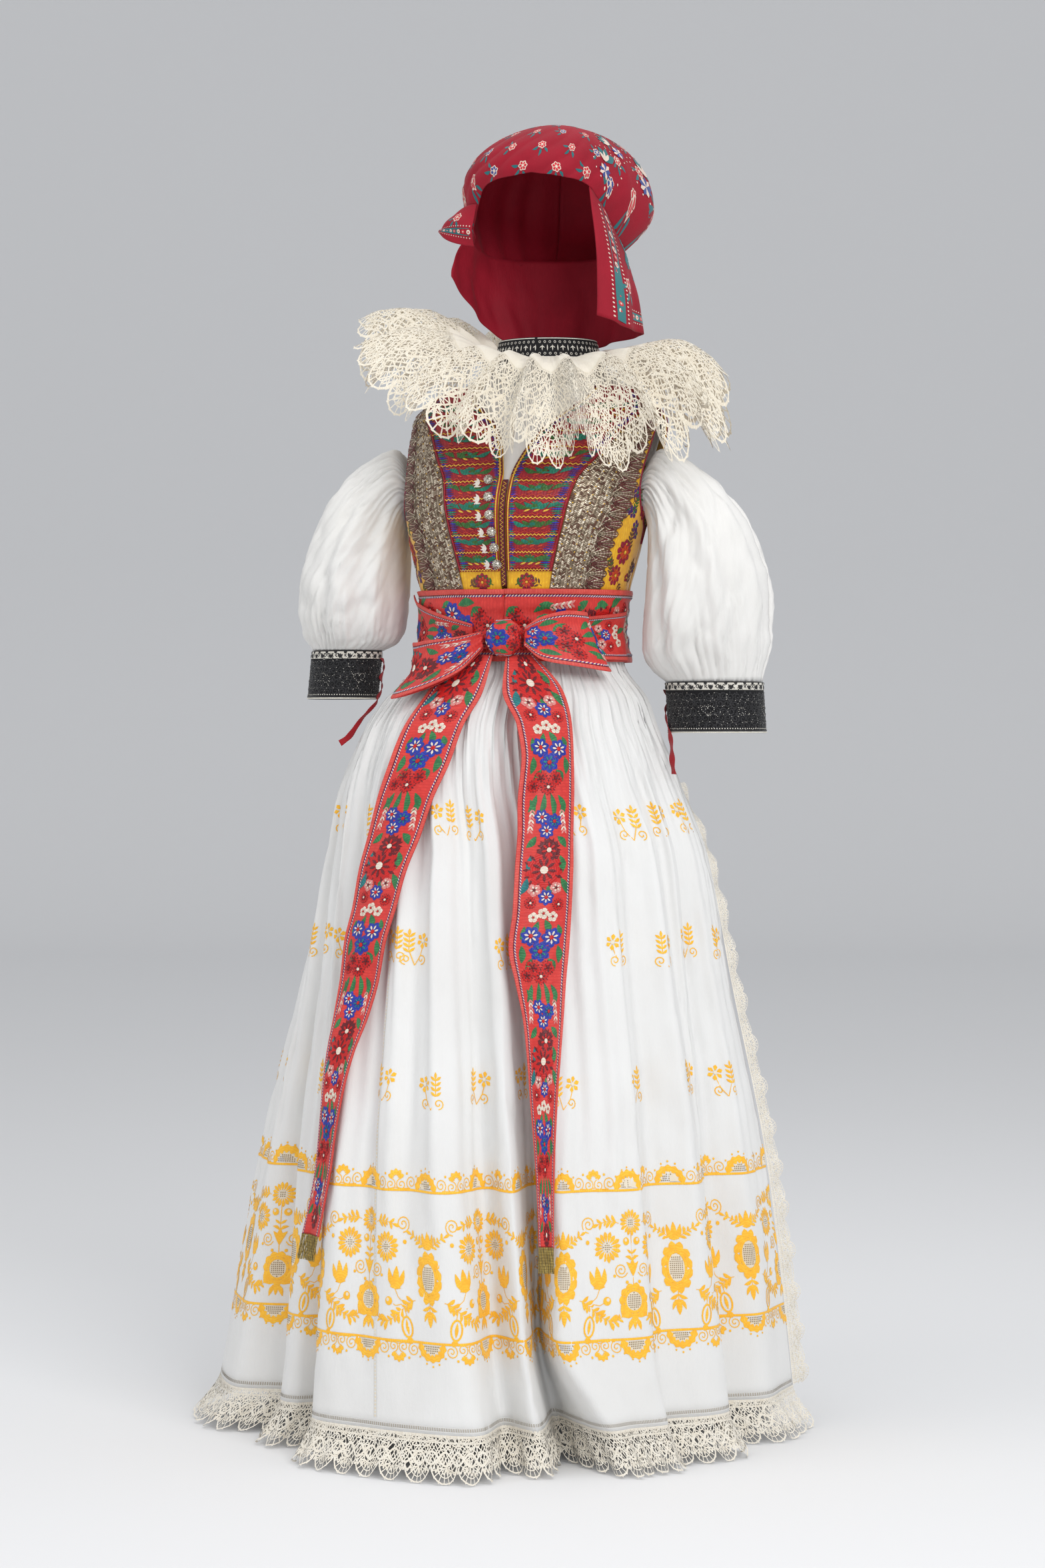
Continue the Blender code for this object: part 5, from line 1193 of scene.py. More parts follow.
def makeCuff(word):
    # the flat cuff runs from u = 0 at the opening's front edge, and v is up from its lower edge
    side, centreX, _, _, top, bottom, _ = cuffSizes[word]
    angles = np.linspace(cuffOpening[1], 360 + cuffOpening[0], 110)
    if side > 0:
        angles = angles[::-1]
    heights = np.linspace(bottom, top, 9)
    points = cuffPoint(word, angles[None, :], heights[:, None],
                       0.0003 * np.sin(angles[None, :] * 0.9 + heights[:, None] * 300))
    us = lengthsAlong(points[0])
    length, tall = us[-1], top - bottom
    cloth = Cloth(points, us, heights - bottom)
    if np.dot(cloth.normals[5, 75], points[5, 75] - np.array([side * centreX, 0, points[5, 75][2]])) < 0:
        cloth = Cloth(points[:, ::-1], us, heights - bottom)
    hold(clothObject(f"cuff_{word}_band", cloth, cuffCloth, 0.0019), "black_embroidery", f"cuff_{word}")
    work = Needlework()
    black, white = 0, 1
    heart = {"right": 0.52, "left": 0.54}[word] * length
    # close-set black scrolls and leaves with small light gaps
    place = np.random.default_rng(11 if side > 0 else 12)
    for n, x in enumerate(np.arange(0.004, length - 0.004, 0.0092)):
        for m, y in enumerate(np.arange(0.009, tall - 0.012, 0.0088)):
            px, py = x + 0.0046 * (m % 2) + place.uniform(-0.0008, 0.0008), y + place.uniform(-0.0008, 0.0008)
            if px > length - 0.004:
                continue
            work.spiral(px, py, 0.0040, place.uniform(0, 360), 1.6, 0.00176, black, 1 if n % 2 else -1)
            for k in range(4):
                a = place.uniform(0, 360)
                work.petal(*turnedFrom(px, py, a, 0.0032), a, 0.0036, 0.0022, black, steps=3)
            if hypot(px - heart, py - tall * 0.45) > 0.011:
                for k in range(2):
                    a = place.uniform(0, 2 * pi)
                    work.disc(px + 0.0047 * cos(a), py + 0.0047 * sin(a), 0.00042, white, lift=0.0009,
                              crown=0.0, sides=5)
    for centre in (heart, heart - 0.085, heart + 0.085):
        for k in range(22):
            t = 2 * pi * k / 22
            hx, hy = 0.0078 * sin(t) ** 3, 0.0066 * (13 * cos(t) - 5 * cos(2 * t) - 2 * cos(3 * t)
                                                     - cos(4 * t)) / 16
            if 0.006 < centre + hx < length - 0.006:
                work.disc(centre + hx, tall * 0.45 + hy, 0.00048, white, lift=0.0011, crown=0.0, sides=5)
        for k in range(10):
            t = 2 * pi * k / 10
            if 0.006 < centre + 0.0425 < length - 0.006:
                work.disc(centre + 0.0425 + 0.0046 * cos(t), tall * 0.42 + 0.0046 * sin(t), 0.00042, white,
                          lift=0.0011, crown=0.0, sides=5)
    # a light upper edge with black curls between leaf tufts, then a row of small points and the piping below
    u = np.arange(0.0005, length, 0.004).clip(0, length - 0.0005)
    work.strip(pathOf(u, tall - 0.0052), 0.0088, white, 0.0004)
    for n, x in enumerate(np.arange(0.006, length - 0.004, 0.0125)):
        for sign in (-1, 1):
            work.spiral(x + sign * 0.0026, tall - 0.0058, 0.0024, -90, 1.4, 0.00108, black, sign)
        for a in (60, 90, 120):
            work.petal(x + 0.0062, tall - 0.0092, a, 0.0062, 0.0022, black, lift=0.0006, steps=3)
            work.petal(x, tall - 0.0036, a, 0.0040, 0.0018, black, lift=0.0006, steps=3)
    for x in np.arange(0.002, length - 0.002, 0.0032):
        work.add([(x - 0.0009, 0.0048), (x + 0.0009, 0.0048), (x, 0.0064)], 0.0010, [(0, 1, 2)], white)
    work.strip(pathOf(u, 0.0030), 0.0022, black, 0.0008, 0.0004, 3)
    work.strip(pathOf(u, 0.0008), 0.0018, white, 0.0010, 0.0006, 3)
    for y in np.arange(0.002, tall - 0.001, 0.0024):
        for x in (0.0012, length - 0.0012):
            work.disc(x, y, 0.0008, white, lift=0.0009, crown=0.0003, sides=6)
    hold(work.sew(f"cuff_{word}_embroidery", cloth, [cuffThread, cuffWhite]), "black_embroidery")


tiePoints = {  # each red tie's middle: angle round the cuff, distance out, height, roll
    "right": ((-5.0, 0.0018, 0.950, 0.0), (16.0, 0.0018, 0.938, 0.0), (-2.0, 0.0018, 0.926, 0.0),
              (14.0, 0.0018, 0.914, 0.0),
              (-4.0, 0.0018, 0.902, 0.0), (-8.0, 0.0018, 0.896, 0.0), (-22.0, -0.001, 0.884, 0.0),
              (-34.0, -0.006, 0.872, 0.0),
              (-46.0, -0.006, 0.860, -10.0), (-57.0, -0.005, 0.850, -40.0), (-70.0, -0.004, 0.843, -60.0)),
    "left": ((-5.0, 0.0018, 0.909, 0.0), (14.0, 0.0018, 0.897, 0.0), (-4.0, 0.0018, 0.885, 0.0),
             (-16.0, 0.0018, 0.872, 0.0),
             (-28.0, 0.0020, 0.860, 0.0), (-40.0, 0.006, 0.846, 0.0), (-50.0, 0.014, 0.832, 0.0),
             (-54.0, 0.019, 0.818, 0.0),
             (-56.0, 0.020, 0.806, 0.0))}


def makeTie(word):
    side = cuffSizes[word][0]
    rows = np.array(tiePoints[word][::-1])
    fine = np.linspace(0, len(rows) - 1, 90)
    around, off, height, roll = (curveOf(range(len(rows)), rows[:, k])(fine) for k in range(4))
    at = cuffPoint(word, around, height, off)
    along = unit(cuffPoint(word, around + 3, height, off) - at)
    turn = np.radians(roll)[:, None]
    along = along * np.cos(turn) + np.array([0, 0, 1.0]) * np.sin(turn)
    width = 0.0080 * (1 - 0.12 * np.sin(fine * 2.1) ** 2)
    spread = np.linspace(0.5, -0.5, 7)
    points = at[:, None, :] + (along * -side * width[:, None])[:, None, :] * spread[None, :, None]
    outwards = unit(at * np.array([1, 1, 0]) - np.array([side * cuffSizes[word][1], 0, 0]))
    points = points + outwards[:, None,
                               :] * (0.0010 * np.sin(fine * 3.3)[:, None] * spread[None, :] * 2)[..., None]
    cloth = Cloth(points, spread * -0.008, np.linspace(0, 0.16, 90))
    hold(clothObject(f"tie_{word}_tape", cloth, tieCloth, 0.0009), "tie_red", f"tie_{word}")


cuffCloth = wovenMaterial("cuff_ground", (0.012, 0.012, 0.014), (0.006, 0.006, 0.007), 600.0, 0.9, 0.05)
cuffThread = threadMaterial("cuff_black_thread", (0.014, 0.014, 0.017), (0.005, 0.005, 0.006), 0.0004, 0.5,
                            0.15)
cuffWhite = threadMaterial("cuff_white_thread", (0.72, 0.70, 0.64), (0.60, 0.57, 0.50), 0.0004, 0.8)
tieCloth = wovenMaterial("tie_tape", (0.42, 0.008, 0.015), (0.28, 0.004, 0.010), 500.0, 0.7, 0.2)
for word in ("right", "left"):
    makeSleeve(word)
for word in ("right", "left"):
    makeCuff(word)
    makeTie(word)
say("sleeves, cuffs and ties")


# waistcoat, its ribbons, gold lace and buttons

vestSizes = {"out": 0.0040, "trim": 0.0056, "perDegree": 0.0024, "thick": 0.0015}
# height, then the front edge, the ribbon's, the gold lace's and the armhole's edges as angles from the centre front
vestFront = ((0.990, 1.5, 22.0, 54.0, 90.0), (1.030, 1.5, 24.0, 56.0, 90.0), (1.070, 1.5, 26.0, 57.0, 90.0),
             (1.105, 1.5, 28.5, 60.0, 89.0), (1.130, 1.5, 30.0, 65.0, 79.0), (1.160, 1.5, 32.0, 66.0, 71.0),
             (1.190, 4.0, 39.0, 65.0, 69.0), (1.220, 9.0, 47.0, 67.0, 71.0), (1.240, 16.0, 56.0, 73.0, 77.0),
             (1.260, 28.0, 66.0, 83.0, 88.0), (1.280, 42.0, 73.0, 85.0, 89.0))
vestBack = ((0.990, 90.0), (1.030, 90.0), (1.070, 90.0), (1.105, 91.0), (1.130, 100.0), (1.160, 108.0),
            (1.200, 110.0),
            (1.240, 101.0), (1.260, 92.0), (1.280, 91.0))
frontEdge, ribbonEdge, goldEdge, armEdge = tableOf(vestFront)
backEdge = tableOf(vestBack)[0]

yellowBrocade = threadMaterial("yellow_brocade", (0.86, 0.50, 0.012), (0.72, 0.36, 0.006), 0.0006, 0.42, 0.35,
                               0.25)
crimsonSilk = threadMaterial("crimson_silk", (0.36, 0.012, 0.045), (0.20, 0.006, 0.03), 0.0005)
purpleSilk = threadMaterial("purple_silk", (0.085, 0.02, 0.19), (0.045, 0.010, 0.11), 0.0005)
tealSilk = threadMaterial("teal_silk", (0.010, 0.22, 0.13), (0.006, 0.12, 0.08), 0.0005)
greenSilk = threadMaterial("green_silk", (0.045, 0.15, 0.025), (0.022, 0.085, 0.015), 0.0005)
brownSilk = threadMaterial("brown_silk", (0.16, 0.065, 0.035), (0.09, 0.035, 0.02), 0.0005)
orangeSilk = threadMaterial("orange_silk", (0.62, 0.06, 0.02), (0.42, 0.035, 0.012), 0.0005)
redGround = threadMaterial("red_ribbon_ground", (0.36, 0.012, 0.020), (0.24, 0.006, 0.016), 0.0006, 0.5)
yellowLine = threadMaterial("yellow_line", (0.80, 0.50, 0.05), (0.65, 0.36, 0.03), 0.0005)
blueSilk = threadMaterial("blue_silk", (0.030, 0.035, 0.40), (0.015, 0.018, 0.24), 0.0005)
whiteSilk = threadMaterial("white_silk", (0.78, 0.73, 0.66), (0.68, 0.60, 0.52), 0.0005)
tinsel = threadMaterial("bronze_tinsel", (0.44, 0.35, 0.26), (0.20, 0.15, 0.10), 0.0007, 0.38, 0.0, 0.9, 0.75)
tinselLight = threadMaterial("light_tinsel", (0.82, 0.74, 0.60), (0.50, 0.41, 0.30), 0.0007, 0.32, 0.0, 0.7,
                             0.8)
maroonSilk = threadMaterial("maroon_silk", (0.15, 0.010, 0.022), (0.09, 0.006, 0.014), 0.0005)
vestThreads = [crimsonSilk, purpleSilk, tealSilk, greenSilk, brownSilk, orangeSilk, yellowLine, blueSilk,
               whiteSilk,
               tinsel, tinselLight, maroonSilk, redGround]
(crimson, purple, teal, green, brown, orange, yellow, blue, white, bronze, lightGold, maroon,
 redBase) = range(13)


def bodySheet(low, high, edgeA, edgeB, out, columns=60, rows=60, wave=0.0006, seed=1.0):
    # a sheet on the body between two edges that change with height, its creases small and uneven
    heights = np.linspace(low, high, rows)
    a, b = edgeA(heights), edgeB(heights)
    share = np.linspace(0, 1, columns)
    angles = a[:, None] + (b - a)[:, None] * share[None, :]
    crease = wave * (wander(angles * 0.16 + heights[:, None] * 20,
                            seed) + 0.8 * wander(heights[:, None] * 70 + angles * 0.05, seed + 2))
    points = onFigure(angles, heights[:, None] + 0 * angles, out + crease)
    return Cloth(points, share * (b - a).mean() * vestSizes["perDegree"], heights)


def frontSheet(side, low, edgeA, edgeB, *rest):
    # a sheet on one front, between two edges counted outwards from the centre
    edges = (lambda h: side * edgeA(h), lambda h: side * edgeB(h))
    return bodySheet(low, 1.280, *edges[::side], *rest)


def onVest(work, name, out, threads, side=1):
    # needlework whose u is an angle from the centre front times perDegree, and v the height
    def place(points):
        angles = points[:, 0] / vestSizes["perDegree"] * side
        return onFigure(angles, points[:, 1], out + points[:, 2])
    return work.sew(name, None, threads, place)


def silkFlower(work, x, y, r, petal, centre):
    for a in range(18, 378, 72):
        work.petal(*turnedFrom(x, y, a, r * 0.2), a, r * 0.85, r * 0.82, petal, tip=0.62)
    work.disc(x, y, r * 0.24, centre, lift=0.0010, sides=9)


def leafSpray(work, x, y, angle, length, leaf, kind, count=5, bend=0.0):
    turn = radians(angle)
    start, tip = np.array([x, y]), np.array(turnedFrom(x, y, angle, length))
    middle = (start + tip) / 2 + bend * length * np.array([-sin(turn), cos(turn)])

    def curve(k):
        return (1 - k) ** 2 * start + 2 * k * (1 - k) * middle + k * k * tip
    work.strip(np.array([curve(k) for k in np.linspace(0, 1, 9)]), leaf * 0.14, kind, 0.0004)
    for n in range(count):
        k = (n + 0.8) / count
        for side in (-1, 1):
            work.petal(*curve(k), angle + side * 50, leaf * (1.1 - 0.4 * k), leaf * 0.42, kind)
    work.petal(*tip, angle, leaf, leaf * 0.4, kind)


def bigBloom(work, x, y, r, dark, bright, leafKind):
    # a full flower seen from the front, with petals in two rings round a raised centre
    for n in range(9):
        a = 40 * n + 10
        work.petal(*turnedFrom(x, y, a, r * 0.42), a, r * 0.62, r * 0.52, dark, tip=0.6)
    for n in range(7):
        a = 360 * n / 7
        work.petal(*turnedFrom(x, y, a, r * 0.12), a, r * 0.52, r * 0.36, bright, tip=0.65,
                   lift=0.0010)
    work.disc(x, y, r * 0.16, leafKind, lift=0.0018, sides=8)


def brocadeField(work, low, high, angleA, angleB, seed):
    # woven sprays over the yellow ground, in staggered rows
    k = vestSizes["perDegree"]
    for row, y in enumerate(np.arange(low, high, 0.040)):
        for n, a in enumerate(np.arange(angleA + (8 if row % 2 else 0), angleB, 17.0)):
            x = a * k
            kind = (row + n + seed) % 3
            if kind == 0:
                silkFlower(work, x, y, 0.0085, purple, teal)
                leafSpray(work, x + 0.006, y + 0.006, 55, 0.018, 0.0075, brown, 4)
                leafSpray(work, x - 0.006, y - 0.006, 235, 0.016, 0.0070, green, 3)
            elif kind == 1:
                bigBloom(work, x, y, 0.0125, crimson, orange, yellow)
                leafSpray(work, x - 0.010, y + 0.008, 120, 0.016, 0.0070, green, 3)
                leafSpray(work, x + 0.010, y - 0.008, -50, 0.014, 0.0070, brown, 3)
            else:
                leafSpray(work, x, y - 0.012, 88, 0.026, 0.0090, brown, 5, 0.1)
                silkFlower(work, x + 0.009, y + 0.010, 0.0060, purple, teal)
                silkFlower(work, x - 0.009, y - 0.002, 0.0055, crimson, yellow)


def plastron(work):
    # the embroidered ribbon beside the buttons: bars along both edges, leaves and waves between cross lines
    k = vestSizes["perDegree"]
    heights = np.linspace(1.055, 1.276, 26)
    inner, outer = (frontEdge(heights) + 1.4) * k, (ribbonEdge(heights) - 1.0) * k
    work.strip(pathOf(outer, heights), 0.0020, redBase, 0.0006, 0.0009, 3)
    work.strip(pathOf(inner, heights), 0.0014, yellow, 0.0006, 0.0004, 3)
    y, n = 1.0565, 0
    while y < 1.272:
        x0, x1 = float((frontEdge(y) + 1.8) * k), float((ribbonEdge(y) - 1.7) * k)
        group = (n // 6) % 2
        for x, sign in ((x0, 1), (x1, -1)):
            long = 0.0090 + 0.0045 * (0.5 + 0.5 * cos(2 * pi * (n % 6 - 2.5) / 6))
            if x1 - x0 > 0.022:
                work.petal(x, y, 0 if sign > 0 else 180, long * (0.6 if sign > 0 else 1.0), 0.0023,
                           (teal, purple)[group] if n % 3 else blue, tip=0.3, steps=3)
        y, n = y + 0.0026, n + 1
    for m, y in enumerate(np.arange(1.066, 1.268, 0.0205)):
        x0, x1 = float((frontEdge(y) + 2.0) * k), float((ribbonEdge(y) - 1.9) * k)
        if x1 - x0 < 0.018:
            continue
        x = np.linspace(x0, x1, 26)
        zig = y - 0.0100 + 0.0009 * np.where(np.arange(26) % 2, 1, -1)
        work.strip(pathOf(x, zig), 0.0012, yellow, 0.0008)
        for off in (-0.0068, 0.0068):
            work.strip(pathOf(x, y + off + 0.0013 * np.sin((x - x0) * 700 + m)), 0.0008, orange, 0.0006)
        wide = x1 - x0
        for share in (0.32, 0.50, 0.68):
            cx = x0 + wide * share
            for lean in (-1, 1):
                work.petal(cx + lean * 0.0015, y, 90 + lean * 68 * (1 if share < 0.6 else -1),
                           min(0.0165, wide * 0.36), 0.0056,
                           green if (m + (share > 0.4)) % 2 else teal, steps=4, bend=0.12 * lean)
            work.petal(cx - 0.003, y - 0.004, 20, 0.0075, 0.0022, yellow if m % 3 == 0 else orange, steps=3)


def goldLace(work, low, high, edgeA, edgeB, side):
    # knitted tinsel: columns of small slanting stitches, dots of yellow silk, and fans along the outer edge
    k = vestSizes["perDegree"]
    chance = np.random.default_rng(15 + side)
    tones = (bronze, lightGold, lightGold, bronze, brown)
    columns, body = 13, 0.70
    for n, y in enumerate(np.arange(low + 0.001, high - 0.001, 0.0019)):
        a, b = float(edgeA(y)) * k + 0.0008, float(edgeB(y)) * k
        wide = (b - a) * body / columns
        for c in range(columns):
            x, slant = a + (c + 0.5) * wide, 0.0010 * (1 if c % 2 else -1)
            x += 0.0005 * sin(y * 160 + c)
            work.strip([(x - wide * 0.46, y - slant), (x + wide * 0.46, y + slant)], 0.0013,
                       tones[chance.integers(5)], 0.0004 + 0.0003 * chance.random(), 0.0004, 3)
        if n % 5 == 2:
            for share in (0.05, 0.30, 0.52):
                work.disc(mix(a, b, share), y, 0.0011, yellow, 0.0008, lift=0.0011, crown=0.0004, sides=5)
    for n, y in enumerate(np.arange(low + 0.006, high - 0.002, 0.0118)):
        a, b = float(edgeA(y)) * k, float(edgeB(y)) * k
        x0, reach = mix(a, b, body - 0.10), (b - a) * (1.10 - body) + 0.0032
        for m in range(17):
            turn = radians(-84 + m * 10.5)
            start = 0.18 if m % 2 else 0.42
            points = [(x0 + reach * s * cos(turn),
                       y + 0.0078 * s * sin(turn)) for s in (start, 0.7, 1.0 - 0.05 * (m % 3))]
            work.strip(points, [0.0007, 0.0012, 0.0015], (lightGold, maroon, bronze, brown)[(m + n) % 4],
                       0.0010 + 0.0004 * (m % 2), 0.0006, 3)
        turn = np.radians(np.linspace(-82, 82, 9))
        work.strip(pathOf(x0 + reach * np.cos(turn), y + 0.0076 * np.sin(turn)), 0.0017, brown, 0.0013)
        work.ring(x0 + 0.0020, y, 0.0019, 0.0009, bronze, 8, 0.0012)


def makeVest():
    out = vestSizes["out"]
    for side, word in ((-1, "right"), (1, "left")):
        cloth = frontSheet(side, 0.990, frontEdge, lambda h: armEdge(h) - 0.25, out, 48, 48, 0.0005,
                           side + 3.0)
        hold(clothObject(f"vest_front_{word}_cloth", cloth, yellowBrocade, vestSizes["thick"]), "brocade",
             f"vest_front_{word}")
        work = Needlework()
        brocadeField(work, 1.050, 1.150, 66, 88, 1 if side > 0 else 0)
        k = vestSizes["perDegree"]
        for height, a, r in ((1.041, 12.0, 0.0105), (1.078, 70.0, 0.0150), (1.045, 47.0, 0.0090)):
            bigBloom(work, a * k, height, r, crimson, orange, yellow)
        for height, a, turn in ((1.043, 6.0, 30), (1.042, 20.0, 150), (1.040, 34.0, 60), (1.055, 62.0, 100),
                                (1.130, 71.0, 80)):
            leafSpray(work, a * k, height - 0.006, turn, 0.017, 0.0075, green if turn < 90 else brown, 4)
        for height, a in ((1.150, 70.0), (1.110, 76.0), (1.126, 71.0), (1.044, 28.0)):
            silkFlower(work, a * k, height, 0.0075, purple, teal)
        # a narrow pink piping round the armhole and along the shoulder
        h = np.linspace(1.09, 1.278, 40)
        work.strip(pathOf((armEdge(h) - 0.8) * k, h), 0.0026, crimson, 0.0005, 0.0012, 3)
        hold(onVest(work, f"vest_front_{word}_flowers", out, vestThreads, side), "brocade")

        trim = vestSizes["trim"]
        cloth = frontSheet(side, 1.054, lambda h: frontEdge(h) + 0.5, ribbonEdge, trim, 30, 44, 0.0004,
                           side + 6.0)
        hold(clothObject(f"plastron_{word}", cloth, redGround, 0.0011), "chest_ribbon",
             f"chest_ribbon_{word}")
        work = Needlework()
        plastron(work)
        hold(onVest(work, f"plastron_{word}_embroidery", trim + 0.0003, vestThreads, side), "chest_ribbon")

        cloth = frontSheet(side, 0.990, lambda h: ribbonEdge(h) + 0.2, lambda h: goldEdge(h) - 0.2,
                           trim, 30, 54, 0.0005, side + 9.0)
        hold(clothObject(f"gold_lace_{word}_ground", cloth, tinsel, 0.0011), "gold_braid",
             f"gold_braid_{word}")
        work = Needlework()
        goldLace(work, 1.034, 1.276, ribbonEdge, goldEdge, side)
        hold(onVest(work, f"gold_lace_{word}", trim + 0.0003, vestThreads, side), "gold_braid")

    cloth = bodySheet(0.990, 1.280, lambda h: backEdge(h) + 0.25, lambda h: 360 - backEdge(h) - 0.25, out, 84,
                      48, 0.0006, 14.0)
    hold(clothObject("vest_back_cloth", cloth, yellowBrocade, vestSizes["thick"]), "brocade", "vest_back")
    work = Needlework()
    k = vestSizes["perDegree"]
    brocadeField(work, 1.052, 1.262, 118, 244, 2)
    for sign in (-1, 1):
        h = np.linspace(1.034, 1.276, 30)
        seam = 180 + sign * (22 + 46 * ease((h - 1.06) / 0.22))
        work.strip(pathOf(seam * k, h), 0.0034, bronze, 0.0005, 0.0009, 3)
        work.strip(pathOf(seam * k, h), 0.0011, lightGold, 0.0013, 0.0004, 3)
        arm = np.linspace(1.09, 1.278, 40)
        edge = backEdge(arm) + 0.9
        work.strip(pathOf((edge if sign > 0 else 360 - edge) * k, arm), 0.0026, crimson, 0.0005, 0.0012, 3)
    hold(onVest(work, "vest_back_flowers", out, vestThreads), "brocade")


def makePlacket():
    trim = vestSizes["trim"] + 0.0006
    cloth = bodySheet(1.036, 1.160, lambda h: -1.3 + 0 * h, lambda h: 1.3 + 0 * h, trim, 8, 40, 0.0001)
    hold(clothObject("placket_band", cloth, maroonSilk, 0.0011), "chest_ribbon", "placket")
    work = Needlework()
    y = np.arange(1.037, 1.159, 0.0024)
    work.strip(pathOf(0.0017 * np.where(np.arange(len(y)) % 2, 1, -1) + 0 * y, y), 0.0008, yellow, 0.0004)
    # the neckline's maroon band with its yellow zigzag, and white sprigs beside the buttons
    k = vestSizes["perDegree"]
    for side in (-1, 1):
        h = np.linspace(1.165, 1.278, 60)
        u = side * (frontEdge(h) + 1.5) * k
        work.strip(pathOf(u, h), 0.0062, maroon, -0.0002, 0.0004, 3)
        step = np.where(np.arange(60) % 2, 1, -1) * 0.0018
        work.strip(pathOf(u + side * step, h), 0.0008, yellow, 0.0007)
    for height, angle, _ in buttonPlaces:
        x = (angle - 4.4) * k
        for a in (130, 160, 190, 220):
            work.petal(x, height - 0.002, a, 0.0080, 0.0028, white, lift=0.0006, steps=3)
        work.petal(x + 0.002, height - 0.0062, 180, 0.0085, 0.0020, white, lift=0.0006, steps=3)
    hold(onVest(work, "placket_zigzag", trim, vestThreads), "chest_ribbon")


buttonPlaces = ((1.1580, -7.20, 0.00110), (1.1392, -6.25, 0.00230), (1.1204, -5.30, 0.00140),
                (1.1016, -4.35, 0.00080),
                (1.0828, -3.40, 0.00075), (1.0640, -2.45, 0.00040))
buttonRadius = 0.0058


def silverMaterial():
    made, tree, shader = nodeTree("silver_filigree")
    body = tree.nodes.new("ShaderNodeTexCoord").outputs["Object"]
    patches = noise(tree, body, 420.0, 3.0)
    tree.links.new(mixColour(tree, ramp(tree, patches, 0.4, 0.6), (0.30, 0.27, 0.22), (0.80, 0.77, 0.70)),
                   shader.inputs["Base Color"])
    bump(tree, shader, patches, 0.5, 0.0004)
    setInputs(shader, {"Metallic": 0.95, "Roughness": 0.30})
    return made


def makeButtons():
    # a domed ball with a rosette of wire loops and beads
    silver = silverMaterial()
    for n, (height, angle, sunk) in enumerate(buttonPlaces):
        centre = onFigure(np.array(angle), np.array(height), vestSizes["trim"] + buttonRadius + 0.0006 - sunk)
        outwards = unit(onFigure(np.array(angle), np.array(height), 0.05) - onFigure(np.array(angle),
                                                                                     np.array(height), 0.0))
        up = unit(np.array([0, 0, 1.0]) - outwards * outwards[2])
        beside = np.cross(up, outwards)
        points, faces = [], []

        def blob(at, axes, rings=5, sides=8):
            first = len(points)
            for r in range(rings + 1):
                a = pi * r / rings
                for s in range(sides):
                    b = 2 * pi * s / sides
                    points.append(at + axes[0] * sin(a) * cos(b) + axes[1] * sin(a) * sin(b)
                                  + axes[2] * cos(a))
            for r in range(rings):
                for s in range(sides):
                    faces.append((first + r * sides + s, first + (r + 1) * sides + s,
                                  first + (r + 1) * sides + (s + 1) % sides,
                                  first + r * sides + (s + 1) % sides))
        blob(centre, (beside * buttonRadius * 0.93, up * buttonRadius * 0.93, outwards * buttonRadius * 0.93),
             12, 20)
        for ring, (tilt, count, size) in enumerate(((0.0, 1, 0.0016), (0.52, 7, 0.0010), (1.02, 12, 0.0010),
                                                    (1.50, 16, 0.0009))):
            for k in range(count):
                b = 2 * pi * k / count + ring * 0.3
                way = outwards * cos(tilt) + (beside * cos(b) + up * sin(b)) * sin(tilt)
                blob(centre + way * buttonRadius * 0.93, (beside * size, up * size, outwards * size), 4, 6)
        piece = newObject(f"filigree_button_{n + 1}", points, faces, None, [silver])
        hold(piece, "silver", f"button_{n + 1}")


def makeBlouse():
    rows = ((1.190, 60.0), (1.220, 66.0), (1.240, 78.0), (1.260, 89.0), (1.280, 89.0), (1.3165, 89.0))
    edge = tableOf(rows)[0]
    for name, middle in (("front", 0.0), ("back", 180.0)):
        cloth = bodySheet(1.150 if name == "front" else 1.190, 1.3165, lambda h: middle - edge(h),
                          lambda h: middle + edge(h), 0.0001, 66, 20, 0.0002, 20.0)
        hold(clothObject(f"blouse_{name}_cloth", cloth, sleeveCloth, 0.0008), "linen", f"blouse_{name}")
    heights = np.linspace(1.3175, 1.3440, 9)
    angles = np.linspace(0, 360, 121)
    points = ringPoint(figureRings, angles[None, :], heights[:, None] + 0 * angles[None, :])
    away = unit((points - np.array([0.022, 0.012, 0])) * np.array([1, 1, 0]))
    points = points + away * 0.0026
    steps = lengthsAlong(points[4])
    cloth = Cloth(points, steps, heights)
    hold(clothObject("neck_band_cloth", cloth, cuffCloth, 0.0018), "black_embroidery", "neck_band")
    work = Needlework()
    for n, x in enumerate(np.arange(0.003, steps[-1] - 0.002, 0.0064)):
        for y, r in ((1.3235, 0.0013), (1.3380, 0.0013)):
            work.ring(x, y, r, 0.0006, 1, 8)
        work.petal(x + 0.0032, 1.3270, 90, 0.0075, 0.0015, 1, steps=3)
        work.petal(x, 1.3305, 90 + 50 * (1 if n % 2 else -1), 0.0040, 0.0012, 1, steps=3)
    u = np.arange(0.0, steps[-1], 0.004)
    work.strip(pathOf(u, 1.3425), 0.0010, 1, 0.0006)
    hold(work.sew("neck_band_stitches", cloth, [cuffThread, cuffWhite]), "black_embroidery")


makeBlouse()
makeVest()
makePlacket()
makeButtons()
say("blouse, neck band, waistcoat and buttons")


# the ribbon sash: its round, its bow, knot and two ends

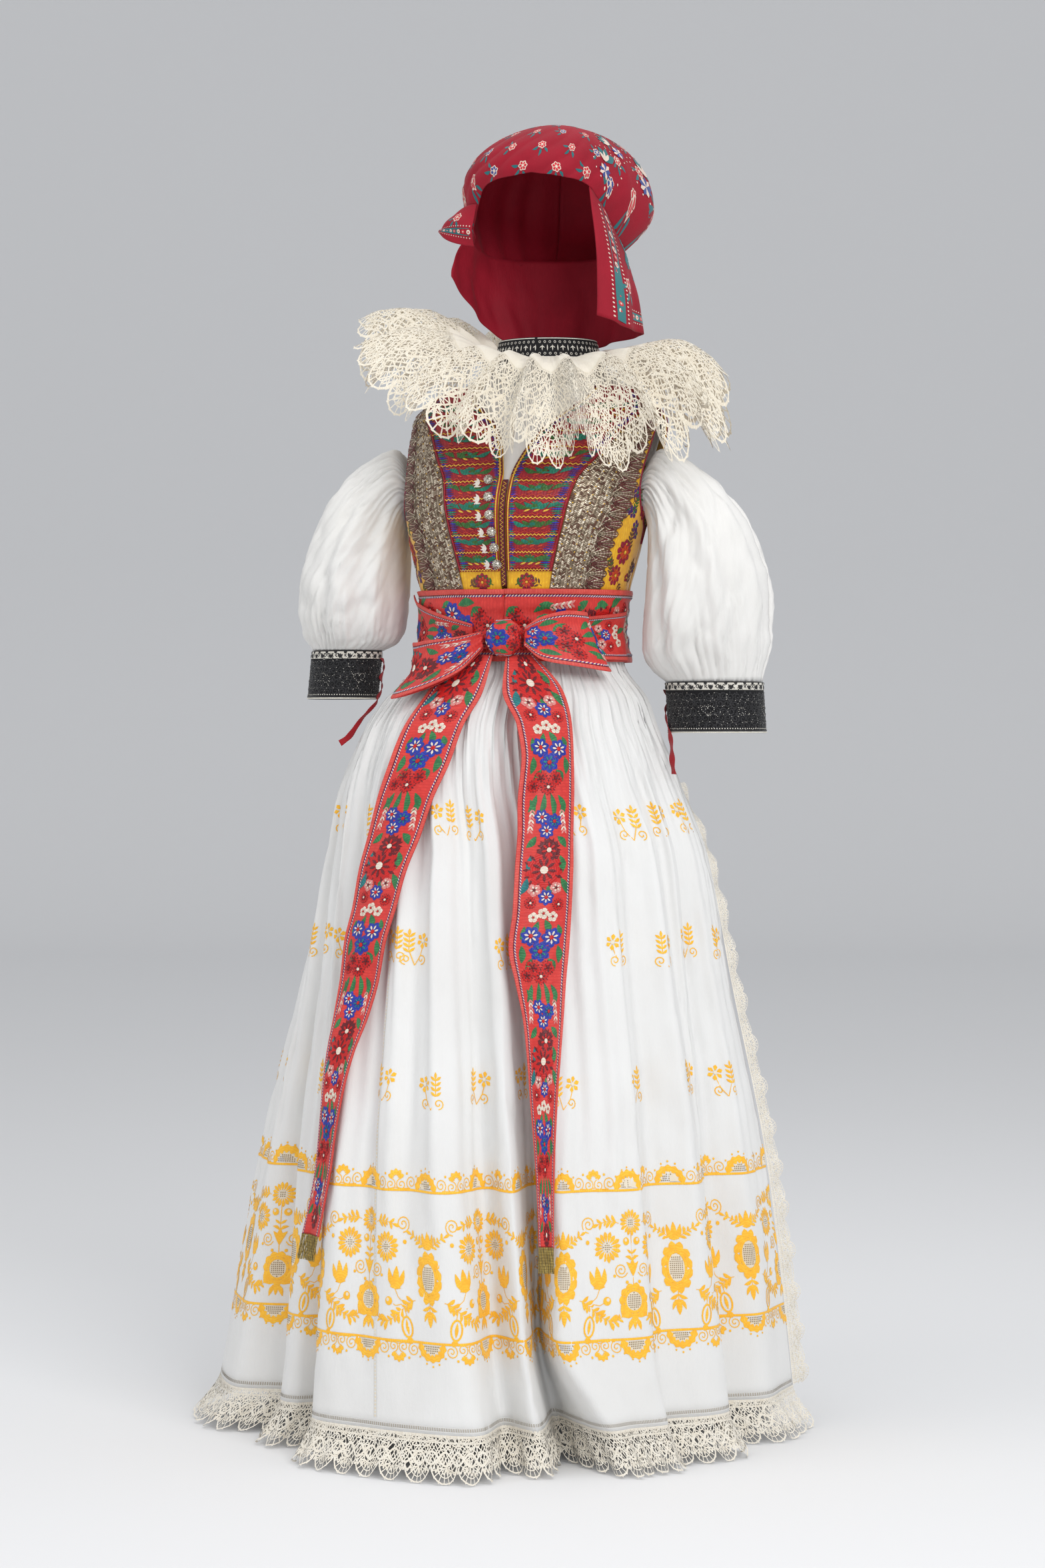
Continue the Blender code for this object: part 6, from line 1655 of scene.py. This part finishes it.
sash = {"width": 0.074, "repeat": 0.236, "thick": 0.0013, "edge": 0.0315}
ribbonGround = threadMaterial("ribbon_ground", (0.68, 0.045, 0.035), (0.56, 0.030, 0.026), 0.0006, 0.5, 0.1,
                              0.25)
coralSilk = threadMaterial("coral_silk", (0.72, 0.10, 0.075), (0.60, 0.06, 0.05), 0.0005)
poppySilk = threadMaterial("poppy_silk", (0.62, 0.008, 0.006), (0.46, 0.006, 0.006), 0.0005)
wineSilk = threadMaterial("wine_silk", (0.17, 0.008, 0.014), (0.10, 0.005, 0.010), 0.0005)
royalSilk = threadMaterial("royal_silk", (0.020, 0.050, 0.42), (0.012, 0.025, 0.26), 0.0005)
leafSilk = threadMaterial("leaf_silk", (0.045, 0.24, 0.075), (0.02, 0.13, 0.045), 0.0005)
creamSilk = threadMaterial("cream_silk", (0.80, 0.72, 0.62), (0.68, 0.57, 0.46), 0.0005)
pinkSilk = threadMaterial("pink_silk", (0.76, 0.30, 0.27), (0.62, 0.19, 0.18), 0.0005)
seaSilk = threadMaterial("sea_silk", (0.015, 0.22, 0.23), (0.008, 0.13, 0.14), 0.0005)
sashThreads = [coralSilk, poppySilk, wineSilk, royalSilk, leafSilk, creamSilk, pinkSilk, seaSilk]
coral, poppy, wine, royal, leafGreen, cream, pink, sea = range(8)
# along the ribbon, across it, size, and the petal, tip and centre colours of each flower in one repeat
ribbonFlowers = (
    (0.006, 0.000, 0.0060, cream, cream, poppy), (0.010, 0.012, 0.0055, cream, cream, poppy),
    (0.011, -0.012, 0.0055, cream, cream, poppy), (0.034, -0.012, 0.0105, royal, cream, poppy),
    (0.036, 0.013, 0.0105, royal, cream, poppy), (0.053, 0.000, 0.0110, royal, sea, poppy),
    (0.073, -0.010, 0.0075, poppy, wine, wine), (0.073, 0.010, 0.0075, poppy, wine, wine),
    (0.084, 0.000, 0.0080, poppy, wine, cream), (0.083, -0.019, 0.0065, poppy, wine, wine),
    (0.122, -0.007, 0.0085, royal, cream, poppy), (0.127, 0.009, 0.0085, royal, sea, poppy),
    (0.139, -0.001, 0.0085, royal, cream, poppy), (0.163, 0.003, 0.0120, wine, poppy, cream),
    (0.188, -0.002, 0.0195, poppy, wine, cream), (0.210, 0.014, 0.0065, pink, cream, wine),
    (0.213, -0.013, 0.0070, pink, cream, wine), (0.222, 0.002, 0.0085, royal, cream, poppy),
    (0.229, -0.017, 0.0060, poppy, wine, cream), (0.231, 0.018, 0.0060, poppy, wine, cream))
# leaves: along, across, angle, length and width
ribbonLeaves = (
    (0.014, 0.003, 20, 0.017, 0.006), (0.016, -0.005, -25, 0.018, 0.006), (0.020, 0.020, 10, 0.014, 0.005),
    (0.022, -0.021, -10, 0.014, 0.005), (0.046, 0.022, 5, 0.018, 0.006), (0.046, -0.022, -5, 0.018, 0.006),
    (0.062, 0.010, 35, 0.014, 0.006), (0.062, -0.010, -35, 0.014, 0.006), (0.092, 0.004, 8, 0.026, 0.005),
    (0.092, -0.004, -12, 0.026, 0.005), (0.094, 0.014, 22, 0.020, 0.005), (0.094, -0.014, -26, 0.020, 0.005),
    (0.100, 0.022, -14, 0.016, 0.005), (0.100, -0.022, 14, 0.016, 0.005), (0.146, 0.014, 40, 0.015, 0.006),
    (0.146, -0.014, -40, 0.015, 0.006), (0.170, 0.018, 10, 0.018, 0.007), (0.170, -0.019, -10, 0.018, 0.007),
    (0.198, 0.020, 25, 0.018, 0.006), (0.198, -0.022, -20, 0.018, 0.006), (0.205, 0.003, 10, 0.014, 0.005))


def ribbonRun(work, start, end, phase=0.0):
    # corded edges and woven flowers over one stretch of the ribbon
    u = np.arange(start, end + 0.001, 0.004)
    for sign in (-1, 1):
        work.strip(pathOf(u, sign * 0.0345), 0.0046, coral, 0.0002, 0.0003, 3)
        work.strip(pathOf(u, sign * sash["edge"]), 0.0010, wine, 0.0003)
        for x in np.arange(start + 0.001, end - 0.004, 0.0036):
            work.petal(x, sign * 0.0300 - 0.001, 38, 0.0040, 0.0014, cream, lift=0.0003, steps=2)
            work.petal(x + 0.0018, sign * 0.0300 - 0.001, 38, 0.0034, 0.0010, royal, lift=0.0003, steps=2)
    for n in range(-1, int((end - start) / sash["repeat"]) + 2):
        base = start + n * sash["repeat"] - phase
        for x, y, angle, long, wide in ribbonLeaves:
            if start < base + x < end - long:
                work.petal(base + x, y, angle, long * 1.2, wide * 1.5,
                           leafGreen if x < 0.15 or y > 0 else sea, 0.45, 0.0002, 0.0004, 0.08)
        for y, sign in ((0.019, 1), (-0.019, -1)):
            for k in range(7):
                x = base + 0.112 + 0.0042 * k
                if start < x < end - 0.007:
                    for lean in (-32, 32):
                        work.petal(x, y + sign * 0.0006 * k, lean, 0.0068, 0.0026, cream if k % 2 else pink,
                                   lift=0.0003, steps=3)
        for x, y, r, petal, tip, centre in ribbonFlowers:
            if not start + r < base + x < end - r:
                continue
            r, count = r * 1.18, 9 if r > 0.015 else 7 if r > 0.0075 else 5
            if petal in (poppy, wine):
                for k in range(16):
                    a = 22.5 * k
                    work.petal(base + x + 0.5 * r * cos(radians(a)), y + 0.5 * r * sin(radians(a)), a,
                               r * 0.62, r * 0.2, wine,
                               0.6, 0.0003, 0.0003, steps=3)
            for k in range(count):
                a = 360 * k / count + x * 3000
                fx, fy = cos(radians(a)), sin(radians(a))
                work.petal(base + x + 0.15 * r * fx, y + 0.15 * r * fy, a, r * 0.88, r * 4.6 / count, petal,
                           0.68, 0.0004, 0.0005)
                work.petal(base + x + 0.2 * r * fx, y + 0.2 * r * fy, a, r * 0.48, r * 1.5 / count, tip, 0.6,
                           0.0010, 0.0003, steps=3)
            work.disc(base + x, y, r * 0.22, centre, lift=0.0013, sides=9)


def ribbonPiece(name, points, length, phase, *nodes, run=None):
    # rows across the ribbon's width and columns along it, worked with the woven flowers
    us = np.linspace(0, length, points.shape[1])
    vs = np.linspace(-sash["width"] / 2, sash["width"] / 2, points.shape[0])
    cloth = Cloth(points, us, vs)
    piece = hold(clothObject(name, cloth, ribbonGround, sash["thick"]), "ribbon", *nodes)
    work = Needlework()
    ribbonRun(work, *(run or (0.0, length)), phase)
    hold(work.sew(f"{name}_flowers", cloth, sashThreads), "ribbon")
    return piece


def polarAt(angle, radius, height):
    turn = np.radians(angle)
    return np.stack([radius * np.sin(turn), -radius * np.cos(turn), height + 0 * turn], -1)


def bowPoints(rows, flip):
    # one loop of the bow, out from the knot and back behind itself
    table = tableOf([(float(n),) + row for n, row in enumerate(rows)])
    t = np.linspace(0, len(rows) - 1, 90)[None, :]
    across = np.linspace(0, 1, 22)[:, None]
    across = 1 - across if flip else across
    upperAngle, lowerAngle, out, upper, lower = (column(t) for column in table)
    angle, height = mix(upperAngle, lowerAngle, across), mix(upper, lower, across)
    near = np.clip(1 - np.abs(t - 0) / 1.6, 0, 1) + np.clip(1 - np.abs(t - len(rows) + 1) / 1.6, 0, 1)
    crease = 0.0016 * np.sin(across * 15 + t * 0.5) * (0.35 + near) + 0.0009 * wander(t * 1.3 + across * 2,
                                                                                      3.0)
    low = np.linalg.norm(onFigure(angle, np.maximum(height, 0.941), 0.0078)[..., :2], axis=-1)
    return polarAt(angle, np.maximum(low, baseRadius(angle, height) + 0.006) + out + crease, height)


bowRight = ((-10.5, -9.5, .0230, .979, .958), (-28, -20, .0230, .972, .932), (-46, -36, .0210, .969, .908),
            (-56, -45, .0200, .967, .899), (-59.5, -48.5, .0175, .967, .898),
            (-59.5, -48.5, .0125, .967, .898),
            (-56, -45, .0105, .968, .900), (-42, -33, .0105, .970, .912), (-24, -18, .0122, .974, .940),
            (-11, -10.5, .0155, .976, .956))
bowLeft = ((14.5, 14, .0220, .984, .962), (24, 24, .0230, .997, .944), (38, 43, .0210, 1.004, .936),
           (47, 58, .0170, 1.003, .931), (49.5, 60.5, .0125, 1.002, .931), (45, 56, .0034, 1.000, .934),
           (32, 38, .0028, .995, .944), (21, 23, .0100, .988, .954), (15.5, 15, .0150, .982, .964))


def tailCloth(word):
    # the ribbon's end hangs where its solid does: level rows of five outer points, made fine and given soft folds
    corners = np.array([v.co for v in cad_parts[f"sash_tail_{word}"].data.vertices])
    corners = np.unique(np.round(corners, 5), axis=0)
    corners = corners[np.argsort(-corners[:, 2])]
    rows = np.split(corners, np.where(-np.diff(corners[:, 2]) > 0.004)[0] + 1)
    outer = []
    for row in rows:
        row = row[np.argsort(row[:, 0])]
        pairs = [row[2 * n:2 * n + 2] for n in range(len(row) // 2)]
        line = np.array([max(pair, key=lambda p: np.hypot(p[0], p[1])) for pair in pairs])
        at = np.linspace(0, len(line) - 1, 5)
        outer.append(np.stack([np.interp(at, np.arange(len(line)), line[:, k]) for k in range(3)], -1))
    outer = np.array(outer)
    along = np.linspace(0, len(outer) - 1, 150)
    fine = np.stack([[curveOf(np.arange(len(outer)) * 1.0,
                              outer[:, c, k])(along) for c in range(5)] for k in range(3)], -1)
    share = np.linspace(0, 4, 21)
    grid = np.stack([[np.interp(share, np.arange(5),
                                fine[:, n, k]) for n in range(len(along))] for k in range(3)], -1)
    grid = np.transpose(grid, (1, 0, 2)) + np.array([0, 0, waistHeight])
    seed = 2.0 if word == "right" else 7.0
    fold = 0.0018 + 0.0016 * np.sin(share[:, None] * 1.9 + along * 0.35
                                    + seed) + 0.0012 * wander(along * 0.6 + share[:, None], seed)
    away = unit(grid * np.array([1, 1, 0]))
    return grid + away * fold[..., None]


def makeSash():
    angles = np.linspace(0, 360, 161)
    heights = np.linspace(0.9415, 1.0330, 20)
    crease = 0.0009 * wander(angles[None, :] * 0.08 + heights[:, None] * 60,
                             2.0) + 0.0010 * np.sin(heights[:, None] * 330 + angles * 0.02)
    ring = onFigure(angles[None, :], heights[:, None] + 0 * angles, 0.0078 + crease)
    around = float(np.linalg.norm(np.diff(ring[17], axis=0), axis=1).sum())
    ribbonPiece("sash_round", ring, around, 0.06, "sash_round_waist")
    for word, low, high, a, b, phase in (("right", -81.0, -18.0, 1.030, 0.990, 0.03),
                                         ("left", 18.0, 81.0, 0.992, 1.008, 0.12)):
        angles = np.linspace(low, high, 48)
        share = np.linspace(0, 1, 16)[:, None]
        top = np.linspace(a, b, 48)[None, :]
        height = mix(0.9425, top, share)
        out = 0.0115 + 0.0012 * np.sin(share * 11 + angles * 0.05) + 0.0010 * wander(share * 3
                                                                                     + angles * 0.08, 5.0)
        out = out + 0.0015 * ease((share - 0.85) / 0.15)
        points = onFigure(angles[None, :], height, out)
        ribbonPiece(f"sash_over_{word}_ribbon", points, 0.150, phase, f"sash_over_{word}")
    ribbonPiece("bow_right_ribbon", bowPoints(bowRight, False), 0.265, 0.10, "bow_loop_right")
    ribbonPiece("bow_left_ribbon", bowPoints(bowLeft, True), 0.245, 0.02, "bow_loop_left")
    centre = onFigure(np.array(2.0), np.array(0.966), 0.0270)
    turn = np.linspace(-pi, pi, 61)[None, :]
    tilt = np.radians(np.linspace(-86, 86, 31))[:, None]
    size = 1 + 0.07 * np.sin(3 * turn + 4 * tilt) + 0.035 * np.sin(11 * turn + 2 * tilt)
    knot = centre + np.stack([0.021 * np.sin(turn) * np.cos(tilt) ** 0.8 * size,
                              -0.0125 * np.cos(turn) * np.cos(tilt) ** 0.8 * size,
                              0.022 * np.sin(tilt) * (1 + 0.04 * np.sin(2 * turn))], -1)
    ribbonPiece("sash_knot_ribbon", knot, 0.115, 0.005, "sash_knot", run=(0.005, 0.11))
    for word in ("right", "left"):
        grid = tailCloth(word)
        length = float(np.linalg.norm(np.diff(grid[10], axis=0), axis=1).sum())
        ribbonPiece(f"sash_tail_{word}_ribbon", grid, length, 0.15, f"sash_tail_{word}")
        # the fringe hangs from the end as fine strands of olive gold
        end = grid[:, -1]
        away = unit(end * np.array([1, 1, 0])) * 0.22
        drop = np.linspace(0.0285, -0.003, 9)[None, :, None]
        points = end[:, None] + (away[:, None] + np.array([0, 0, -1.0])) * drop
        us = lengthsAlong(end)
        fringe = Cloth(np.transpose(points, (1, 0, 2)), us, np.linspace(-0.0285, 0.003, 9))
        work = Needlework()
        for n, x in enumerate(np.linspace(0.0006, us[-1] - 0.0006, 54)):
            v = np.linspace(0.001, -0.0265 - 0.002 * (n * 7 % 3), 9)
            sway = 0.0006 * np.sin(v * 260 + n * 1.7) + 0.0012 * sin(n * 2.3) * (v / 0.028) ** 2
            work.strip(pathOf(x + sway, v), 0.0011, n % 2, 0.0004 * (n % 3), 0.0005, 3)
        piece = work.sew(f"sash_fringe_{word}_strands", fringe, [fringeGold, fringeDark])
        hold(piece, "gold_thread", f"sash_fringe_{word}")


fringeGold = threadMaterial("fringe_gold", (0.42, 0.30, 0.075), (0.28, 0.19, 0.045), 0.0005, 0.4, 0.1, 0.5,
                            0.3)
fringeDark = threadMaterial("fringe_olive", (0.22, 0.17, 0.05), (0.14, 0.10, 0.03), 0.0005, 0.5, 0.1, 0.5,
                            0.2)
makeSash()
say("sash, bow and fringes")


# the printed headscarf: crown, curtain over the neck, and the folded corner at the ear

scarf = {"headX": 0.022, "headY": 0.012, "turn": 5.0, "top": 1.609, "thick": 0.0012}
crownRows = tableOf((
    (0, .096, 1.538, .099, 1.548), (40, .092, 1.529, .096, 1.542), (65, .086, 1.503, .098, 1.534),
    (88, .090, 1.474, .112, 1.524), (115, .102, 1.456, .143, 1.512), (150, .108, 1.450, .148, 1.508),
    (180, .106, 1.450, .138, 1.508), (210, .102, 1.450, .124, 1.510), (245, .096, 1.456, .110, 1.518),
    (272, .088, 1.474, .100, 1.526), (295, .086, 1.503, .098, 1.534), (320, .092, 1.529, .096, 1.542),
    (360, .096, 1.538, .099, 1.548)))
curtainRows = tableOf((
    (47, .0935, 1.5178, .106, 1.366), (62, .0900, 1.5018, .114, 1.357), (76, .0900, 1.4838, .121, 1.353),
    (90, .0940, 1.4698, .122, 1.352), (106, .1010, 1.4558, .116, 1.350), (122, .1120, 1.4538, .100, 1.346),
    (138, .1100, 1.4493, .090, 1.341), (154, .1080, 1.4493, .078, 1.337), (172, .1060, 1.4493, .072, 1.335),
    (190, .1040, 1.4493, .071, 1.335), (208, .1020, 1.4493, .074, 1.338), (226, .0980, 1.4493, .082, 1.352),
    (244, .0960, 1.4538, .092, 1.372), (260, .0920, 1.4578, .104, 1.396), (276, .0940, 1.4718, .114, 1.425)))
scarfCotton = wovenMaterial("scarf_cotton", (0.34, 0.006, 0.022), (0.25, 0.004, 0.016), 750.0, 0.7, 0.04, 0.2,
                            14.0, crease=0.35)
printCream = wovenMaterial("print_cream", (0.78, 0.66, 0.55), (0.66, 0.50, 0.42), 750.0, 0.75)
printTeal = wovenMaterial("print_teal", (0.012, 0.17, 0.18), (0.008, 0.11, 0.13), 750.0, 0.75)
printBlue = wovenMaterial("print_blue", (0.05, 0.08, 0.30), (0.03, 0.05, 0.20), 750.0, 0.75)
printRed = wovenMaterial("print_red", (0.62, 0.020, 0.035), (0.48, 0.012, 0.03), 750.0, 0.75)
printColours = [printCream, printTeal, printBlue, printRed]
inkCream, inkTeal, inkBlue, inkRed = range(4)


def scarfPoint(angle, radius, height, shift=0.0):
    turn = np.radians(angle + scarf["turn"])
    return np.stack([scarf["headX"] + shift + radius * np.sin(turn), scarf["headY"] - radius * np.cos(turn),
                     height + 0 * turn], -1)


def scarfSprig(work, x, y, r, angle=90.0, wide=1.0, petal=3):
    # a flower outlined in cream with three teal leaves, stretched where the cloth narrows
    flower = Needlework()
    for k in range(6):
        a = 60 * k + angle
        fx, fy = cos(radians(a)), sin(radians(a))
        flower.petal(0.1 * r * fx, 0.1 * r * fy, a, r * 0.95, r * 0.80, inkCream, 0.62, 0.0002, 0.0001)
        flower.petal(0.2 * r * fx, 0.2 * r * fy, a, r * 0.66, r * 0.52, petal, 0.62, 0.0003, 0.0001)
    flower.disc(0, 0, r * 0.26, inkCream, lift=0.0005, crown=0.0001, sides=8)
    for turn, long in ((205, 1.5), (250, 1.7), (300, 1.4)):
        way = radians(turn + angle - 90)
        flower.petal(r * cos(way), r * sin(way), degrees(way), long * r, r * 0.6, inkTeal, 0.4, 0.0002,
                     0.0001, 0.1)
    work.place(flower, x, y, wide)


def scarfBorder(work, start, end):
    # a dotted cream line, a teal stripe with dots, and a second dotted line, above the plain edge
    u = np.arange(start, end, 0.004)
    work.strip(pathOf(u, 0.0165), 0.0088, inkTeal, 0.0002)
    for n, x in enumerate(np.arange(start + 0.003, end - 0.003, 0.0075)):
        work.disc(x, 0.0165, 0.0027, inkCream if n % 2 else inkRed, lift=0.0003, crown=0.0001, sides=9)
        work.disc(x, 0.0165, 0.0010, inkRed if n % 2 else inkCream, lift=0.0005, crown=0.0001, sides=7)
    for x in np.arange(start + 0.002, end - 0.002, 0.0042):
        for line in (0.0095, 0.0235):
            work.disc(x, line, 0.0009, inkCream, lift=0.0002, crown=0.0001, sides=6)


def makeScarf():
    angles = np.linspace(-180, 180, 181)[None, :]
    rise = np.concatenate([np.linspace(-1, 0, 10)[:-1], np.linspace(0, 1, 38)])[:, None]
    rimRadius, rimHeight, fullRadius, fullHeight = (column(angles % 360.0) for column in crownRows)
    tilt = np.radians(87.0) * np.clip(rise, 0, 1)
    full = np.where(rise < 0, np.sin(pi / 2 * (1 + rise)), 1.0)
    radius = mix(rimRadius, fullRadius, full) * np.cos(tilt)
    height = np.where(rise < 0, mix(rimHeight, fullHeight, 1 + rise),
                      mix(fullHeight, scarf["top"], np.sin(tilt)))
    arc = angles / 180.0 * pi * 0.11
    slant = (height - 1.53) * 0.80 - arc * 0.52 + 0.004 * wander(arc * 22 + height * 9, 3.0)
    front = ease(1.25 - np.abs(angles + 15) / 110)
    folds = 0.0030 * front * np.abs(np.sin(pi * slant / 0.021)) ** 0.7
    gathered = 0.0026 * ease(np.abs(angles) / 90 - 0.5) * np.sin(np.radians(angles) * 17
                                                                 + 2 * wander(arc * 18,
                                                                              5.0)) * ease(1.2 - rise * 1.4)
    radius = radius + (folds + gathered - 0.0012) * np.cos(tilt)
    points = scarfPoint(angles, radius, height, 0.018 * np.sin(tilt) ** 2 * (rise > 0))
    rims = lengthsAlong(points[:, 90])
    crown = Cloth(points, angles[0] / 180 * pi * 0.115, rims)
    hold(clothObject("headscarf_crown", crown, scarfCotton, scarf["thick"]), "scarf_red", "scarf_crown")
    work = Needlework()
    for row, (y, count,
              wide) in enumerate(((0.010, 15, 1.1), (0.038, 15, 1.0), (0.070, 13, 1.15), (0.102, 9, 1.7))):
        for n in range(-count // 2, count // 2 + 1):
            x = (n + 0.5 * (row % 2)) * 0.72 / count - 0.012
            if abs(x) < 0.345:
                scarfSprig(work, x, y, 0.0062, 60 + 50 * sin(n * 2.1 + row), wide,
                           inkBlue if (n + row) % 4 == 3 else inkRed)
    # at the wearer's left and behind: larger leaves, flowers and rings of dots
    for x, y, turn in ((0.125, 0.030, 70), (0.160, 0.062, 120), (0.215, 0.035, 60), (0.265, 0.070, 100),
                       (-0.24, 0.04, 80), (-0.30, 0.07, 110)):
        bloom = Needlework()
        for lean in (-42, 0, 42):
            bloom.petal(0, 0, turn + lean, 0.021, 0.0105, inkTeal, 0.5, 0.0006, 0.0001)
            bloom.petal(0, 0, turn + lean + 21, 0.014, 0.0050, inkCream, 0.5, 0.0009, 0.0001)
        for k in range(9):
            a = 40 * k
            bloom.petal(-0.012 * cos(radians(turn)), -0.012 * sin(radians(turn)), a, 0.0088, 0.0046,
                        inkCream if k % 2 else inkBlue, 0.6, 0.0008, 0.0001)
        for k in range(14):
            a = 2 * pi * k / 14
            bloom.disc(0.003 + 0.024 * cos(a), 0.024 * sin(a), 0.0010, inkCream, lift=0.0006, crown=0.0001,
                       sides=6)
        work.place(bloom, x, y, 1.25)
    hold(work.sew("headscarf_crown_print", crown, printColours), "scarf_red")

    angles = np.linspace(47, 276, 130)[None, :]
    share = np.linspace(1, 0, 30)[:, None]
    topRadius, topHeight, lowRadius, lowHeight = (column(angles) for column in curtainRows)
    radius = mix(topRadius - 0.0022, lowRadius,
                 share) + 0.006 * np.sin(pi * share) + 0.0035 * np.sin(np.radians(8 * angles)) * share
    radius = radius + 0.0016 * np.sin(np.radians(angles) * 19
                                      + 2 * share) * share + 0.0010 * wander(angles * 0.1 + share * 4, 8.0)
    curtain = Cloth(scarfPoint(angles, radius, mix(topHeight + 0.007, lowHeight, share)),
                    np.linspace(0, 0.40, 130), np.linspace(0, 0.118, 30))
    hold(clothObject("headscarf_curtain", curtain, scarfCotton, scarf["thick"]), "scarf_red", "scarf_curtain")
    work = Needlework()
    scarfBorder(work, 0.060, 0.397)
    upright = Needlework()
    scarfBorder(upright, 0.003, 0.116)
    work.place(upright, 0.000, 0.0, 1.9, turned=True)
    for n in range(9):
        scarfSprig(work, 0.055 + n * 0.040, 0.047 + 0.032 * (n % 2), 0.0085, 80 + 30 * sin(n * 1.7),
                   petal=inkBlue if n % 3 == 1 else inkRed)
    for n, (x, y, turn) in enumerate(((0.065, 0.070, 60), (0.085, 0.085, 110), (0.175, 0.090, 80),
                                      (0.260, 0.088, 100), (0.345, 0.080, 70))):
        leafSpray(work, x, y, turn, 0.020, 0.0085, inkTeal, 4)
    hold(work.sew("headscarf_curtain_print", curtain, printColours), "scarf_red")

    low = np.array([(-.1040, -.0160, 1.4780), (-.0830, -.0330, 1.4640), (-.0540, -.0400, 1.4560)])
    high = np.array([(-.0960, -.0100, 1.4890), (-.0760, -.0270, 1.5050), (-.0499, -.0386, 1.5084)])
    keys = np.stack([low, (low + high) / 2 + np.array([-.002, -.007, 0]), high])
    spread = lambda n: np.stack([2 * (n - .5) * (n - 1), -4 * n * (n - 1), 2 * n * (n - .5)])
    s = np.linspace(0, 1, 30)
    points = np.einsum("rn,rck,cm->nmk", spread(s), keys, spread(s))
    flare = Cloth(points, s * 0.062, s * 0.050)
    points = points + flare.normals * (0.0012 * np.sin(s[:, None] * 9 + s[None, :] * 5))[..., None]
    flare = Cloth(points, s * 0.062, s * 0.050)
    hold(clothObject("headscarf_corner", flare, scarfCotton, scarf["thick"]), "scarf_red", "scarf_flare")
    work = Needlework()
    scarfBorder(work, 0.002, 0.061)
    scarfSprig(work, 0.036, 0.036, 0.0065, 70)
    hold(work.sew("headscarf_corner_print", flare, printColours), "scarf_red")


makeScarf()
say("headscarf")


# the cut size of every sheet: width, length, how it is held, what it lies on, what is sewn to it, and its flat area
cuts = {
    "apron_cloth": (1.62, 0.934, "gathered", "sash_round",
                    ("apron_embroidery", "apron_hemstitch", "apron_seam", "apron_hem_lace",
                    "apron_edge_lace_right", "apron_edge_lace_left"), 0),
    "skirt_back_cloth": (1.25, 0.934, "gathered", "sash_round", ("skirt_hemstitch", "skirt_hem_lace"), 0),
    "ruff_pleated_cloth": (1.05, 0.058, "gathered", "neck_band_cloth", ("ruff_lace",), 0),
    "sleeve_right_cloth": (0.45, 0.27, "gathered", "cuff_right_band", (), 0),
    "sleeve_left_cloth": (0.49, 0.31, "gathered", "cuff_left_band", (), 0),
    "cuff_right_band": (0.272, 0.060, "laid", "sleeve_right_cloth", ("cuff_right_embroidery",), 0),
    "cuff_left_band": (0.333, 0.062, "laid", "sleeve_left_cloth", ("cuff_left_embroidery",), 0),
    "tie_right_tape": (0.010, 0.120, "hung", "cuff_right_band", (), 0.00096),
    "tie_left_tape": (0.010, 0.105, "hung", "cuff_left_band", (), 0.00084),
    "blouse_front_cloth": (0.36, 0.166, "laid", "vest_front_left_cloth", (), 0),
    "blouse_back_cloth": (0.34, 0.127, "laid", "vest_back_cloth", (), 0),
    "neck_band_cloth": (0.385, 0.027, "laid", "blouse_front_cloth", ("neck_band_stitches",), 0),
    "vest_front_right_cloth": (0.235, 0.294, "laid", "blouse_front_cloth", ("vest_front_right_flowers",),
                               0.0535),
    "vest_front_left_cloth": (0.235, 0.294, "laid", "blouse_front_cloth", ("vest_front_left_flowers",),
                              0.0535),
    "vest_back_cloth": (0.42, 0.294, "laid", "blouse_back_cloth", ("vest_back_flowers",), 0.113),
    "plastron_right": (0.12, 0.232, "laid", "vest_front_right_cloth", ("plastron_right_embroidery",), 0.0205),
    "plastron_left": (0.12, 0.232, "laid", "vest_front_left_cloth", ("plastron_left_embroidery",), 0.0205),
    "gold_lace_right_ground": (0.085, 0.295, "laid", "vest_front_right_cloth", ("gold_lace_right",), 0.0195),
    "gold_lace_left_ground": (0.085, 0.295, "laid", "vest_front_left_cloth", ("gold_lace_left",), 0.0195),
    "placket_band": (0.010, 0.124, "laid", "vest_front_right_cloth", ("placket_zigzag",), 0.0009),
    "sash_round": (0.735, 0.092, "laid", "vest_back_cloth", ("sash_round_flowers",), 0),
    "sash_over_right_ribbon": (0.125, 0.074, "folded", "sash_round", ("sash_over_right_ribbon_flowers",), 0),
    "sash_over_left_ribbon": (0.125, 0.074, "folded", "sash_round", ("sash_over_left_ribbon_flowers",), 0),
    "bow_right_ribbon": (0.22, 0.074, "folded", "sash_knot_ribbon", ("bow_right_ribbon_flowers",), 0),
    "bow_left_ribbon": (0.18, 0.074, "folded", "sash_knot_ribbon", ("bow_left_ribbon_flowers",), 0),
    "sash_knot_ribbon": (0.07, 0.074, "folded", "sash_round", ("sash_knot_ribbon_flowers",), 0),
    "sash_tail_right_ribbon": (0.074, 0.73, "hung", "sash_knot_ribbon",
                               ("sash_tail_right_ribbon_flowers", "sash_fringe_right_strands"), 0),
    "sash_tail_left_ribbon": (0.074, 0.71, "hung", "sash_knot_ribbon",
                              ("sash_tail_left_ribbon_flowers", "sash_fringe_left_strands"), 0),
    "headscarf_crown": (0.34, 0.32, "draped", "headscarf_curtain", ("headscarf_crown_print",), 0),
    "headscarf_curtain": (0.40, 0.118, "hung", "headscarf_crown", ("headscarf_curtain_print",), 0),
    "headscarf_corner": (0.055, 0.048, "folded", "headscarf_crown", ("headscarf_corner_print",), 0),
}
say(f"{len(cuts)} sheets declared")
